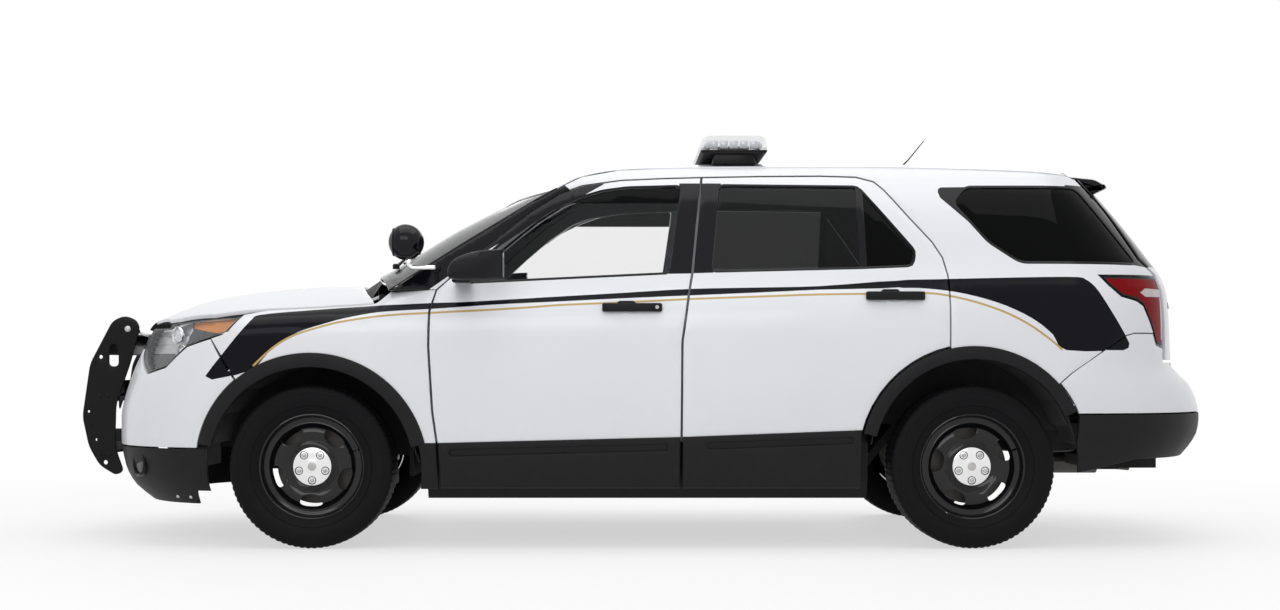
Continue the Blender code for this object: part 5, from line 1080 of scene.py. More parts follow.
# Graphics and black trim on the sides, as (x, z) of the left side
sideGraphics = {
    "frontBlack": (
        [(-1.897, 0.747), (-1.867, 0.732), (-1.756, 0.753), (-1.675, 0.786), (-1.623, 0.842), (-1.563, 0.893)],
        [(-1.489, 0.937), (-1.396, 0.968), (-1.305, 0.994), (-1.186, 1.018), (-1.072, 1.029), (-0.923, 1.037)],
        [(-0.792, 1.046), (-0.652, 1.056), (-0.494, 1.064), (-0.365, 1.070), (-0.105, 1.083), (0.198, 1.096)],
        [(0.501, 1.109), (0.761, 1.121), (1.107, 1.131), (1.107, 1.161), (0.761, 1.137), (0.501, 1.131)],
        [(0.198, 1.125), (-0.105, 1.107), (-0.365, 1.092), (-0.652, 1.075), (-0.793, 1.067), (-0.906, 1.064)],
        [(-1.027, 1.058), (-1.173, 1.052), (-1.316, 1.043), (-1.502, 1.029), (-1.595, 1.021), (-1.659, 1.013)],
        [(-1.686, 1.006), (-1.700, 0.987), (-1.771, 0.903), (-1.819, 0.844), (-1.867, 0.786), (-1.892, 0.753)],
    ),
    "rearBlack": (
        [(1.100, 1.161), (1.275, 1.167), (1.441, 1.171), (1.690, 1.176), (1.873, 1.177), (1.914, 1.167)],
        [(1.953, 1.134), (1.999, 1.063), (2.088, 0.923), (2.107, 0.889), (2.102, 0.869), (2.078, 0.859)],
        [(1.815, 0.859), (1.757, 0.926), (1.675, 0.992), (1.562, 1.049), (1.433, 1.091), (1.311, 1.116)],
        [(1.189, 1.128), (1.100, 1.131)],
    ),
    "frontGold": (
        [(-1.684, 0.791), (-1.628, 0.844), (-1.572, 0.888), (-1.498, 0.927), (-1.396, 0.959), (-1.304, 0.982)],
        [(-1.183, 1.001), (-1.071, 1.012), (-0.922, 1.020), (-0.791, 1.027), (-0.651, 1.034), (-0.494, 1.044)],
        [(-0.365, 1.054), (-0.105, 1.065), (0.198, 1.080), (0.501, 1.091), (0.761, 1.100), (1.107, 1.104)],
    ),
    "rearGold": (
        [(1.090, 1.105), (1.220, 1.106), (1.310, 1.095), (1.431, 1.066), (1.561, 1.019), (1.659, 0.967)],
        [(1.741, 0.909), (1.798, 0.860)],
    ),
    "goldWidth": 0.009,
    "claddingTop": [(-0.99, 0.459), (-0.851, 0.459), (0.158, 0.485), (0.951, 0.515), (1.10, 0.52)],
}


def ribbon(line, width):
    above, below = [], []
    for k, p in enumerate(line):
        a, b = Vector(line[max(0, k - 1)]), Vector(line[min(len(line) - 1, k + 1)])
        n = (b - a).normalized()
        above.append((p[0] - n.y * width / 2, p[1] + n.x * width / 2))
        below.append((p[0] + n.y * width / 2, p[1] - n.x * width / 2))
    return above + below[::-1]


def listOf(rows):
    return [p for row in rows for p in row]


frontBlack = curved(listOf(sideGraphics["frontBlack"]), 3, False)
rearBlack = curved(listOf(sideGraphics["rearBlack"]), 3, False)
frontGold = ribbon(curved(listOf(sideGraphics["frontGold"]), 4), sideGraphics["goldWidth"])
rearGold = ribbon(curved(listOf(sideGraphics["rearGold"]), 4), sideGraphics["goldWidth"])
claddingLow = sideGraphics["claddingTop"] + [(1.10, 0.1), (-0.99, 0.1)]
sidePaints = [paint[coat] for coat in ("whitePaint", "blackVinyl", "goldVinyl", "glossBlack", "blackPlastic",
    "jambWhite")]
vinylTag, goldTag, pillarTag, plasticTag, jambTag = range(1, 6)


def cutAway(obj, boxes):
    parts = [(*blockMesh(low, high, 0.0, 0.0005), 0) for low, high in boxes]
    verts, faces, _ = joinMeshes(parts)
    mesh = bpy.data.meshes.new("cutter")
    mesh.from_pydata(verts, [], faces)
    cutter = bpy.data.objects.new("cutter", mesh)
    bpy.context.scene.collection.objects.link(cutter)
    tidyNormals(cutter)
    trim = obj.modifiers.new("cut", "BOOLEAN")
    trim.operation, trim.solver, trim.object = "DIFFERENCE", "EXACT", cutter
    bpy.context.view_layer.update()
    made = bpy.data.meshes.new_from_object(obj.evaluated_get(bpy.context.evaluated_depsgraph_get()))
    obj.modifiers.clear()
    obj.data = made
    bpy.data.objects.remove(cutter)
    made.set_sharp_from_angle(angle=math.radians(35))


# A panel mesh whose pairs of (loop, tag) give the regions their finish. The rest is finish 0, the back has its own
def taggedPanel(outline, holes, skin, wall, pairs, step, edge, back):
    order = [0] + [tag for _, tag in pairs]
    verts, made, tags = panelMesh(outline, holes, skin, wall, step, edge, [loop for loop, _ in pairs], -1)
    return verts, made, [back if t < 0 else order[t] for t in tags]


# A piece made for the left side and mirrored for the right one
def onBothSides(name, mesh, coats, body, replaced=(), tag=0):
    for side, hand in sides:
        verts, made = mesh if side == -1 else mirrored(*mesh)
        replacedHere = [node.format(hand=hand) for node in replaced]
        onePiece(f"{name}_{hand}", [(verts, made, tag)], coats, body.format(hand=hand), replacedHere)


# Makes a panel on both sides from its left loops
def sidePanels(name, outline, holes, wall, bodies, replaced, pairs=(), step=0.03, skin=flankSkin, back=jambTag):
    verts, made, tags = taggedPanel(outline, holes, skin, wall, pairs, step, 0.003, back)
    objects = []
    for side, hand in sides:
        v, f = (verts, made) if side == -1 else mirrored(verts, made)
        obj = newObject(f"{name}_{hand}", v, f, sidePaints, tags)
        tidyNormals(obj)
        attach(obj, bodies.format(hand=hand))
        if replaced:
            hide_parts(replaced.format(hand=hand))
        objects.append(obj)
    return objects


# Fenders, with the black at the foot of the pillar
fenderTop = [(ahead(a), bonnetLineZ(ahead(a))) for a in (0.150, 0.160, 0.170, 0.2, 0.235, 0.27, 0.300, 0.355, 0.410,
    0.445, 0.475)]
pillarPoint = (edgeStations[0], edgeZ(edgeStations[0]) - edgeLip - seatGap)
seamAngle = math.degrees(math.atan2(seamFoot()[1] - frontArchZ, seamFoot()[0] - frontAxleX))
fenderArch = arc(frontWheel, (frontOpening + frontFlare) / 2, seamAngle, -8, 24)
shutLine = [(x - (shutGap - seamGap) / 2, z) for x, z in frontLine[1:]]
fenderLoop = [frontLine[0], pillarPoint] + fenderTop + [(fore(0.304), up(0.583)), (fore(0.371), up(0.536))]
fenderLoop += [(fore(0.443), up(0.523))] + fenderArch
fenderLoop += [(fenderArch[-1][0], up(doorLowShare)), (shutLine[-1][0], up(doorLowShare))] + shutLine[:-1][::-1]
pillarBlack = [(-1.16, 1.16), (-0.90, 1.135), (-0.72, 1.25), (-0.80, 1.35)]
fenderPairs = [(frontBlack, vinylTag), (frontGold, goldTag), (pillarBlack, pillarTag), (claddingLow, plasticTag)]
sidePanels("fender", inset(fenderLoop, seamGap / 2), [], lambda x, z: coverThickness, "car", "fender_{hand}",
    fenderPairs, 0.028, wingSkin)


# Lip round a wheel opening
def archLip(name, centre, low, high, start, end):
    loop = arc(centre, high, start, end, 48) + arc(centre, low, end, start, 48)

    def skin(x, z, depth):
        r = math.hypot(x - centre[0], z - centre[1])
        t = (r - low) / (high - low)
        stand = flareStand * (1 - 0.55 * max(0.0, t - 0.35) / 0.65)
        return x, -(flankY(x, z) + stand - depth), z

    sidePanels(name, loop, [], lambda x, z: flareStand + flareDepth, "car", "", [(loop, plasticTag)], 0.028, skin,
        plasticTag)


archLip("front_flare", frontWheel, frontOpening, frontFlare, archFootAngle, 180 - archFootAngle)
archLip("rear_flare", rearWheel, rearOpening, rearFlare - shutGap / 2, rearFootAngle, 180 - archFootAngle)

# Doors: skin, window trim, pocketed hinge edge, pins and handles
doorFacts = {
    "front": {"axisX": frontLine[2][0] + 0.080647, "handle": (0.319, 0.429, 0.600)},
    "rear": {"axisX": bLine[4][0] + 0.076502, "handle": (0.803, 0.911, 0.629)},
}
hingeHeights = (up(0.3825), up(0.5465))
hingeY = halfWidth * 0.975
hingePin = (0.0285, 0.004)  # half length and radius
hingePocket = {"behind": 0.09, "ahead": 0.018, "inside": 0.12, "outside": 0.013, "half": 0.025}
hingeLeaf = {"back": 0.038, "inward": 0.097, "half": 0.018, "halfThick": 0.006, "hole": 0.0048, "eye": 0.008}
windowTrim = 0.011
pillarTrims = {
    "front": [[(0.108, 1.192), (0.160, 1.604), (0.30, 1.604), (0.24, 1.194)],
        [(-0.96, 1.137), (-0.16, 1.61), (-0.42, 1.62), (-1.1, 1.3)]],
    "rear": [[(0.15, 1.193), (0.17, 1.604), (0.345, 1.604), (0.302, 1.197)]],
}
for which, (outline, window) in doorLoops().items():
    doorBody = f"door_{which}_{{hand}}"
    lowX, highX = min(p[0] for p in outline), max(p[0] for p in outline)
    pairs = [(inset(window, -windowTrim), pillarTag), (frontBlack, vinylTag), (frontGold, goldTag)]
    pairs += [(rearBlack, vinylTag), (rearGold, goldTag)] if which == "rear" else []
    pairs += [(loop, pillarTag) for loop in pillarTrims[which]] + [(claddingLow, plasticTag)]
    shells = sidePanels(f"door_skin_{which}", inset(outline, shutGap / 2), [window], lambda x, z: doorWall(x, z,
        lowX, highX), doorBody, doorBody, pairs)
    axisX = doorFacts[which]["axisX"]
    for (side, hand), obj in zip(sides, shells):
        boxes = []
        for z in hingeHeights:
            ys = sorted((side * (hingeY - hingePocket["inside"]), side * (hingeY + hingePocket["outside"])))
            low = (axisX - hingePocket["behind"], ys[0], z - hingePocket["half"])
            boxes.append((low, (axisX + hingePocket["ahead"], ys[1], z + hingePocket["half"])))
        cutAway(obj, boxes)
        pins = []
        for z in hingeHeights:
            ends = [(axisX, side * hingeY, z + way * hingePin[0]) for way in (-1, 1)]
            pins.append((*tubeMesh(ends, hingePin[1]), 0))
        onePiece(f"door_pins_{which}_{hand}", pins, "brushedSteel", f"door_{which}_{hand}")
        lugs = []
        for z in hingeHeights:
            half, hole, outer = hingeLeaf["half"], hingeLeaf["hole"], hingeLeaf["eye"]
            eye = [(-half, hole), (-half, outer), (half, outer), (half, hole)]
            lugs.append((*latheMesh(eye, (axisX, side * hingeY, z), 20, "z"), 0))
            back, inward = hingeLeaf["back"], hingeLeaf["inward"]
            a = Vector((axisX - back * 0.2, side * (hingeY - inward * 0.07)))
            b = Vector((axisX - back, side * (hingeY - inward)))
            n = (b - a).normalized().orthogonal() * hingeLeaf["halfThick"]
            loop = [tuple(a + n), tuple(b + n), tuple(b - n), tuple(a - n)]
            lugs.append((*slabMesh(loop, z - half, z + half, 0.001, "z"), 0))
        onePiece(f"door_hinges_{which}_{hand}", lugs, "jambWhite", "car")

    # inner card with its armrest
    cardLoop = inset(outline, shutGap / 2 + 0.055)
    cardLoop = [(x, min(z, up(0.645))) for x, z in cardLoop]
    clean = [p for k, p in enumerate(cardLoop) if math.dist(p, cardLoop[k - 1]) > 0.004 and p[1] < up(0.644)]

    def cardSkin(x, z, depth):
        wall = doorWall(x, z, lowX, highX)
        swell = 0.012 * math.exp(-(((z - up(0.50)) / 0.05) ** 2)) if abs(x - (lowX + highX) / 2) < 0.33 else 0.0
        return x, -(flankY(x, z) - wall - 0.0005 - swell + depth), z

    card = panelMesh(clean, [], cardSkin, lambda x, z: -0.006, 0.05, 0.003)
    onBothSides(f"door_card_{which}", card[:2], "cabinTrim", doorBody)

    # glass, with a darker band at its top
    pane = inset(window, 0.0012)
    highZ = max(p[1] for p in window)
    band = [(lowX, highZ - 0.075), (highX, highZ - 0.075), (highX, highZ + 0.1), (lowX, highZ + 0.1)]
    if which == "rear":
        band = [(0.955, 1.0), (highX, 1.0), (highX, highZ + 0.1), (0.955, highZ + 0.1)]
    v, f, t = panelMesh(pane, [], flankGlass, lambda x, z: glassThickness, 0.04, 0.0012, [band])
    tints = "frontGlass tintedGlass" if which == "front" else "rearDoorGlass tintedGlass"
    onBothSides(f"door_glass_{which}", (v, f), tints, doorBody, [f"glass_{which}_{{hand}}"], t)

    # pull handle, its backing cup and lock
    start, end, share = doorFacts[which]["handle"]
    a, b, z = cab(start), cab(end), up(share)
    y = flankY((a + b) / 2, z)
    loop = [(a, y - 0.006), (a, y + 0.020), (a + 0.018, y + 0.032), ((a + b) / 2, y + 0.034),
        (b - 0.018, y + 0.032)]
    loop += [(b, y + 0.020), (b, y - 0.006), (b - 0.03, y - 0.006), (b - 0.036, y + 0.014), ((a + b) / 2,
        y + 0.018)]
    loop += [(a + 0.036, y + 0.014), (a + 0.03, y - 0.006)]
    grip = slabMesh(rounded(loop, 0.006, 3), z - 0.019, z + 0.018, 0.007, "z")
    cup = [((a + b) / 2 + 0.045 * u, z - 0.010 + 0.030 * w) for u, w in circle(1.0, 24)]
    cupMesh = panelMesh(cup, [], lambda x, w, d: (x, flankY(x, w) + 0.0015 - d, w), lambda x, w: 0.004, 0.01, 0.001)
    bump = slabMesh(rounded([(a + 0.062, z + 0.014), (a + 0.148, z + 0.014), (a + 0.138, z + 0.028),
        (a + 0.072, z + 0.028)], 0.006), y - 0.004, y + 0.012, 0.003)
    for side, hand in sides:
        parts = []
        for piece, tag in ((grip, 0), (cupMesh[:2], 1), (bump, 0)):
            vv, ff = piece if side == 1 else mirrored(*piece)
            parts.append((vv, ff, tag))
        lock = latheMesh([(0.0, 0.0005), (0.0, 0.008), (0.004, 0.008), (0.005, 0.006), (0.005, 0.0005)],
            (b - 0.022, side * (y + 0.0325), z), 20, "y")
        lock = [(p[0], p[1] if side == 1 else p[1] - 0.005, p[2]) for p in lock[0]], lock[1]
        if which == "front" and side == -1:
            parts.append((*lock, 2))
        onePiece(f"door_handle_{which}_{hand}", parts, "blackPlastic whitePaint brushedSteel",
            f"door_{which}_{hand}")
    if which == "rear":
        # upright bar between the moving glass and the small fixed pane
        bar = [(0.940, up(0.7035)), (0.972, up(0.7035)), (0.972, up(0.9105)), (0.940, up(0.9105))]
        barMesh = panelMesh(bar, [], lambda x, z, d: flankSkin(x, z, d + 0.001), lambda x, z: 0.012, 0.03, 0.002)
        onBothSides("door_glass_bar", barMesh[:2], "glossBlack", doorBody)
print("doors made")

# Body side: rails, quarter and rear wheel arch
quarter = rounded([(aft(a), up(b)) for a, b in quarterWindowShares], 0.03, 5)
wrapBlack = [(1.875, 1.572), (1.885, 1.600), (2.10, 1.600), (2.42, 1.215), (2.30, 1.222), (2.16, 1.236),
    (2.02, 1.30)]


def quarterWall(x, z):
    thin = min(1.0, max(0.0, (x - cLine[0][0] - pillarDepth) / (pillarWidth * 2)))
    return min(railThickness + (coverThickness - railThickness) * thin, flankY(x, z) / 3)


cornerBlack = [(1.306, 1.562), (1.309, 1.577), (1.322, 1.585), (1.50, 1.587), (1.60, 1.40), (1.66, 1.262),
    (1.612, 1.262), (1.560, 1.300), (1.517, 1.340), (1.314, 1.536)]
quarterPairs = [(inset(quarter, -0.012), pillarTag), (cornerBlack, pillarTag), (wrapBlack, pillarTag),
    (rearBlack, vinylTag), (rearGold, goldTag)]
quarterPairs += [([(-1.16, 1.0), (-0.94, 1.12), (-0.318, 1.567), (-0.38, 1.62), (-1.2, 1.3)], pillarTag)]
sidePanels("body_side_skin", inset(bodySideLoop(), seamGap / 2), [quarter], quarterWall, "car", "body_side_{hand}",
    quarterPairs)
frameLow = up(frameLowShare)
frameX = frontLine[2][0] - frameFrontReach / 3
frameArch = arc(rearWheel, rearOpening + linerGap + linerThickness + rimGap, 165, 112, 14)
frameLoop = [(frameX, frameLow), (frameArch[0][0], frameLow)] + frameArch + [(cLine[1][0] + pillarDepth,
    cLine[1][1])]
frameLoop += [(x, z + frameStand / 3) for x, z in topLine[1:-1]][::-1] + [(frameX, topLine[0][1])]
frameHoles = [inset(outline, frameStand) for outline, _ in doorLoops().values()]
frameOut = doorThickness + frameGap
sidePanels("door_frame", frameLoop, frameHoles, lambda x, z: frameDepth, "car", "",
    [([(-1.2, 0.0), (1.6, 0.0), (1.6, 0.62), (0.90, 0.62), (0.90, 0.46), (-1.2, 0.46)], plasticTag)], 0.045,
    lambda x, z, d: flankSkin(x, z, d + frameOut), jambTag)
pane = panelMesh(inset(quarter, 0.0012), [], flankGlass, lambda x, z: glassThickness, 0.04, 0.0012)
onBothSides("quarter_glass", pane[:2], "tintedGlass", "car", ["glass_quarter_{hand}"])

# Round seals in the gap round each doorway
for which, (outline, _) in doorLoops().items():
    loop = inset(outline, frameStand - 0.006)
    line = [(x, -(flankY(x, z) - frameOut + 0.001), z) for x, z in finer(loop, 0.04)]
    for side, hand in sides:
        pts = [(x, y * -side, z) for x, y, z in line + line[:1]]
        onePiece(f"door_seal_{which}_{hand}", [(*tubeMesh(pts, 0.005, 8), 0)], "rubberSeal", "car")


# Lower cladding with its recessed slots
def claddingTopZ(x):
    line = sideGraphics["claddingTop"]
    return float(np.interp(x, [p[0] for p in line], [p[1] for p in line]))


slotFacts = {"height": 0.030, "drop": 0.028, "spans": {"front": (-0.84, 0.10), "rear": (0.27, 0.90)}}
for which, (outline, _) in doorLoops().items():
    lowX, highX = min(p[0] for p in outline) + 0.008, max(p[0] for p in outline) - 0.008
    within = inset(outline, shutGap / 2 + 0.002)
    ends = [p for p in within if p[1] < claddingTopZ(p[0])]
    footLeft = [p for p in ends if p[0] < (lowX + highX) / 2]
    footRight = [p for p in ends if p[0] >= (lowX + highX) / 2]
    footLeft.sort(key=lambda p: -p[1])
    footRight.sort(key=lambda p: p[1])
    leftX, rightX = footLeft[0][0], footRight[-1][0]
    cap = [(rightX, claddingTopZ(rightX)), (leftX, claddingTopZ(leftX))]
    loop = footLeft + footRight + cap
    a, b = slotFacts["spans"][which]
    high = [claddingTopZ(a) - slotFacts["drop"], claddingTopZ(b) - slotFacts["drop"]]
    slot = [(a, high[0] - slotFacts["height"]), (b, high[1] - slotFacts["height"]), (b, high[1]), (a, high[0])]

    def stepSkin(x, z, depth):
        fall = claddingTopZ(x) - z
        stand = 0.009 - 0.0035 * math.exp(-((fall / 0.03) ** 2))
        return x, -(flankY(x, z) + stand - depth), z

    cladding = panelMesh(loop, [rounded(slot, 0.012, 4)], stepSkin, lambda x, z: 0.009, 0.03, 0.003)
    onBothSides(f"cladding_{which}", cladding[:2], "blackPlastic", f"door_{which}_{{hand}}")


# Arched liners that close the wheel houses out to the skin
def linerMesh(middle, reach, side, steps=36):
    verts, faces = [], []
    for (a, b), (c, d) in zip(arc(middle, reach, 172, 8, steps), arc(middle, reach + 0.004, 172, 8, steps)):
        out = side * (flankY(c, d) - 0.014)
        verts += [(a, side * 0.70, b), (a, out, b), (c, out, d), (c, side * 0.70, d)]
    for k in range(0, 4 * steps, 4):
        faces += [(k + n, k + (n + 1) % 4, k + 4 + (n + 1) % 4, k + 4 + n) for n in range(4)]
    return verts, faces + [(0, 1, 2, 3), tuple(range(4 * steps, 4 * steps + 4))]


for end, middle, opening in (("front", frontWheel, frontOpening), ("rear", rearWheel, rearOpening)):
    for side, hand in sides:
        onePiece(f"arch_liner_{end}_{hand}", [(*linerMesh(middle, opening + linerGap, side), 0)], "chassisBlack",
            "car")
print("sides made")


# Front end panels. s runs round the nose from the centre line
def leftNose(s, z, depth):
    p = nosePoint(s, z, depth)
    return p.x, -p.y, z


def leftTail(s, z, depth):
    p = cornerPoint(s, z, depth)
    return p.x, -p.y, z


def endPanel(name, loop, holes, skin, wall, coats, body, replaced, pairs=(), step=0.035, edge=0.003, back=0):
    mesh = taggedPanel(loop, holes, skin, lambda s, z: wall, pairs, step, edge, back)
    return onePiece(name, [mesh], coats, body, replaced)


def endPair(name, loop, holes, skin, wall, coats, body, replaced, pairs=(), step=0.03, edge=0.003, back=0):
    v, f, t = taggedPanel(loop, holes, skin, lambda s, z: wall, pairs, step, edge, back)
    onBothSides(name, (v, f), coats, body, replaced, t)


# Headlamp: dark tub, reflector, amber wedge, ribbed module, and the clear lens over it
lamp = inset(lampLoop(), lampGap)
amber = aroundNose([(-1.985, 0.955), (-1.985, 1.02), (-1.70, 1.05), (-1.70, 0.985), (-1.80, 0.925)])
silver = aroundNose([(-2.30, 0.845), (-2.30, 1.03), (-1.995, 1.03), (-1.995, 0.945), (-2.06, 0.845)])
tubPaints = "lampDark amberPlastic reflector blackPlastic"


def tubSkin(s, z, depth):
    low, high = 0.74, 1.02
    sink = 0.030 + 0.020 * math.sin(math.pi * min(1, max(0, (z - low) / (high - low))))
    rib = 0.0035 * math.cos(2 * math.pi * z / 0.022)
    return leftNose(s, z, sink + rib + depth)


endPair("headlamp_tub", inset(lamp, 0.004), [], tubSkin, 0.006, tubPaints, "car", [], [(amber, 1), (silver, 2)],
    0.016)
endPair("headlamp_lens", inset(lamp, 0.0008), [], leftNose, 0.0035, "lampLens", "car", ["headlamp_{hand}"], (),
    0.025, 0.002)
rimLoop = finer(inset(lamp, 0.004), 0.03)
for side, hand in sides:
    skinLine = [leftNose(s, z, 0.006) for s, z in rimLoop + rimLoop[:1]]
    deepLine = [leftNose(s, z, 0.034) for s, z in rimLoop + rimLoop[:1]]
    verts = [(x, y * -side, z) for a, b in zip(skinLine, deepLine) for x, y, z in (a, b)]
    faces = []
    for near, far in zip(range(0, len(verts) - 2, 2), range(2, len(verts), 2)):
        faces.append((near, near + 1, far + 1, far))
    obj = onePiece(f"headlamp_wall_{hand}", [(verts, faces, 0)], "lampDark", "car")
    solid = obj.modifiers.new("wall", "SOLIDIFY")
    solid.thickness, solid.offset = 0.0025, 0.0
    modules = []
    for z, radius in ((0.925, 0.040), (0.850, 0.034)):
        s = noseSide(-2.075 + (0.925 - z) * 0.55, z)
        here = Vector(leftNose(s, z, 0.040))
        there = Vector(leftNose(s, z, 0.012))
        out = (there - here).normalized()
        turn = Vector((0, 0, 1)).rotation_difference(out).to_matrix().to_4x4()
        spin = Matrix.Translation(here) @ turn
        ring = latheMesh([(0.0, radius), (0.014, radius), (0.018, radius * 0.93), (0.010, radius * 0.86),
            (0.0, radius * 0.80)], (0, 0, 0), 36, "z")
        eye = latheMesh([(0.0, nearAxis), (0.0, radius * 0.78), (0.008, radius * 0.70), (0.014, radius * 0.45),
            (0.016, nearAxis)], (0, 0, 0), 36, "z")
        modules.append((*moved(ring, spin), 0))
        modules.append((*moved(eye, spin), 1))
    s = noseSide(-2.035, 0.80)
    for k in range(7):
        a, b = leftNose(s + 0.02, 0.775 + k * 0.009, 0.030), leftNose(s - 0.055, 0.772 + k * 0.009, 0.030)
        modules.append((*tubeMesh([a, b], 0.0028, 8), 0))
    if side == 1:
        modules = [(*mirrored(v, f), t) for v, f, t in modules]
    onePiece(f"headlamp_modules_{hand}", modules, "chrome ledClear", "car")

# Grille with rounded cells and a dark mesh behind
high, low = underBonnet(fore(0.82)), up(grilleLowShare)
wide = endFront(grilleHalfShare * halfWidth, high, frontPlan)
cells = []
rows, columns, bar = 5, 12, 0.014
for i in range(columns):
    for j in range(rows):
        a = -wide + 0.03 + (2 * wide - 0.06) * i / columns + bar / 2
        b = -wide + 0.03 + (2 * wide - 0.06) * (i + 1) / columns - bar / 2
        c = low + 0.03 + (high - low - 0.05) * j / rows + bar / 2
        d = low + 0.03 + (high - low - 0.05) * (j + 1) / rows - bar / 2
        cells.append(rounded([(a, c), (b, c), (b, d), (a, d)], 0.012, 3))
grilleLoop = rounded([(-wide, low), (wide, low), (wide, high), (-wide, high)], 0.02, 4)
endPanel("grille_face", inset(grilleLoop, 0.001), cells, noseSkin, coverThickness, "blackPlastic", "car",
    ["grille"], (), 0.03, 0.002)
backGrid = []
for k in range(25):
    s = -wide + 0.02 + (2 * wide - 0.04) * k / 24
    line = [nosePoint(s, low + 0.02 + (high - low - 0.04) * j / 8, 0.028) for j in range(9)]
    backGrid.append((*tubeMesh(line, 0.0016, 6), 0))
for j in range(13):
    z = low + 0.02 + (high - low - 0.04) * j / 12
    line = [nosePoint(-wide + 0.02 + (2 * wide - 0.04) * k / 24, z, 0.030) for k in range(25)]
    backGrid.append((*tubeMesh(line, 0.0016, 6), 0))
onePiece("grille_mesh", backGrid, "lampDark", "car")

# Front bumper and its black lower skirt
under = [(fore(a), up(b)) for a, b in lampUnderShares]
innerY = endFront(lampInnerShare * halfWidth, up(0.5), frontPlan)
angle = math.degrees(math.asin((up(noseLowShare) - frontArchZ) / frontFlare))
bumperArch = arc(frontWheel, frontFlare, 180 - angle, 130, 14)
half = [(0.0, up(noseLowShare))] + aroundNose(bumperArch + [(fore(0.443), up(0.523))] + under[1:])
half += [(innerY, up(0.5)), (wide + seamGap, up(0.5)), (wide + seamGap, up(grilleLowShare) - seamGap),
    (0.0, up(grilleLowShare) - seamGap)]
bumperBlack = [(-1.56, 0.83), (-1.675, 0.786), (-1.756, 0.753), (-1.867, 0.732), (-1.897, 0.747), (-1.892, 0.753),
    (-1.867, 0.786)]
bumperBlack = aroundNose(bumperBlack + [(-1.819, 0.844), (-1.771, 0.903), (-1.700, 0.987), (-1.56, 1.0)])
pairs = [(bumperBlack, 1), ([(-s, z) for s, z in bumperBlack], 1)]
endPanel("bumper_cover", inset(bothHalves(half), seamGap), [], noseSkin, coverThickness, "whitePaint blackVinyl",
    "car", ["front_bumper"], pairs)
lipLow, skirtLow, skirtTop = up(lipLowShare), up(skirtLowShare), up(noseLowShare)
half = [(0.0, lipLow), (noseSide(fore(0.748), lipLow), lipLow), (noseSide(fore(0.518), lipLow), lipLow)]
half += [(noseSide(fore(0.518), skirtLow), skirtLow), (noseSide(frontAxleX - frontOpening, skirtLow), skirtLow)]
half += [(noseSide(frontAxleX - frontOpening, skirtTop), skirtTop), (0.0, skirtTop)]
intakeY = endFront(0.42 * halfWidth, up(0.2), frontPlan)
intake = rounded([(-intakeY, up(0.165)), (intakeY, up(0.165)), (intakeY, up(0.225)), (-intakeY, up(0.225))], 0.02,
    3)
endPanel("skirt_cover", inset(bothHalves(half), seamGap), [intake], noseSkin, coverThickness, "blackPlastic", "car",
    ["front_skirt"])
fogX, fogZ = -2.238, 0.362
for side, hand in sides:
    s = noseSide(fogX, fogZ)
    here, there = Vector(leftNose(s, fogZ, 0.004)), Vector(leftNose(s, fogZ, -0.01))
    turn = Vector((0, 0, 1)).rotation_difference((there - here).normalized()).to_matrix().to_4x4()
    spin = Matrix.Translation(here) @ turn
    ring = latheMesh([(-0.004, 0.062), (0.006, 0.062), (0.011, 0.056), (0.008, 0.050), (-0.004, 0.047)], (0, 0, 0),
        48, "z")
    lens = latheMesh([(-0.004, nearAxis), (-0.004, 0.047), (0.001, 0.046), (0.004, 0.030), (0.005, nearAxis)],
        (0, 0, 0), 48, "z")
    parts = [(*moved(ring, spin), 0), (*moved(lens, spin), 1)]
    if side == 1:
        parts = [(*mirrored(v, f), t) for v, f, t in parts]
    onePiece(f"fog_lamp_{hand}", parts, "glossBlack lampDark", "car")
    bolts = [(*boltMesh((x, side * flankY(x, 0.217), 0.217), 0.006, "y", side), 0) for x in (-2.05, -1.985)]
    onePiece(f"lip_bolts_{hand}", bolts, "brushedSteel", "car")

# Bonnet: hinge arms at a share of the half width, thin at the borders
bonnetHinge = {"y": 0.74, "armHalf": 0.004, "eye": 0.009, "hole": 0.0045}
bonnetHinge["arm"] = [(-0.080, -0.036), (0.002, -0.0075), (0.001, 0.0075), (-0.055, -0.014)]


def bonnetReach(x, y):
    over = min(1.0, max(0.0, (-1.745 - x) / 0.03))
    return y + over * (coverThickness + rimGap - 0.004) if y > 0.35 else y


half = [(x, bonnetReach(x, y)) for x, y in bonnetHalf()]
loop = wholeTop(half)


def bonnetSkin(x, y, depth):
    crease = 0.004 * math.exp(-(((abs(y) - 0.42 - (x + 1.2) * 0.06) / 0.03) ** 2))
    rim = min(1.0, min(abs(x + 1.19), abs(x + 2.2)) / 0.2)
    return x, y, bonnetZ(x, y) + crease * max(0.0, rim) - depth


def bonnetWall(x, y):
    toEdge = bonnetEdgeY(max(x, ahead(bonnetFullShare))) - abs(y)
    return bonnetThickness + (0.0035 if toEdge < 0.035 and x < -1.75 else 0.0)


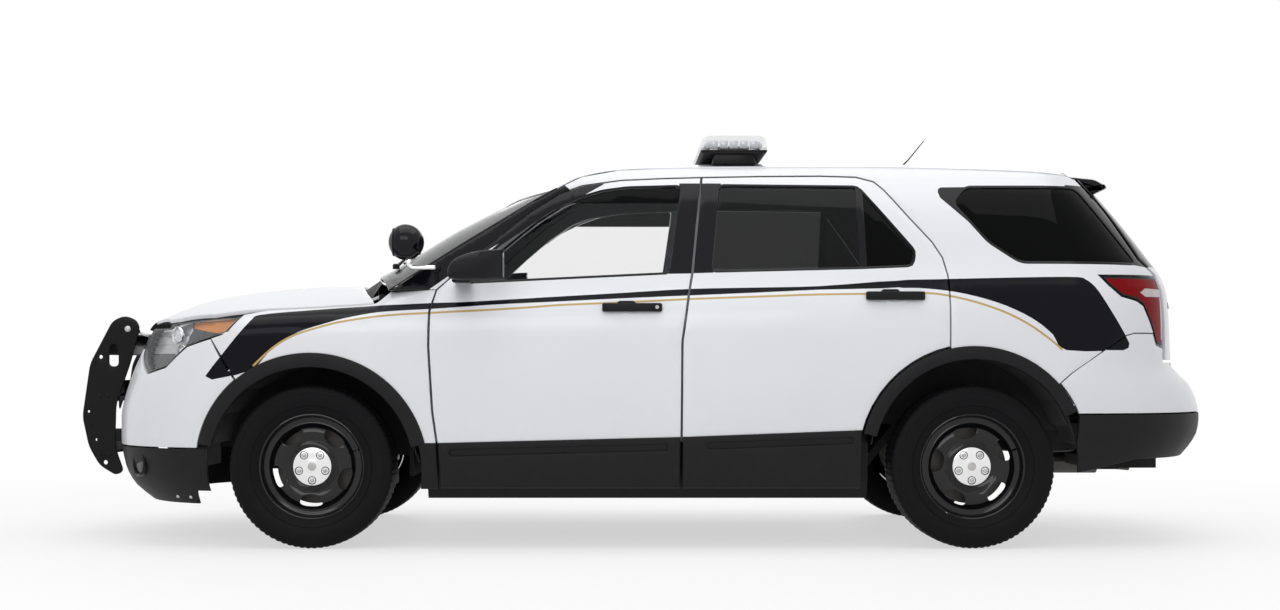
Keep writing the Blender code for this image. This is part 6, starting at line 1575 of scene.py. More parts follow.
v, f, t = panelMesh(loop, [], bonnetSkin, bonnetWall, 0.04, 0.004, (), 1)
parts = [(v, f, t)]
axisX, axisZ = -1.16, 1.10
for side in (-1, 1):
    ys = sorted((side * (halfWidth * bonnetHinge["y"] - bonnetHinge["armHalf"]),
        side * (halfWidth * bonnetHinge["y"] + bonnetHinge["armHalf"])))
    arm = [(axisX + a, axisZ + b) for a, b in bonnetHinge["arm"]]
    parts.append((*slabMesh(arm, ys[0], ys[1], 0.0008), 1))
    eye = [(ys[0], bonnetHinge["hole"]), (ys[0], bonnetHinge["eye"]), (ys[1], bonnetHinge["eye"]),
        (ys[1], bonnetHinge["hole"])]
    parts.append((*latheMesh(eye, (axisX, 0.0, axisZ), 24, "y"), 1))
onePiece("bonnet_skin", parts, "whitePaint jambWhite", "bonnet", ["bonnet"])

# Windscreen with its dark border, and the roof
screenBase = screenCurve(cab(screenBaseShare), edgeStations[0], edgeY(edgeStations[0]), 10)
corner = edgeStations.index(cab(roofFrontShare))
screenTop = screenCurve(cab(screenTopShare), edgeStations[corner], edgeY(edgeStations[corner]), 10)
finerStations = [x for a, b in zip(edgeStations, edgeStations[1:]) for x in (a, (a + b) / 2)] + [edgeStations[-1]]
span = [x for x in finerStations if edgeStations[0] < x < edgeStations[corner]]
half = screenBase + [(x, edgeY(x)) for x in span] + screenTop[::-1]
loop = wholeTop(half)


def topSkin(x, y, depth):
    return x, y, roofZ(x, y) - depth


clear = inset(loop, 0.022)
v, f, t = panelMesh(inset(loop, seatGap), [], topSkin, lambda x, y: glassThickness, 0.04, 0.0015, [clear])
onePiece("windscreen_glass", [(v, f, t)], "glossBlack screenGlass", "car", ["windscreen"])
span = [x for x in finerStations if x > edgeStations[corner]]
half = screenTop + [(x, edgeY(x)) for x in span] + screenCurve(edgeStations[-1], edgeStations[-1],
    edgeY(edgeStations[-1]))[::-1][1:]
loop = wholeTop(half)


def roofSkin(x, y, depth):
    channel = 0.006 * math.exp(-(((abs(y) - edgeY(x) + 0.075) / 0.008) ** 2))
    return x, y, roofZ(x, y) - channel - depth


v, f, t = panelMesh(inset(loop, seatGap), [], roofSkin, lambda x, y: min(roofThickness,
    max(0.005, roofZ(x, y) - edgeZ(x) + glassThickness)), 0.045, 0.0025, (), 1)
gateX, gateZ = edgeStations[-1] + 0.016, edgeZ(edgeStations[-1]) + 0.015
gateHingeY = halfWidth * 0.45
parts = [(v, f, t)]
for side in (-1, 1):
    y = side * gateHingeY
    parts.append((*blockMesh((edgeStations[-1] - 0.01, y - 0.009, gateZ - 0.0072), (gateX - 0.004, y + 0.009,
        gateZ + 0.004), 0.001, 0.001), 1))
    parts.append((*latheMesh([(-0.009, 0.0045), (-0.009, 0.008), (0.009, 0.008), (0.009, 0.0045)],
        (gateX, y, gateZ), 20, "y"), 1))
onePiece("roof_skin", parts, "whitePaint jambWhite", "car", ["roof"])
print("front and roof made")

# Liftgate with its glass, spoiler, number plate recess, handle and wiper
roofEnd = edgeStations[-1]
gateLow, gateHigh = up(gateLowShare), up(gateLineShares[0][1])
sideLine = aroundTail([(aft(a) + gateSideGap, up(b)) for a, b in gateLineShares + gateFootShares])
half = [(0.0, gateHigh)] + sideLine + [(0.0, gateLow)]
glassHigh, glassLow = up(gateGlassHighShare), up(gateGlassLowShare)
wideHigh = endFront(gateGlassHalfShare * sectionWidth(rearRoundStart, glassHigh), glassHigh, rearPlan)
wideLow = endFront(gateGlassHalfShare * sectionWidth(rearRoundStart, glassLow), glassLow, rearPlan)
window = rounded([(-wideLow, glassLow), (wideLow, glassLow), (wideHigh, glassHigh), (-wideHigh, glassHigh)], 0.05,
    6)
black = [(-2.0, 1.232), (2.0, 1.232), (2.0, 1.70), (-2.0, 1.70)]
gatePaints = "whitePaint glossBlack jambWhite"


def gateSkin(s, z, depth):
    p = tailPoint(s, z, depth)
    crease = 0.006 * math.exp(-(((z - 1.06) / 0.02) ** 2)) if depth < 0.02 else 0.0
    fade = max(0.0, 1 - abs(s) / 0.75)
    return p.x - crease * fade, p.y, z


gate = endPanel("liftgate_skin", bothHalves(half), [window], gateSkin, gateThickness, gatePaints, "liftgate",
    ["liftgate"], [(black, 1)], 0.035, 0.003, 2)
boxes = []
for side in (-1, 1):
    y = side * gateHingeY
    boxes.append(((gateX - 0.020, y - 0.016, gateZ - 0.022), (gateX + 0.020, y + 0.016, gateZ + 0.022)))
start = roofEnd + shutGap
profile = [(start + a * spoilerLength, edgeZ(roofEnd) + up(b)) for a, b in spoilerShares]
spoilerWide = sectionWidth(roofEnd, gateHigh) * spoilerHalfShare
spoiler = slabMesh(rounded(profile, [0.004, 0.02, 0.012, 0.01, 0.01, 0.004], 4), -spoilerWide, spoilerWide, 0.02)
whiteLip = slabMesh(rounded([(start + 0.145, edgeZ(roofEnd) + up(-0.0445)), (start + 0.205,
    edgeZ(roofEnd) + up(-0.0275)), (start + 0.135, edgeZ(roofEnd) + up(-0.0475))], 0.003, 2), -spoilerWide + 0.012,
    spoilerWide - 0.012, 0.002)
wing = onePiece("spoiler", [(*spoiler, 0), (*whiteLip, 1)], "glossBlack whitePaint", "liftgate")
cutAway(gate, boxes)
cutAway(wing, boxes)
ears = []
rowsOfEar = ((-0.006, -0.020), (-0.007, 0.0), (-0.005, 0.005), (0.0, 0.007), (0.006, 0.005), (0.034, -0.014),
    (0.030, -0.024))
for side in (-1, 1):
    y = side * gateHingeY
    for startY in (y + 0.016, y - 0.016 - 0.006):
        ears.append((*slabMesh([(gateX + a, gateZ + b) for a, b in rowsOfEar], startY, startY + 0.006, 0.0008), 0))
    ears.append((*tubeMesh([(gateX, y - 0.019, gateZ), (gateX, y + 0.019, gateZ)], 0.0036, 12), 0))
onePiece("liftgate_hinges", ears, "brushedSteel", "liftgate")


def paneSkin(s, z, depth):
    p = tailPoint(s, z, depth + glassInset)
    return p.x, p.y, z


endPanel("liftgate_glass", inset(window, seamGap), [], paneSkin, glassThickness, "tintedGlass", "liftgate",
    ["glass_rear"], (), 0.04, 0.0015)
sealLine = [tailPoint(s, z, 0.003) for s, z in finer(inset(window, 0.0015), 0.04)]
onePiece("liftgate_seal", [(*tubeMesh(sealLine + sealLine[:1], 0.0022, 8), 0)], "rubberSeal", "liftgate")


def onGate(s, z, out):
    p = tailPoint(s, z, -out)
    return p.x, p.y, z


plateLoop = rounded([(-0.155, 0.885), (0.155, 0.885), (0.155, 1.035), (-0.155, 1.035)], 0.008, 3)
plate = panelMesh(plateLoop, [], lambda s, z, d: onGate(s, z, 0.006 - d), lambda s, z: 0.004, 0.02, 0.001)
frameHole = inset(plateLoop, 0.006)
surround = panelMesh(inset(plateLoop, -0.012), [frameHole], lambda s, z, d: onGate(s, z, 0.010 - d),
    lambda s, z: 0.010, 0.02, 0.002)
garnish = panelMesh(rounded([(-0.36, 1.052), (0.36, 1.052), (0.345, 1.088), (-0.345, 1.088)], 0.012, 4), [],
    lambda s, z, d: onGate(s, z, 0.020 - d), lambda s, z: 0.020, 0.02, 0.005)
onePiece("plate_and_handle", [(*plate[:2], 0), (*surround[:2], 1), (*garnish[:2], 1)], "blankPlate glossBlack",
    "liftgate")
pivot = Vector(onGate(0.0, 1.218, 0.010))
cap = latheMesh([(-0.014, 0.0005), (-0.014, 0.022), (0.004, 0.022), (0.012, 0.014), (0.014, 0.0005)], tuple(pivot),
    24, "x")
armLine = [Vector(onGate(s, 1.222 + abs(s) * 0.28, 0.016)) for s in (0.0, -0.08, -0.16, -0.24)]
bladeLine = [Vector(onGate(s, 1.250 + abs(s) * 0.10, 0.006)) for s in (-0.06, -0.14, -0.22, -0.30, -0.37)]
onePiece("rear_wiper", [(*cap, 0), (*tubeMesh(armLine, 0.0045, 8), 0), (*tubeMesh(bladeLine, 0.0040, 8), 0)],
    "blackPlastic", "liftgate")

# Tail lamps: dark tub, ribbed red lens with its clear strip
tail = inset(tailLampLoop(), lampGap * 2)
clearBand = aroundTail([(2.172, 1.112), (2.200, 1.131), (2.315, 1.129), (2.315, 1.096), (2.200, 1.094)])
clearEdge = aroundTail([(2.288, 1.092), (2.33, 1.092), (2.33, 0.905), (2.290, 0.905)])
darkRim = inset(tail, 0.008)
lampPaints = "glossBlack redPlastic clearStrip"


def tailLensSkin(s, z, depth):
    inner = 0.0012 * math.cos(2 * math.pi * z / 0.012)
    return leftTail(s, z, depth + inner)


endPair("tail_lamp_body", tail, [], tailLensSkin, 0.02, lampPaints, "car", ["tail_lamp_{hand}"], [(darkRim, 1),
    (clearBand, 2), (clearEdge, 2)], 0.012, 0.003)

# Rear bumper with its black step pad and the end of the side graphic, and the skirt below it
line = [(aft(a), up(b)) for a, b in rearBumperLineShares]
angle = math.degrees(math.atan2(line[-1][1] - rearArchZ, line[-1][0] - rearAxleX))
rearArc = arc(rearWheel, rearFlare, angle, footRise(up(skirtHighShare)), 12)
top = up(gateLowShare) - shutGap
footX, footZ = aft(gateFootShares[2][0]), up(gateFootShares[2][1])
lampFoot = [(aft(a), up(b)) for a, b in lampFootShares[::-1]]
half = [(0.0, top)] + aroundTail([(footX, top), (footX, footZ)] + lampFoot + line + rearArc) + [(0.0,
    up(skirtHighShare))]
topPad = [(-0.62, 0.79), (0.62, 0.79), (0.62, 0.9), (-0.62, 0.9)]
tailBlack = aroundTail([(1.90, 1.2), (1.953, 1.134), (1.999, 1.063), (2.088, 0.923), (2.107, 0.889), (2.102, 0.869),
    (2.078, 0.859), (1.80, 0.859), (1.80, 1.2)])
endPanel("rear_bumper_cover", inset(bothHalves(half), seamGap), [], tailSkin, coverThickness,
    "whitePaint blackPlastic blackVinyl", "car", ["rear_bumper"], [(topPad, 1), (tailBlack, 2),
    ([(-s, z) for s, z in tailBlack], 2)])
high, low, tip = up(skirtHighShare), up(rearSkirtLowShare), up(rearSkirtNoseShare)
openX = rearAxleX + rearOpening
shoulder = (rearAxleX + rearFlare * math.cos(math.radians(footRise(high))), high)
half = [(0.0, high)] + aroundTail([shoulder, (openX + linerGap, up(0.262)), (openX + linerGap * 2, low),
    (aft(0.62), tip)]) + [(0.0, tip)]
endPanel("rear_skirt_cover", inset(bothHalves(half), seamGap), [], tailSkin, coverThickness, "blackPlastic", "car",
    ["rear_skirt"])
print("tail made")

# Tyres with a grooved tread, and steel wheels
wheelFacts = {"tyreSegments": 240, "turn": {"front": 268, "rear": 99}, "grooves": (-0.052, -0.018, 0.018, 0.052),
    "nutCircle": 0.060, "calliper": (0.187, 0.172), "rimShare": 0.80}


def tyreProfile():
    half = tyreWidth / 2
    bead = rimRadius + beadGap
    outside = [(0.79, bead), (0.86, bead + 0.010), (0.94, 0.262), (0.992, 0.283), (1.0, 0.297), (0.992, 0.312),
        (0.975, 0.324)]
    outside += [(0.955, 0.334), (0.93, 0.343), (0.88, 0.3500), (0.82, 0.3535)]
    rowsOut = [(a * half, r) for a, r in outside]
    tread = []
    for g in wheelFacts["grooves"][::-1]:
        tread += [(g + 0.0075, 0.3548), (g + 0.0055, 0.3480), (g - 0.0055, 0.3480), (g - 0.0075, 0.3548)]
    mirror = [(-a, r) for a, r in rowsOut[::-1]]
    return rowsOut + tread + mirror


def makeTyre(name, centre, side, body, node):
    profile = [(side * a, r) for a, r in tyreProfile()]
    count = wheelFacts["tyreSegments"]
    v, f = latheMesh(profile, (0, 0, 0), count, "y")
    size = len(profile)
    cut = []
    for k, p in enumerate(v):
        ring, row = divmod(k, size)
        a, r = profile[row]
        x, y, z = p
        deep = 0.0
        if r > 0.340 and abs(a) > 0.060:
            deep = 0.0035 if ring % 3 == 0 else 0.0
        elif r > 0.3530 and ring % 3 == 0:
            deep = 0.0025
        scale = (r - deep) / r
        cut.append((x * scale + centre[0], y + centre[1], z * scale + centre[2]))
    ribs = []
    for r in (0.262, 0.318):
        a = side * (tyreWidth / 2) * (0.95 if r < 0.3 else 0.978)
        ribs.append((*latheMesh([(a, r - 0.0015), (a + side * 0.0015, r), (a, r + 0.0015), (a - side * 0.002, r)],
            centre, 96, "y"), 0))
    onePiece(name, [(cut, f, 0)] + ribs, "tyreRubber", body, [node], 30)


def rimFace(r):
    face = tyreWidth / 2 * wheelFacts["rimShare"] - rimDish
    rows = ((0.060, face - 0.006), (0.085, face - 0.010), (0.100, face - 0.006), (0.120, face + 0.006),
        (0.142, face + 0.0115), (0.166, face + 0.006), (0.180, face - 0.006), (0.196, face - 0.012),
        (0.2130, face - 0.004))
    return smooth(rows, r)


def makeWheel(name, centre, side, body, node):
    slots = []
    for k in range(rimSlotCount):
        turn = math.radians(wheelFacts["turn"][body.split("_")[1]] + 360 * k / rimSlotCount)
        loop = []
        for n in range(32):
            t = 2 * math.pi * n / 32
            u = 0.047 * math.copysign(abs(math.cos(t)) ** 0.8, math.cos(t))
            w = 0.148 + 0.026 * math.copysign(abs(math.sin(t)) ** 0.8, math.sin(t))
            spread = u * (w / 0.148) ** 1.3
            loop.append((w * math.cos(turn) - spread * math.sin(turn), w * math.sin(turn) + spread * math.cos(
                turn)))
        slots.append(loop)
    ring, hole = circle(0.2125, 96), circle(0.055, 40)

    def skin(u, w, depth):
        return centre[0] + u, centre[1] + side * (rimFace(math.hypot(u, w)) - depth), centre[2] + w

    circles = [circle(r, 72) for r in (0.204, 0.196, 0.188, 0.181)]
    v, f, _ = panelMesh(ring, [hole] + slots, skin, lambda u, w: 0.005, 0.0085, 0.0018, circles)
    half = tyreWidth / 2 * wheelFacts["rimShare"]
    face = half - rimDish
    barrel = [(half - 0.001, rimRadius - 0.0005), (half, rimRadius - 0.004), (half - 0.004, rimRadius - 0.009),
        (half - 0.012, rimRadius - 0.012), (face + 0.004, 0.2145), (face - 0.003, 0.2130), (face - 0.010, 0.2130),
        (0.02, 0.1995), (-0.02, 0.1990), (-half + 0.02, 0.2120), (-half, rimRadius - 0.008),
        (-half, rimRadius - 0.0008), (-half + 0.010, rimRadius - 0.002), (-half + 0.024, 0.2180), (-0.02, 0.2055),
        (0.022, 0.2055), (half - 0.022, 0.2190), (half - 0.010, rimRadius - 0.002)]
    barrelMesh = latheMesh([(side * a, r) for a, r in barrel], centre, 96, "y")
    back = latheMesh([(side * a, r) for a, r in [(0.012, 0.002), (0.012, 0.06), (0.045, 0.06), (0.074, 0.075),
        (0.078, 0.070), (0.078, 0.002)]], centre, 48, "y")
    capFace = face + 0.022
    cap = [(face - 0.012, 0.0840), (face + 0.010, 0.0845), (face + 0.0145, 0.0825), (face + 0.017, 0.078),
        (face + 0.0185, 0.045), (face + 0.020, 0.030), (capFace, 0.024), (capFace, nearAxis), (face - 0.010,
        nearAxis)]
    capMesh = latheMesh([(side * a, r) for a, r in cap], centre, 64, "y")
    hub = latheMesh([(side * a, r) for a, r in [(capFace - 0.001, nearAxis), (capFace - 0.001, 0.019),
        (capFace + 0.001, 0.018), (capFace + 0.002, 0.012), (capFace + 0.0024, nearAxis)]], centre, 40, "y")
    nuts, nutCircle = [], wheelFacts["nutCircle"]
    for k in range(rimSlotCount):
        turn = math.radians(54 + 72 * k)
        across, rise = nutCircle * math.cos(turn), nutCircle * math.sin(turn)
        place = (centre[0] + across, centre[1] + side * (face + 0.014), centre[2] + rise)
        ringRows = [(0.0, 0.0125), (side * 0.0048, 0.0150), (side * 0.0048, 0.0180), (0.0, 0.0195)]
        nuts.append((*latheMesh(ringRows, place, 20, "y"), 3))
        loop = [(place[0] + 0.0105 * math.cos(math.radians(60 * n) + turn),
            place[2] + 0.0105 * math.sin(math.radians(60 * n) + turn)) for n in range(6)]
        ends = sorted((place[1], place[1] + side * 0.0135))
        nuts.append((*slabMesh(loop, ends[0], ends[1], 0.002), 2))
    valve = math.radians(20)
    foot = Vector((centre[0] + 0.196 * math.cos(valve), centre[1] + side * (face + 0.002),
        centre[2] + 0.196 * math.sin(valve)))
    stem = tubeMesh([foot, foot + Vector((0, side * 0.022, 0))], [0.0045, 0.0035], 10)
    parts = [(v, f, 0), (*barrelMesh, 0), (*back, 0), (*capMesh, 1), (*hub, 2)] + nuts + [(*stem, 3)]
    onePiece(name, parts, "wheelBlack chrome brushedSteel rubberSeal", body, [node])


places = {"front": frontAxleX, "rear": rearAxleX}
for end, x in places.items():
    for side, hand in sides:
        centre = (x, side * track / 2, tyreRadius)
        body = f"wheel_{end}_{hand}"
        makeTyre(f"tyre_tread_{end}_{hand}", centre, side, body, f"tyre_{end}_{hand}")
        makeWheel(f"steel_wheel_{end}_{hand}", centre, side, body, f"rim_{end}_{hand}")
        carrier = f"steer_{hand}" if end == "front" else "car"
        disc = [(0.0, 0.075), (0.0, 0.165), (-0.009, 0.166), (-0.009, 0.120), (-0.017, 0.120), (-0.017, 0.166),
            (-0.026, 0.165), (-0.026, 0.075)]
        discMesh = latheMesh([(side * (a - 0.012), r) for a, r in disc], centre, 72, "y")
        onePiece(f"brake_disc_{end}_{hand}", [(*discMesh, 0)], "castIron", body)
        start, finish = (20, 75) if end == "front" else (105, 160)
        outer, inner = wheelFacts["calliper"]
        loop = arc((centre[0], centre[2]), outer, start, finish, 8) + arc((centre[0], centre[2]), inner, finish,
            start, 8)
        ends = sorted((centre[1], centre[1] - side * 0.085))
        calliper = slabMesh(loop, ends[0], ends[1], 0.004)
        onePiece(f"brake_calliper_{end}_{hand}", [(*calliper, 0)], "castIron", carrier)
print("wheels made")

# Push bumper: side plates with holes, channels, struts and bolts
tip = noseX - pushStandoff
plateRows = [(0.00, 0.32), (0.035, 0.46), (0.14, 0.575), (0.20, 0.588), (0.25, 0.575), (0.265, 0.555), (0.22, 0.46)]
plateRows += [(0.155, 0.353), (0.150, 0.240), (0.19, 0.175), (0.155, 0.164), (0.08, 0.19), (0.03, 0.24)]
plateLoop = rounded([(tip + a, up(b)) for a, b in plateRows], 0.03, 5)
holeRows = [(-2.500, 0.832, 0.009), (-2.478, 0.345, 0.010), (-2.556, 0.580, 0.006), (-2.520, 0.450, 0.006)]
plateHoles = [[(x + u, z + w) for u, w in circle(r, 12)] for x, z, r in holeRows]
plateHoles.append(rounded([(-2.462, 0.788), (-2.418, 0.788), (-2.418, 0.890), (-2.462, 0.890)], 0.020, 4))
pushParts = []
outerHalf, innerHalf = halfWidth * 0.397, halfWidth * 0.385
v, f, t = panelMesh(plateLoop, plateHoles, lambda x, z, d: (x, -(outerHalf - d), z),
    lambda x, z: outerHalf - innerHalf, 0.03, 0.002)
pushParts += [(v, f, 0), (*mirrored(v, f), 0)]
for front, share in ((0.065, 0.2184), (0.03, 0.3563), (0.115, 0.4828)):
    x, z = tip + front, up(share)
    rib = [(x, z), (x + 0.04, z), (x + 0.04, z + 0.006), (x + 0.006, z + 0.006), (x + 0.006, z + 0.094),
        (x + 0.04, z + 0.094), (x + 0.04, z + 0.10), (x, z + 0.10)]
    v, f = slabMesh(rounded(rib, [0.006, 0.002, 0.002, 0.002, 0.002, 0.002, 0.002, 0.006], 2), -halfWidth * 0.386,
        halfWidth * 0.386, 0.001)
    pushParts.append((v, f, 0))
    pad = slabMesh(rounded([(x - 0.004, z + 0.02), (x + 0.001, z + 0.02), (x + 0.001, z + 0.08),
        (x - 0.004, z + 0.08)], 0.0015), -0.33, 0.33, 0.004)
    pushParts.append((*pad, 1))
for side in (-1, 1):
    y = side * halfWidth * 0.3975
    for x, z in ((-2.505, 0.651), (-2.466, 0.651), (-2.549, 0.517), (-2.503, 0.379), (-2.461, 0.381),
            (-2.375, 0.961)):
        pushParts.append((*boltMesh((x, y, z), 0.011 if z > 0.9 else 0.007, "y", side), 2 if z > 0.9 else 0))
    ys = sorted((side * 0.33, side * 0.39))
    reach = nosePoint(endFront(0.33, 0.44, frontPlan), 0.44).x - 0.001
    arm = [(tip + 0.10, 0.44), (reach, 0.44), (reach, 0.50), (tip + 0.10, 0.50)]
    pushParts.append((*slabMesh(rounded(arm, 0.004, 2), ys[0], ys[1], 0.002), 0))
    for low, high, at in ((0.660, 0.775, -2.395), (0.590, 0.650, -2.42)):
        gusset = [(tip + 0.17, low), (at, low + 0.01), (at, high), (tip + 0.19, high)]
        pushParts.append((*slabMesh(rounded(gusset, 0.006, 2), *sorted((side * 0.372, side * 0.384)), 0.001), 0))
    strutSideY = side * 0.36
    a, b = (-2.360, strutSideY, 0.956), (-2.262, side * 0.34, 0.930)
    pushParts.append((*tubeMesh([a, (-2.345, strutSideY, 0.955), (-2.30, side * 0.35, 0.944), b], [0.012, 0.014,
        0.017, 0.017], 16), 3))
onePiece("push_bumper_frame", pushParts, "powderBlack rubberSeal brushedSteel chrome", "car", ["push_bumper"])

# Light bar: base, feet, lamp modules and the clear lens
barFacts = {"x": 0.41, "low": 1.747, "length": 0.30, "half": 0.60, "modules": 9}
barX, barHalf, half = barFacts["x"], barFacts["half"], barFacts["length"] / 2
low, high = barFacts["low"], barFacts["low"] + 0.018
profile = [(barX - half, low + 0.010), (barX - half + 0.014, low), (barX + half - 0.014, low), (barX + half,
    low + 0.010), (barX + half, high), (barX - half, high)]
barParts = [(*slabMesh(rounded(profile, 0.003, 3), -barHalf, barHalf, 0.006), 0)]
footY = min(edgeY(barX), barHalf + edgeY(barX) * 0.3) - 0.02
for side in (-1, 1):
    ys = sorted((side * (barHalf - 0.05), side * footY))
    barParts.append((*blockMesh((barX - 0.10, ys[0], low + 0.003), (barX + 0.10, ys[1], low + 0.02), 0.004, 0.004),
        1))
    ys = sorted((side * (footY - 0.05), side * footY))
    z = roofZ(barX, footY - 0.05) + 0.0003
    shank = [(barX - 0.10, z), (barX + 0.10, z), (barX + 0.085, low + 0.01), (barX - 0.085, low + 0.01)]
    barParts.append((*slabMesh(rounded(shank, 0.006, 3), ys[0], ys[1], 0.004), 1))
    for x in (barX - 0.05, barX + 0.05):
        barParts.append((*boltMesh((x, side * footY, low + 0.011), 0.006, "y", side), 2))
onePiece("light_bar_tray", barParts, "blackPlastic powderBlack brushedSteel", "car", ["light_bar_base"])
z = high + 0.0003
lens = [(barX - half, z), (barX + half, z), (barX + half - 0.004, z + 0.050), (barX + half - 0.026, z + 0.066),
    (barX - half + 0.026, z + 0.066), (barX - half + 0.004, z + 0.050)]
shellParts = []
outer = rounded(lens, [0.003, 0.003, 0.012, 0.015, 0.015, 0.012], 4)
edges = [-barHalf + 0.001, -0.2, 0.2, barHalf - 0.001]
for a, b in zip(edges, edges[1:]):
    shellParts.append((*slabMesh(outer, a + 0.0015, b - 0.0015, 0.010), 0))
onePiece("light_bar_cover", shellParts, "barLens", "car", ["light_bar_lens"])
lights = []
step = 2 * (barHalf - 0.05) / barFacts["modules"]
for k in range(barFacts["modules"]):
    y = -barHalf + 0.05 + step * (k + 0.5)
    for way in (-1, 1):
        x = barX + way * (half - 0.045)
        back = sorted((x, x + way * 0.018))
        lights.append((*blockMesh((back[0], y - step * 0.43, z + 0.008), (back[1], y + step * 0.43, z + 0.042),
            0.003, 0.003), 0))
        for n in range(4):
            yy = y + step * 0.2 * (n - 1.5)
            dome = latheMesh([(0.0, nearAxis), (0.0, 0.012), (way * 0.004, 0.011), (way * 0.008, 0.006),
                (way * 0.009, 0.0004)], (x + way * 0.018, yy, z + 0.028), 16, "x")
            lights.append((*dome, 1))
for side in (-1, 1):
    for n in range(5):
        x = barX - 0.09 + 0.045 * n
        ys = sorted((side * (barHalf - 0.022), side * (barHalf - 0.034)))
        lights.append((*blockMesh((x - 0.018, ys[0], z + 0.008), (x + 0.018, ys[1], z + 0.042), 0.003, 0.002), 0))
        dome = latheMesh([(0.0, nearAxis), (0.0, 0.012), (side * 0.004, 0.010), (side * 0.007, nearAxis)],
            (x, side * (barHalf - 0.022), z + 0.028), 16, "y")
        lights.append((*dome, 1))
lights.append((*blockMesh((barX - 0.07, -barHalf + 0.05, z + 0.001), (barX + 0.07, barHalf - 0.05, z + 0.02), 0.003,
    0.003), 2))
onePiece("light_bar_modules", lights, "reflector ledClear lampDark", "car")

# Aerial: how far its tip lies behind its foot, and above the roof
aerialFacts = {"lean": 0.105, "height": 0.1365}
aerialX = edgeStations[-5]
z = roofZ(aerialX, 0.0) + 0.0003
base = latheMesh([(0.0, nearAxis), (0.0, 0.022), (0.004, 0.022), (0.010, 0.016), (0.018, 0.009), (0.022, 0.006),
    (0.022, nearAxis)], (aerialX, 0.0, z), 32, "z")
whip = tubeMesh([(aerialX, 0, z + 0.015), (aerialX + 0.03, 0, z + 0.045), (aerialX + aerialFacts["lean"], 0,
    z + aerialFacts["height"])], [0.0045, 0.003, 0.002], 10)
onePiece("aerial_mast", [(*base, 0), (*whip, 0)], "blackPlastic", "car", ["aerial"])

# Pillar spotlight with its bezel, lens and stem
spotX, spotY, spotZ = cab(-0.041), -halfWidth * 0.96, up(0.762)
spotRadius, spotStem = 0.078, 0.010
spotAt = (spotX, spotY, spotZ)
shellRows = [(-0.052, nearAxis), (-0.052, 0.056)]
shellRows += [(-spotRadius * math.cos(math.radians(a)), spotRadius * math.sin(math.radians(a))) for a in range(48,
    180, 6)] + [(spotRadius, nearAxis)]
spotShell = latheMesh(shellRows, spotAt, 64, "x")
bezel = latheMesh([(-0.058, 0.0560), (-0.056, 0.0600), (-0.050, 0.0615), (-0.050, 0.0560)], spotAt, 64, "x")
pillarX = cab(0.01)
pillarZ = edgeZ(pillarX) - 4 * spotStem
pillarY = -flankY(pillarX - spotStem, pillarZ - spotStem) - 0.0024
stem = [(spotX + 0.012, spotY, spotZ - 0.070), (spotX + 0.012, spotY, pillarZ + 0.014), (spotX + 0.020, spotY,
    pillarZ + 0.004), (spotX + 0.034, spotY, pillarZ), (pillarX - 0.012, spotY, pillarZ)]
stem += [(pillarX, spotY + 0.010, pillarZ), (pillarX, pillarY, pillarZ)]
stemMesh = tubeMesh(curved(stem, 4), 0.0095, 16)
collar = latheMesh([(0.0, 0.010), (0.0, 0.016), (0.014, 0.014), (0.014, 0.010)], (spotX + 0.012, spotY,
    spotZ - 0.088), 24, "z")
flange = latheMesh([(0.0, nearAxis), (0.0, 0.022), (-0.006, 0.020), (-0.010, 0.010), (-0.010, nearAxis)],
    (pillarX, pillarY + 0.001, pillarZ), 24, "y")
onePiece("spotlight_head", [(*spotShell, 0), (*bezel, 0), (*stemMesh, 1), (*collar, 1), (*flange, 2)],
    "glossBlack chrome blackPlastic", "car", ["spotlight"])
face = latheMesh([(-0.076, nearAxis), (-0.0745, 0.016), (-0.070, 0.031), (-0.063, 0.044), (-0.055, 0.0545),
    (-0.050, 0.0555), (-0.050, nearAxis)], spotAt, 48, "x")
onePiece("spotlight_lens", [(*face, 0)], "glossBlack", "car")

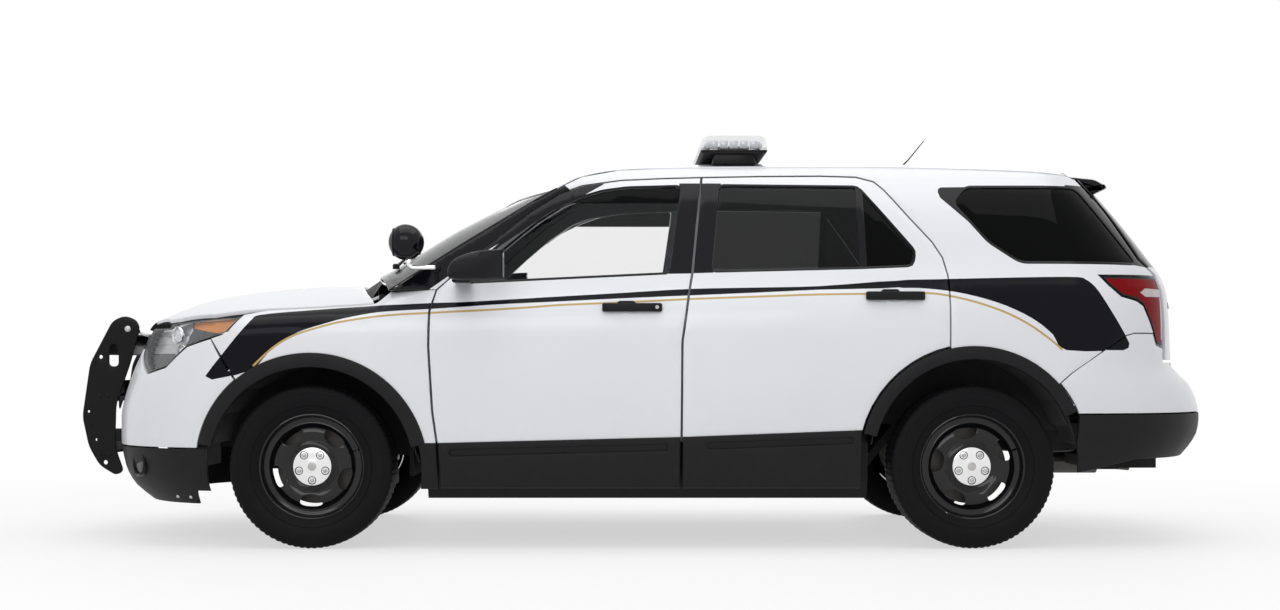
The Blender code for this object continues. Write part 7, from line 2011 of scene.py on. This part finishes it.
# Mirrors: place along and up, inner and outer face as shares of the half width, and the foot on the door
mirrorFacts = {"x": 0.085, "z": 0.698, "inner": 1.032, "outer": 1.149, "layers": 9, "foot": (0.062, 0.668)}
mirrorRows = [(-0.10, -0.05), (0.02, -0.058), (0.12, -0.056), (0.135, -0.04), (0.133, 0.060), (0.120, 0.073),
    (0.0, 0.062), (-0.09, 0.020)]
for side, hand in sides:
    x, z = cab(mirrorFacts["x"]), up(mirrorFacts["z"])
    loop = curved([(x + a, z + b) for a, b in mirrorRows], 3, False)
    low, high = halfWidth * mirrorFacts["inner"], halfWidth * mirrorFacts["outer"]
    verts, faces = [], []
    layers = mirrorFacts["layers"]
    for k in range(layers):
        t = k / (layers - 1)
        y = low + (high - low) * t
        by = 0.034 * (1 - math.sqrt(max(0.0, 1 - (max(0.0, (t - 0.45) / 0.55)) ** 2.2))) + 0.012 * max(0.0,
            (0.2 - t) / 0.2) ** 2
        middle = (x + 0.03, z + 0.005)
        for u, w in loop:
            r = math.hypot(u - middle[0], w - middle[1])
            scale = max(0.05, (r - by) / r)
            scale = 1 - (1 - scale) * (1.0 if u < middle[0] else 0.35)
            verts.append((middle[0] + (u - middle[0]) * scale, side * y, middle[1] + (w - middle[1]) * scale))
    n = len(loop)
    for k in range(layers - 1):
        for i in range(n):
            j = (i + 1) % n
            faces.append((k * n + i, k * n + j, (k + 1) * n + j, (k + 1) * n + i))
    faces += [tuple(range(n)), tuple(range((layers - 1) * n, layers * n))]
    footX, footZ = cab(mirrorFacts["foot"][0]), up(mirrorFacts["foot"][1])
    y0 = flankY(footX, footZ - 0.012) + 0.0024
    ys = sorted((side * y0, side * (halfWidth * 1.05)))
    footLoop = rounded([(footX - 0.04, footZ - 0.012), (footX + 0.04, footZ - 0.012), (footX + 0.04, footZ + 0.014),
        (footX - 0.03, footZ + 0.014)], 0.008, 3)
    foot = slabMesh(footLoop, ys[0], ys[1], 0.003)
    glassY = sorted((side * (low + 0.010), side * (high - 0.018)))
    glassLoop = (glassY[0], z - 0.047), (glassY[1], z - 0.045), (glassY[1], z + 0.055), (glassY[0], z + 0.058)
    glass = slabMesh(rounded(list(glassLoop), 0.012, 4), x + 0.1315, x + 0.1335, 0.0008, "x")
    onePiece(f"door_mirror_{hand}", [(verts, faces, 0), (*foot, 0), (*glass, 1)], "blackPlastic chrome",
        f"door_front_{hand}", [f"mirror_{hand}"], 50)


# Wipers on the cowl
def onScreen(x, y, out):
    return Vector((x, y, roofZ(x, y) + out))


for y, length in ((-0.50, 0.62), (0.10, 0.58)):
    footPoint = onScreen(-1.155 if abs(y) < 0.3 else -1.125, y, 0.012)
    arm = [footPoint, onScreen(footPoint.x + 0.03, y + 0.10, 0.022), onScreen(footPoint.x + 0.055, y + 0.26, 0.018),
        onScreen(footPoint.x + 0.075, y + 0.36, 0.012)]
    blade = [onScreen(footPoint.x + 0.035 + 0.028 * t, y + 0.02 + length * t, 0.0065) for t in (0, 0.2, 0.4, 0.6,
        0.8, 1.0)]
    blade = [onScreen(p.x, min(0.72, max(-0.72, p.y)), 0.0065) for p in blade]
    boss = latheMesh([(-0.008, nearAxis), (-0.008, 0.016), (0.010, 0.016), (0.016, 0.010), (0.016, nearAxis)],
        tuple(footPoint), 24, "z")
    onePiece(f"wiper_{'left' if y < 0 else 'right'}", [(*tubeMesh(arm, [0.008, 0.006, 0.005, 0.004], 8), 0),
        (*tubeMesh(blade, 0.0045, 8), 0), (*boss, 0)], "blackPlastic", "car")
print("outside made")

# Seats: padded cushion and back with seams, on a moulded base
seatFacts = {"front": {"x": 0.05, "ys": (-0.40, 0.40), "width": 0.54, "node": "seat_front_{hand}"},
    "rear": {"x": 0.76, "ys": (0.0,), "width": 1.30, "node": "bench_rear"}}


bolsterShare = 0.62  # of the half width, where the flat middle of a pad ends


# A pad that crowns between its corners, with sewn channels across
def padMesh(length, width, thick, channels, bolster):
    rows, columns = 44, max(24, int(width / 0.02))
    verts, faces = [], []
    for face in (1, -1):
        for i in range(rows + 1):
            for j in range(columns + 1):
                u, w = i / rows * 2 - 1, j / columns * 2 - 1
                su, sw = math.copysign(abs(u) ** 0.85, u), math.copysign(abs(w) ** 0.85, w)
                pull = 0.018 * (abs(u) ** 4) * (1 - abs(w) ** 2) * 0.6
                px = su * (length / 2 - pull * 0.6)
                py = sw * (width / 2 - 0.016 * (1 - abs(u) ** 2) * 0.5 * abs(w) ** 6)
                edge = max(0.0, (1 - abs(u) ** 5)) ** 0.5 * max(0.0, (1 - abs(w) ** 6)) ** 0.5
                z = thick / 2 * edge
                if face == 1:
                    outer = max(0.0, (abs(w) - bolsterShare) / (1 - bolsterShare))
                    z += bolster * math.sin(math.pi * min(1, outer)) * edge
                    z += 0.004 * math.sin(math.pi * (w + 1) * 1.5) ** 2 * edge
                    if abs(w) < bolsterShare:
                        for c in channels:
                            z -= 0.007 * math.exp(-(((u - c) * length / 2 / 0.006) ** 2))
                    z -= 0.009 * math.exp(-(((abs(w) - bolsterShare) * width / 2 / 0.006) ** 2)) * edge
                verts.append((px, py, face * z if face == -1 else z))
    size = (rows + 1) * (columns + 1)
    for face in (0, 1):
        for i in range(rows):
            for j in range(columns):
                a = face * size + i * (columns + 1) + j
                quad = (a, a + 1, a + columns + 2, a + columns + 1)
                faces.append(quad if face == 1 else quad[::-1])
    rim = [i * (columns + 1) for i in range(rows + 1)] + [rows * (columns + 1) + j for j in range(1, columns + 1)]
    rim += [i * (columns + 1) + columns for i in range(rows - 1, -1, -1)] + [j for j in range(columns - 1, 0, -1)]
    for k in range(len(rim)):
        a, b = rim[k], rim[(k + 1) % len(rim)]
        faces.append((a, b, b + size, a + size))
    return verts, faces


# The pad blown up as filled cloth, with its seams and channels sewn in after that
def swollen(meshData, length, width, channels, cap):
    work = newObject("padWork", *meshData, [])
    tidyNormals(work)
    bpy.context.view_layer.objects.active = work
    mesher = work.modifiers.new("grid", "REMESH")
    mesher.mode, mesher.voxel_size = "VOXEL", 0.013
    work.data = bpy.data.meshes.new_from_object(work.evaluated_get(bpy.context.evaluated_depsgraph_get()))
    work.modifiers.clear()
    before = np.empty(len(work.data.vertices) * 3)
    work.data.vertices.foreach_get("co", before)
    cloth = work.modifiers.new("cloth", "CLOTH")
    cloth.settings.use_pressure = True
    cloth.settings.uniform_pressure_force = 4.0
    cloth.settings.effector_weights.gravity = 0.0
    cloth.collision_settings.use_collision = False
    for moment in range(1, 21):
        bpy.context.scene.frame_set(moment)
    puffed = bpy.data.meshes.new_from_object(work.evaluated_get(bpy.context.evaluated_depsgraph_get()))
    work.modifiers.clear()
    after = np.empty(len(puffed.vertices) * 3)
    puffed.vertices.foreach_get("co", after)
    before, after = before.reshape(-1, 3), after.reshape(-1, 3)
    shift = after - before
    size = np.maximum(1e-9, np.linalg.norm(shift, axis=1))[:, None]
    puffed.vertices.foreach_set("co", (before + shift * np.minimum(1.0, cap / size)).ravel())
    bpy.context.scene.frame_set(1)
    work.data = puffed
    finerMesh = work.modifiers.new("fine", "SUBSURF")
    finerMesh.levels = finerMesh.render_levels = 1
    made = bpy.data.meshes.new_from_object(work.evaluated_get(bpy.context.evaluated_depsgraph_get()))
    spots = np.empty(len(made.vertices) * 3)
    made.vertices.foreach_get("co", spots)
    spots = spots.reshape(-1, 3)
    top = np.clip(spots[:, 2] / 0.03, 0.0, 1.0)
    across = np.abs(spots[:, 1]) - bolsterShare * width / 2
    spots[:, 2] -= 0.008 * top * np.exp(-((across / 0.007) ** 2))
    for channel in channels:
        spots[:, 2] -= 0.006 * top * (across < 0) * np.exp(-(((spots[:, 0] - channel * length / 2) / 0.007) ** 2))
    faces = [tuple(p.vertices) for p in made.polygons]
    bpy.data.objects.remove(work)
    return [tuple(p) for p in spots], faces


def placed(meshData, spot, lean):
    turn = Matrix.Translation(spot) @ Matrix.Rotation(lean, 4, "Y")
    return moved(meshData, turn)


made = {}
for which, facts in seatFacts.items():
    for y in facts["ys"]:
        hand = "left" if y < 0 else "right"
        node = facts["node"].format(hand=hand)
        low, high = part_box(node)
        x, width = facts["x"], facts["width"] - 0.012
        name = f"seat_{which}_{hand}" if which == "front" else "bench"
        if which + "cushion" not in made:
            seatShape = padMesh(0.49, width - 0.02, 0.115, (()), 0.014)
            made[which + "cushion"] = swollen(seatShape, 0.49, width - 0.02, (-0.45, 0.0, 0.45), 0.016)
            backShape = padMesh(0.59, width - 0.04, 0.105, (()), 0.016)
            made[which + "back"] = swollen(backShape, 0.59, width - 0.04, (-0.5, -0.1, 0.3), 0.016)
        cushion = placed(made[which + "cushion"], (x - 0.16, y, low.z + 0.335), math.radians(-6))
        backrest = placed(made[which + "back"], (x + 0.225, y, low.z + 0.60), math.radians(-78))
        pads = [("cushion", cushion, 0.62), ("back", backrest, 0.62)]
        heads = (y,) if which == "front" else (-0.42, 0.42)
        for n, at in enumerate(heads):
            pads.append((f"head{n}" if n else "head", placed(padMesh(0.17, 0.26, 0.085, (), 0.004), (x + 0.345, at,
                high.z - 0.09), math.radians(-80)), 0.7))
        for label, data, fill in pads:
            obj = onePiece(f"{name}_{label}", [(*data, 0)], "seatCloth", "car", [node] if label == "cushion"
                else [])
        base = []
        base.append((*blockMesh((x - 0.38, y - width / 2 + 0.05, low.z + 0.06), (x + 0.12, y + width / 2 - 0.05,
            low.z + 0.265), 0.02, 0.01), 0))
        for side in (-1, 1):
            rail = y + side * (width / 2 - 0.09)
            base.append((*blockMesh((x - 0.42, rail - 0.02, low.z + 0.001), (x + 0.16, rail + 0.02, low.z + 0.065),
                0.006, 0.004), 1))
            base.append((*tubeMesh([(x + 0.335, heads[0] + side * 0.06, high.z - 0.22),
                (x + 0.340, heads[0] + side * 0.06, high.z - 0.14)], 0.006, 10), 1))
        backShell = placed(blockMesh((-0.27, -width / 2 + 0.04, -0.012), (0.27, width / 2 - 0.04, 0.012), 0.011,
            0.01), (x + 0.285, y, low.z + 0.585), math.radians(-78))
        base.append((*backShell, 0))
        onePiece(f"{name}_base", base, "cabinTrim brushedSteel", "car")

# Steering wheel: rim, spokes, centre pad and column
ringRadius, tube, lean = 0.18, 0.0145, 0.42
cx, cy, cz = -0.50, -0.40, 0.98
ring = []
for k in range(65):
    t = 2 * math.pi * k / 64
    ring.append((cx - (ringRadius - tube) * math.sin(t) * lean, cy + (ringRadius - tube) * math.cos(t),
        cz + (ringRadius - tube) * math.sin(t)))
wheelParts = [(*tubeMesh(ring, 0.0135, 12, False), 0)]
for angle in (0, 180, 250, 290):
    t = math.radians(angle)
    reach = ringRadius - tube
    out = (cx - reach * math.sin(t) * lean, cy + reach * math.cos(t), cz + reach * math.sin(t))
    wheelParts.append((*tubeMesh([(cx, cy, cz), out], [0.022, 0.011], 10), 1))
pad = latheMesh([(-0.022, nearAxis), (-0.020, 0.045), (-0.010, 0.058), (0.010, 0.060), (0.020, 0.050),
    (0.022, nearAxis)], (0, 0, 0), 32, "x")
pad = moved(pad, Matrix.Translation((cx, cy, cz)) @ Matrix.Rotation(-math.atan(lean), 4, "Y"))
wheelParts.append((*pad, 0))
low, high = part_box("steering_wheel")
column = tubeMesh([(cx, cy, cz), (low.x + 0.004, cy, 0.93)], [0.035, 0.045], 16)
wheelParts.append((*column, 1))
onePiece("steering_wheel_rim", wheelParts, "cabinTrim blackPlastic", "car", ["steering_wheel"])
for name, finish in (("dashboard", "cabinTrim"), ("floor_pan", "cabinCarpet"), ("cowl", "blackPlastic"),
        ("front_frame", "chassisBlack")):
    nodes[name].material_slots[0].material = paint[finish]
nodes["exhaust"].material_slots[0].material = paint["castIron"]
for hand in ("left", "right"):
    nodes[f"knuckle_{hand}"].material_slots[0].material = paint["castIron"]

# Engine under the bonnet: block, cam covers, intake runners and the ribbed cover
low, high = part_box("engine")
middleX, top = (low.x + high.x) / 2, high.z
engineParts = [(*blockMesh((low.x + 0.05, low.y + 0.08, low.z + 0.002), (high.x - 0.05, high.y - 0.08, top - 0.15),
    0.02, 0.02), 0)]
engineParts.append((*blockMesh((low.x + 0.09, low.y + 0.10, top - 0.16), (middleX - 0.10, high.y - 0.10,
    top - 0.06), 0.03, 0.03), 0))
engineParts.append((*blockMesh((middleX + 0.10, low.y + 0.10, top - 0.16), (high.x - 0.09, high.y - 0.10,
    top - 0.06), 0.03, 0.03), 0))
engineParts.append((*blockMesh((middleX - 0.15, low.y + 0.14, top - 0.05), (middleX + 0.15, high.y - 0.14,
    top - 0.014), 0.015, 0.015), 1))
for n in range(7):
    y = low.y + 0.20 + (high.y - low.y - 0.40) * n / 6
    engineParts.append((*blockMesh((middleX - 0.12, y - 0.006, top - 0.016), (middleX + 0.12, y + 0.006,
        top - 0.004), 0.002, 0.002), 1))
for n in range(3):
    y = low.y + 0.20 + (high.y - low.y - 0.40) * n / 2
    for way in (-1, 1):
        path = [(middleX + way * 0.13, y, top - 0.035), (middleX + way * 0.18, y, top - 0.04),
            (middleX + way * 0.20, y, top - 0.08)]
        engineParts.append((*tubeMesh(curved(path, 4, False), 0.020, 16), 0))
cap = latheMesh([(0.0, nearAxis), (0.0, 0.026), (0.018, 0.026), (0.022, 0.020), (0.022, nearAxis)], (low.x + 0.14,
    high.y - 0.18, top - 0.062), 32, "z")
engineParts.append((*cap, 1))
duct = [(middleX, high.y - 0.13, top - 0.06), (middleX - 0.02, high.y - 0.06, top - 0.06), (low.x + 0.10,
    high.y - 0.05, top - 0.07), (low.x + 0.03, high.y - 0.06, top - 0.08)]
engineParts.append((*tubeMesh(curved(duct, 5, False), 0.034, 20), 1))
onePiece("engine_dressed", engineParts, "engineAlloy blackPlastic", "car", ["engine"])

# Dark tub of the spare wheel under the rear floor
tubRows = [(0.385, nearAxis), (0.385, 0.165), (0.392, 0.182), (0.488, 0.200), (0.494, 0.200), (0.494, nearAxis)]
onePiece("spare_wheel_tub", [(*latheMesh(tubRows, (1.885, -0.08, 0.0), 48, "z"), 0)], "chassisBlack", "car")

# Console and instrument hood
low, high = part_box("dashboard")
hood = slabMesh(rounded([(high.x - 0.16, high.z - 0.05), (high.x - 0.01, high.z - 0.03), (high.x - 0.03,
    high.z + 0.035), (high.x - 0.16, high.z + 0.03)], 0.015, 4), -0.57, -0.23, 0.012)
screenUnit = blockMesh((high.x - 0.05, -0.13, high.z - 0.10), (high.x + 0.012, 0.13, high.z + 0.045), 0.012, 0.008)
console = blockMesh((-0.55, -0.09, 0.30), (0.22, 0.09, 0.62), 0.03, 0.02)
onePiece("dash_fittings", [(*hood, 0), (*screenUnit, 1), (*console, 0)], "cabinTrim glossBlack", "car")
print("inside made")

# Floor, backdrop, lamps and camera
stageFacts = {"floor": (0.93, 0.93, 0.93), "cameraX": -0.1225, "cameraY": -9.26, "cameraZ": 0.808, "focal": 1921.0,
    "imageWidth": 1280.0}
stageFacts["imageMiddle"] = (640.0, 305.0)  # middle of the picture, and the point that the camera looks straight at
stageFacts["middle"] = (616.0, 362.0)
stageFacts["sensor"] = 36.0
stageFacts["glow"] = {"near": 2.6, "far": 6.0, "under": 0.60}  # floor: metres from the car, and its level there
stageFacts["worldLevel"] = 0.52
stageFacts["lampAim"] = (0, 0, 0.8)
stageFacts["lamps"] = (("topLamp", (0, -1.0, 6.5), (8.0, 5.0), 200), ("sideLamp", (-2.0, -8.0, 4.5), (7.0, 3.0),
    145), ("backLamp", (1.5, 7.5, 4.5), (7.0, 3.0), 110))
floorMaterial, tree, shader, spot = bareMaterial("paleFloor")
cloud = noiseNode(tree, spot, 0.8)
link(tree, shades(tree, cloud, stageFacts["floor"], 1.0, 1.02), "Result", shader, "Base Color")
shader.inputs["Roughness"].default_value = 0.6
spread = addNode(tree, "VectorMath", operation="LENGTH")
link(tree, spot, "Object", spread, 0)
whiter = addNode(tree, "MapRange")
whiter.inputs["From Min"].default_value = stageFacts["glow"]["near"]
whiter.inputs["From Max"].default_value = stageFacts["glow"]["far"]
whiter.inputs["To Min"].default_value = stageFacts["glow"]["under"]
whiter.inputs["To Max"].default_value = 1.0
link(tree, spread, "Value", whiter, "Value")
floorRays = addNode(tree, "LightPath")
anyRay = addNode(tree, "Math", operation="MAXIMUM")
link(tree, floorRays, "Is Camera Ray", anyRay, 0)
link(tree, floorRays, "Is Glossy Ray", anyRay, 1)
share = addNode(tree, "Math", operation="MULTIPLY")
link(tree, anyRay, "Value", share, 0)
link(tree, whiter, "Result", share, 1)
glow = addNode(tree, "Emission")
glow.inputs["Strength"].default_value = 1.0
both = addNode(tree, "MixShader")
link(tree, share, "Value", both, 0)
link(tree, shader, "BSDF", both, 1)
link(tree, glow, "Emission", both, 2)
link(tree, both, "Shader", tree.nodes["Material Output"], "Surface")
floorMesh = bpy.data.meshes.new("floor")
size = 60.0
floorMesh.from_pydata([(-size, -size, 0), (size, -size, 0), (size, size, 0), (-size, size, 0)], [], [(0, 1, 2, 3)])
floorMesh.materials.append(floorMaterial)
floor = bpy.data.objects.new("floor", floorMesh)
bpy.context.scene.collection.objects.link(floor)

world = bpy.data.worlds.new("studio")
bpy.context.scene.world = world
world.use_nodes = True
tree = world.node_tree
back = tree.nodes["Background"]
back.inputs["Color"].default_value = (1, 1, 1, 1)
rays = addNode(tree, "LightPath")
seen = addNode(tree, "Math", operation="MAXIMUM")
link(tree, rays, "Is Camera Ray", seen, 0)
link(tree, rays, "Is Glossy Ray", seen, 1)
seenOrThrough = addNode(tree, "Math", operation="MAXIMUM")
link(tree, seen, "Value", seenOrThrough, 0)
link(tree, rays, "Is Transmission Ray", seenOrThrough, 1)
level = addNode(tree, "MapRange")
level.inputs["To Min"].default_value = stageFacts["worldLevel"]
level.inputs["To Max"].default_value = 1.0
link(tree, seenOrThrough, "Value", level, "Value")
link(tree, level, "Result", back, "Strength")


def softLamp(name, place, aim, size, energy):
    data = bpy.data.lights.new(name, "AREA")
    data.shape = "RECTANGLE"
    data.size, data.size_y = size
    data.energy = energy
    softLight = bpy.data.objects.new(name, data)
    softLight.location = place
    softLight.rotation_euler = (Vector(aim) - Vector(place)).to_track_quat("-Z", "Y").to_euler()
    bpy.context.scene.collection.objects.link(softLight)


for name, place, size, energy in stageFacts["lamps"]:
    softLamp(name, place, stageFacts["lampAim"], size, energy)

cameraData = bpy.data.cameras.new("camera")
cameraData.sensor_width = stageFacts["sensor"]
cameraData.lens = stageFacts["sensor"] * stageFacts["focal"] / stageFacts["imageWidth"]
cameraData.shift_x = (stageFacts["imageMiddle"][0] - stageFacts["middle"][0]) / stageFacts["imageWidth"]
cameraData.shift_y = (stageFacts["middle"][1] - stageFacts["imageMiddle"][1]) / stageFacts["imageWidth"]
camera = bpy.data.objects.new("camera", cameraData)
camera.location = (stageFacts["cameraX"], stageFacts["cameraY"], stageFacts["cameraZ"])
camera.rotation_euler = (math.pi / 2, 0, 0)
bpy.context.scene.collection.objects.link(camera)
bpy.context.scene.camera = camera
bpy.context.scene.view_settings.view_transform = "Standard"

print("stage made")
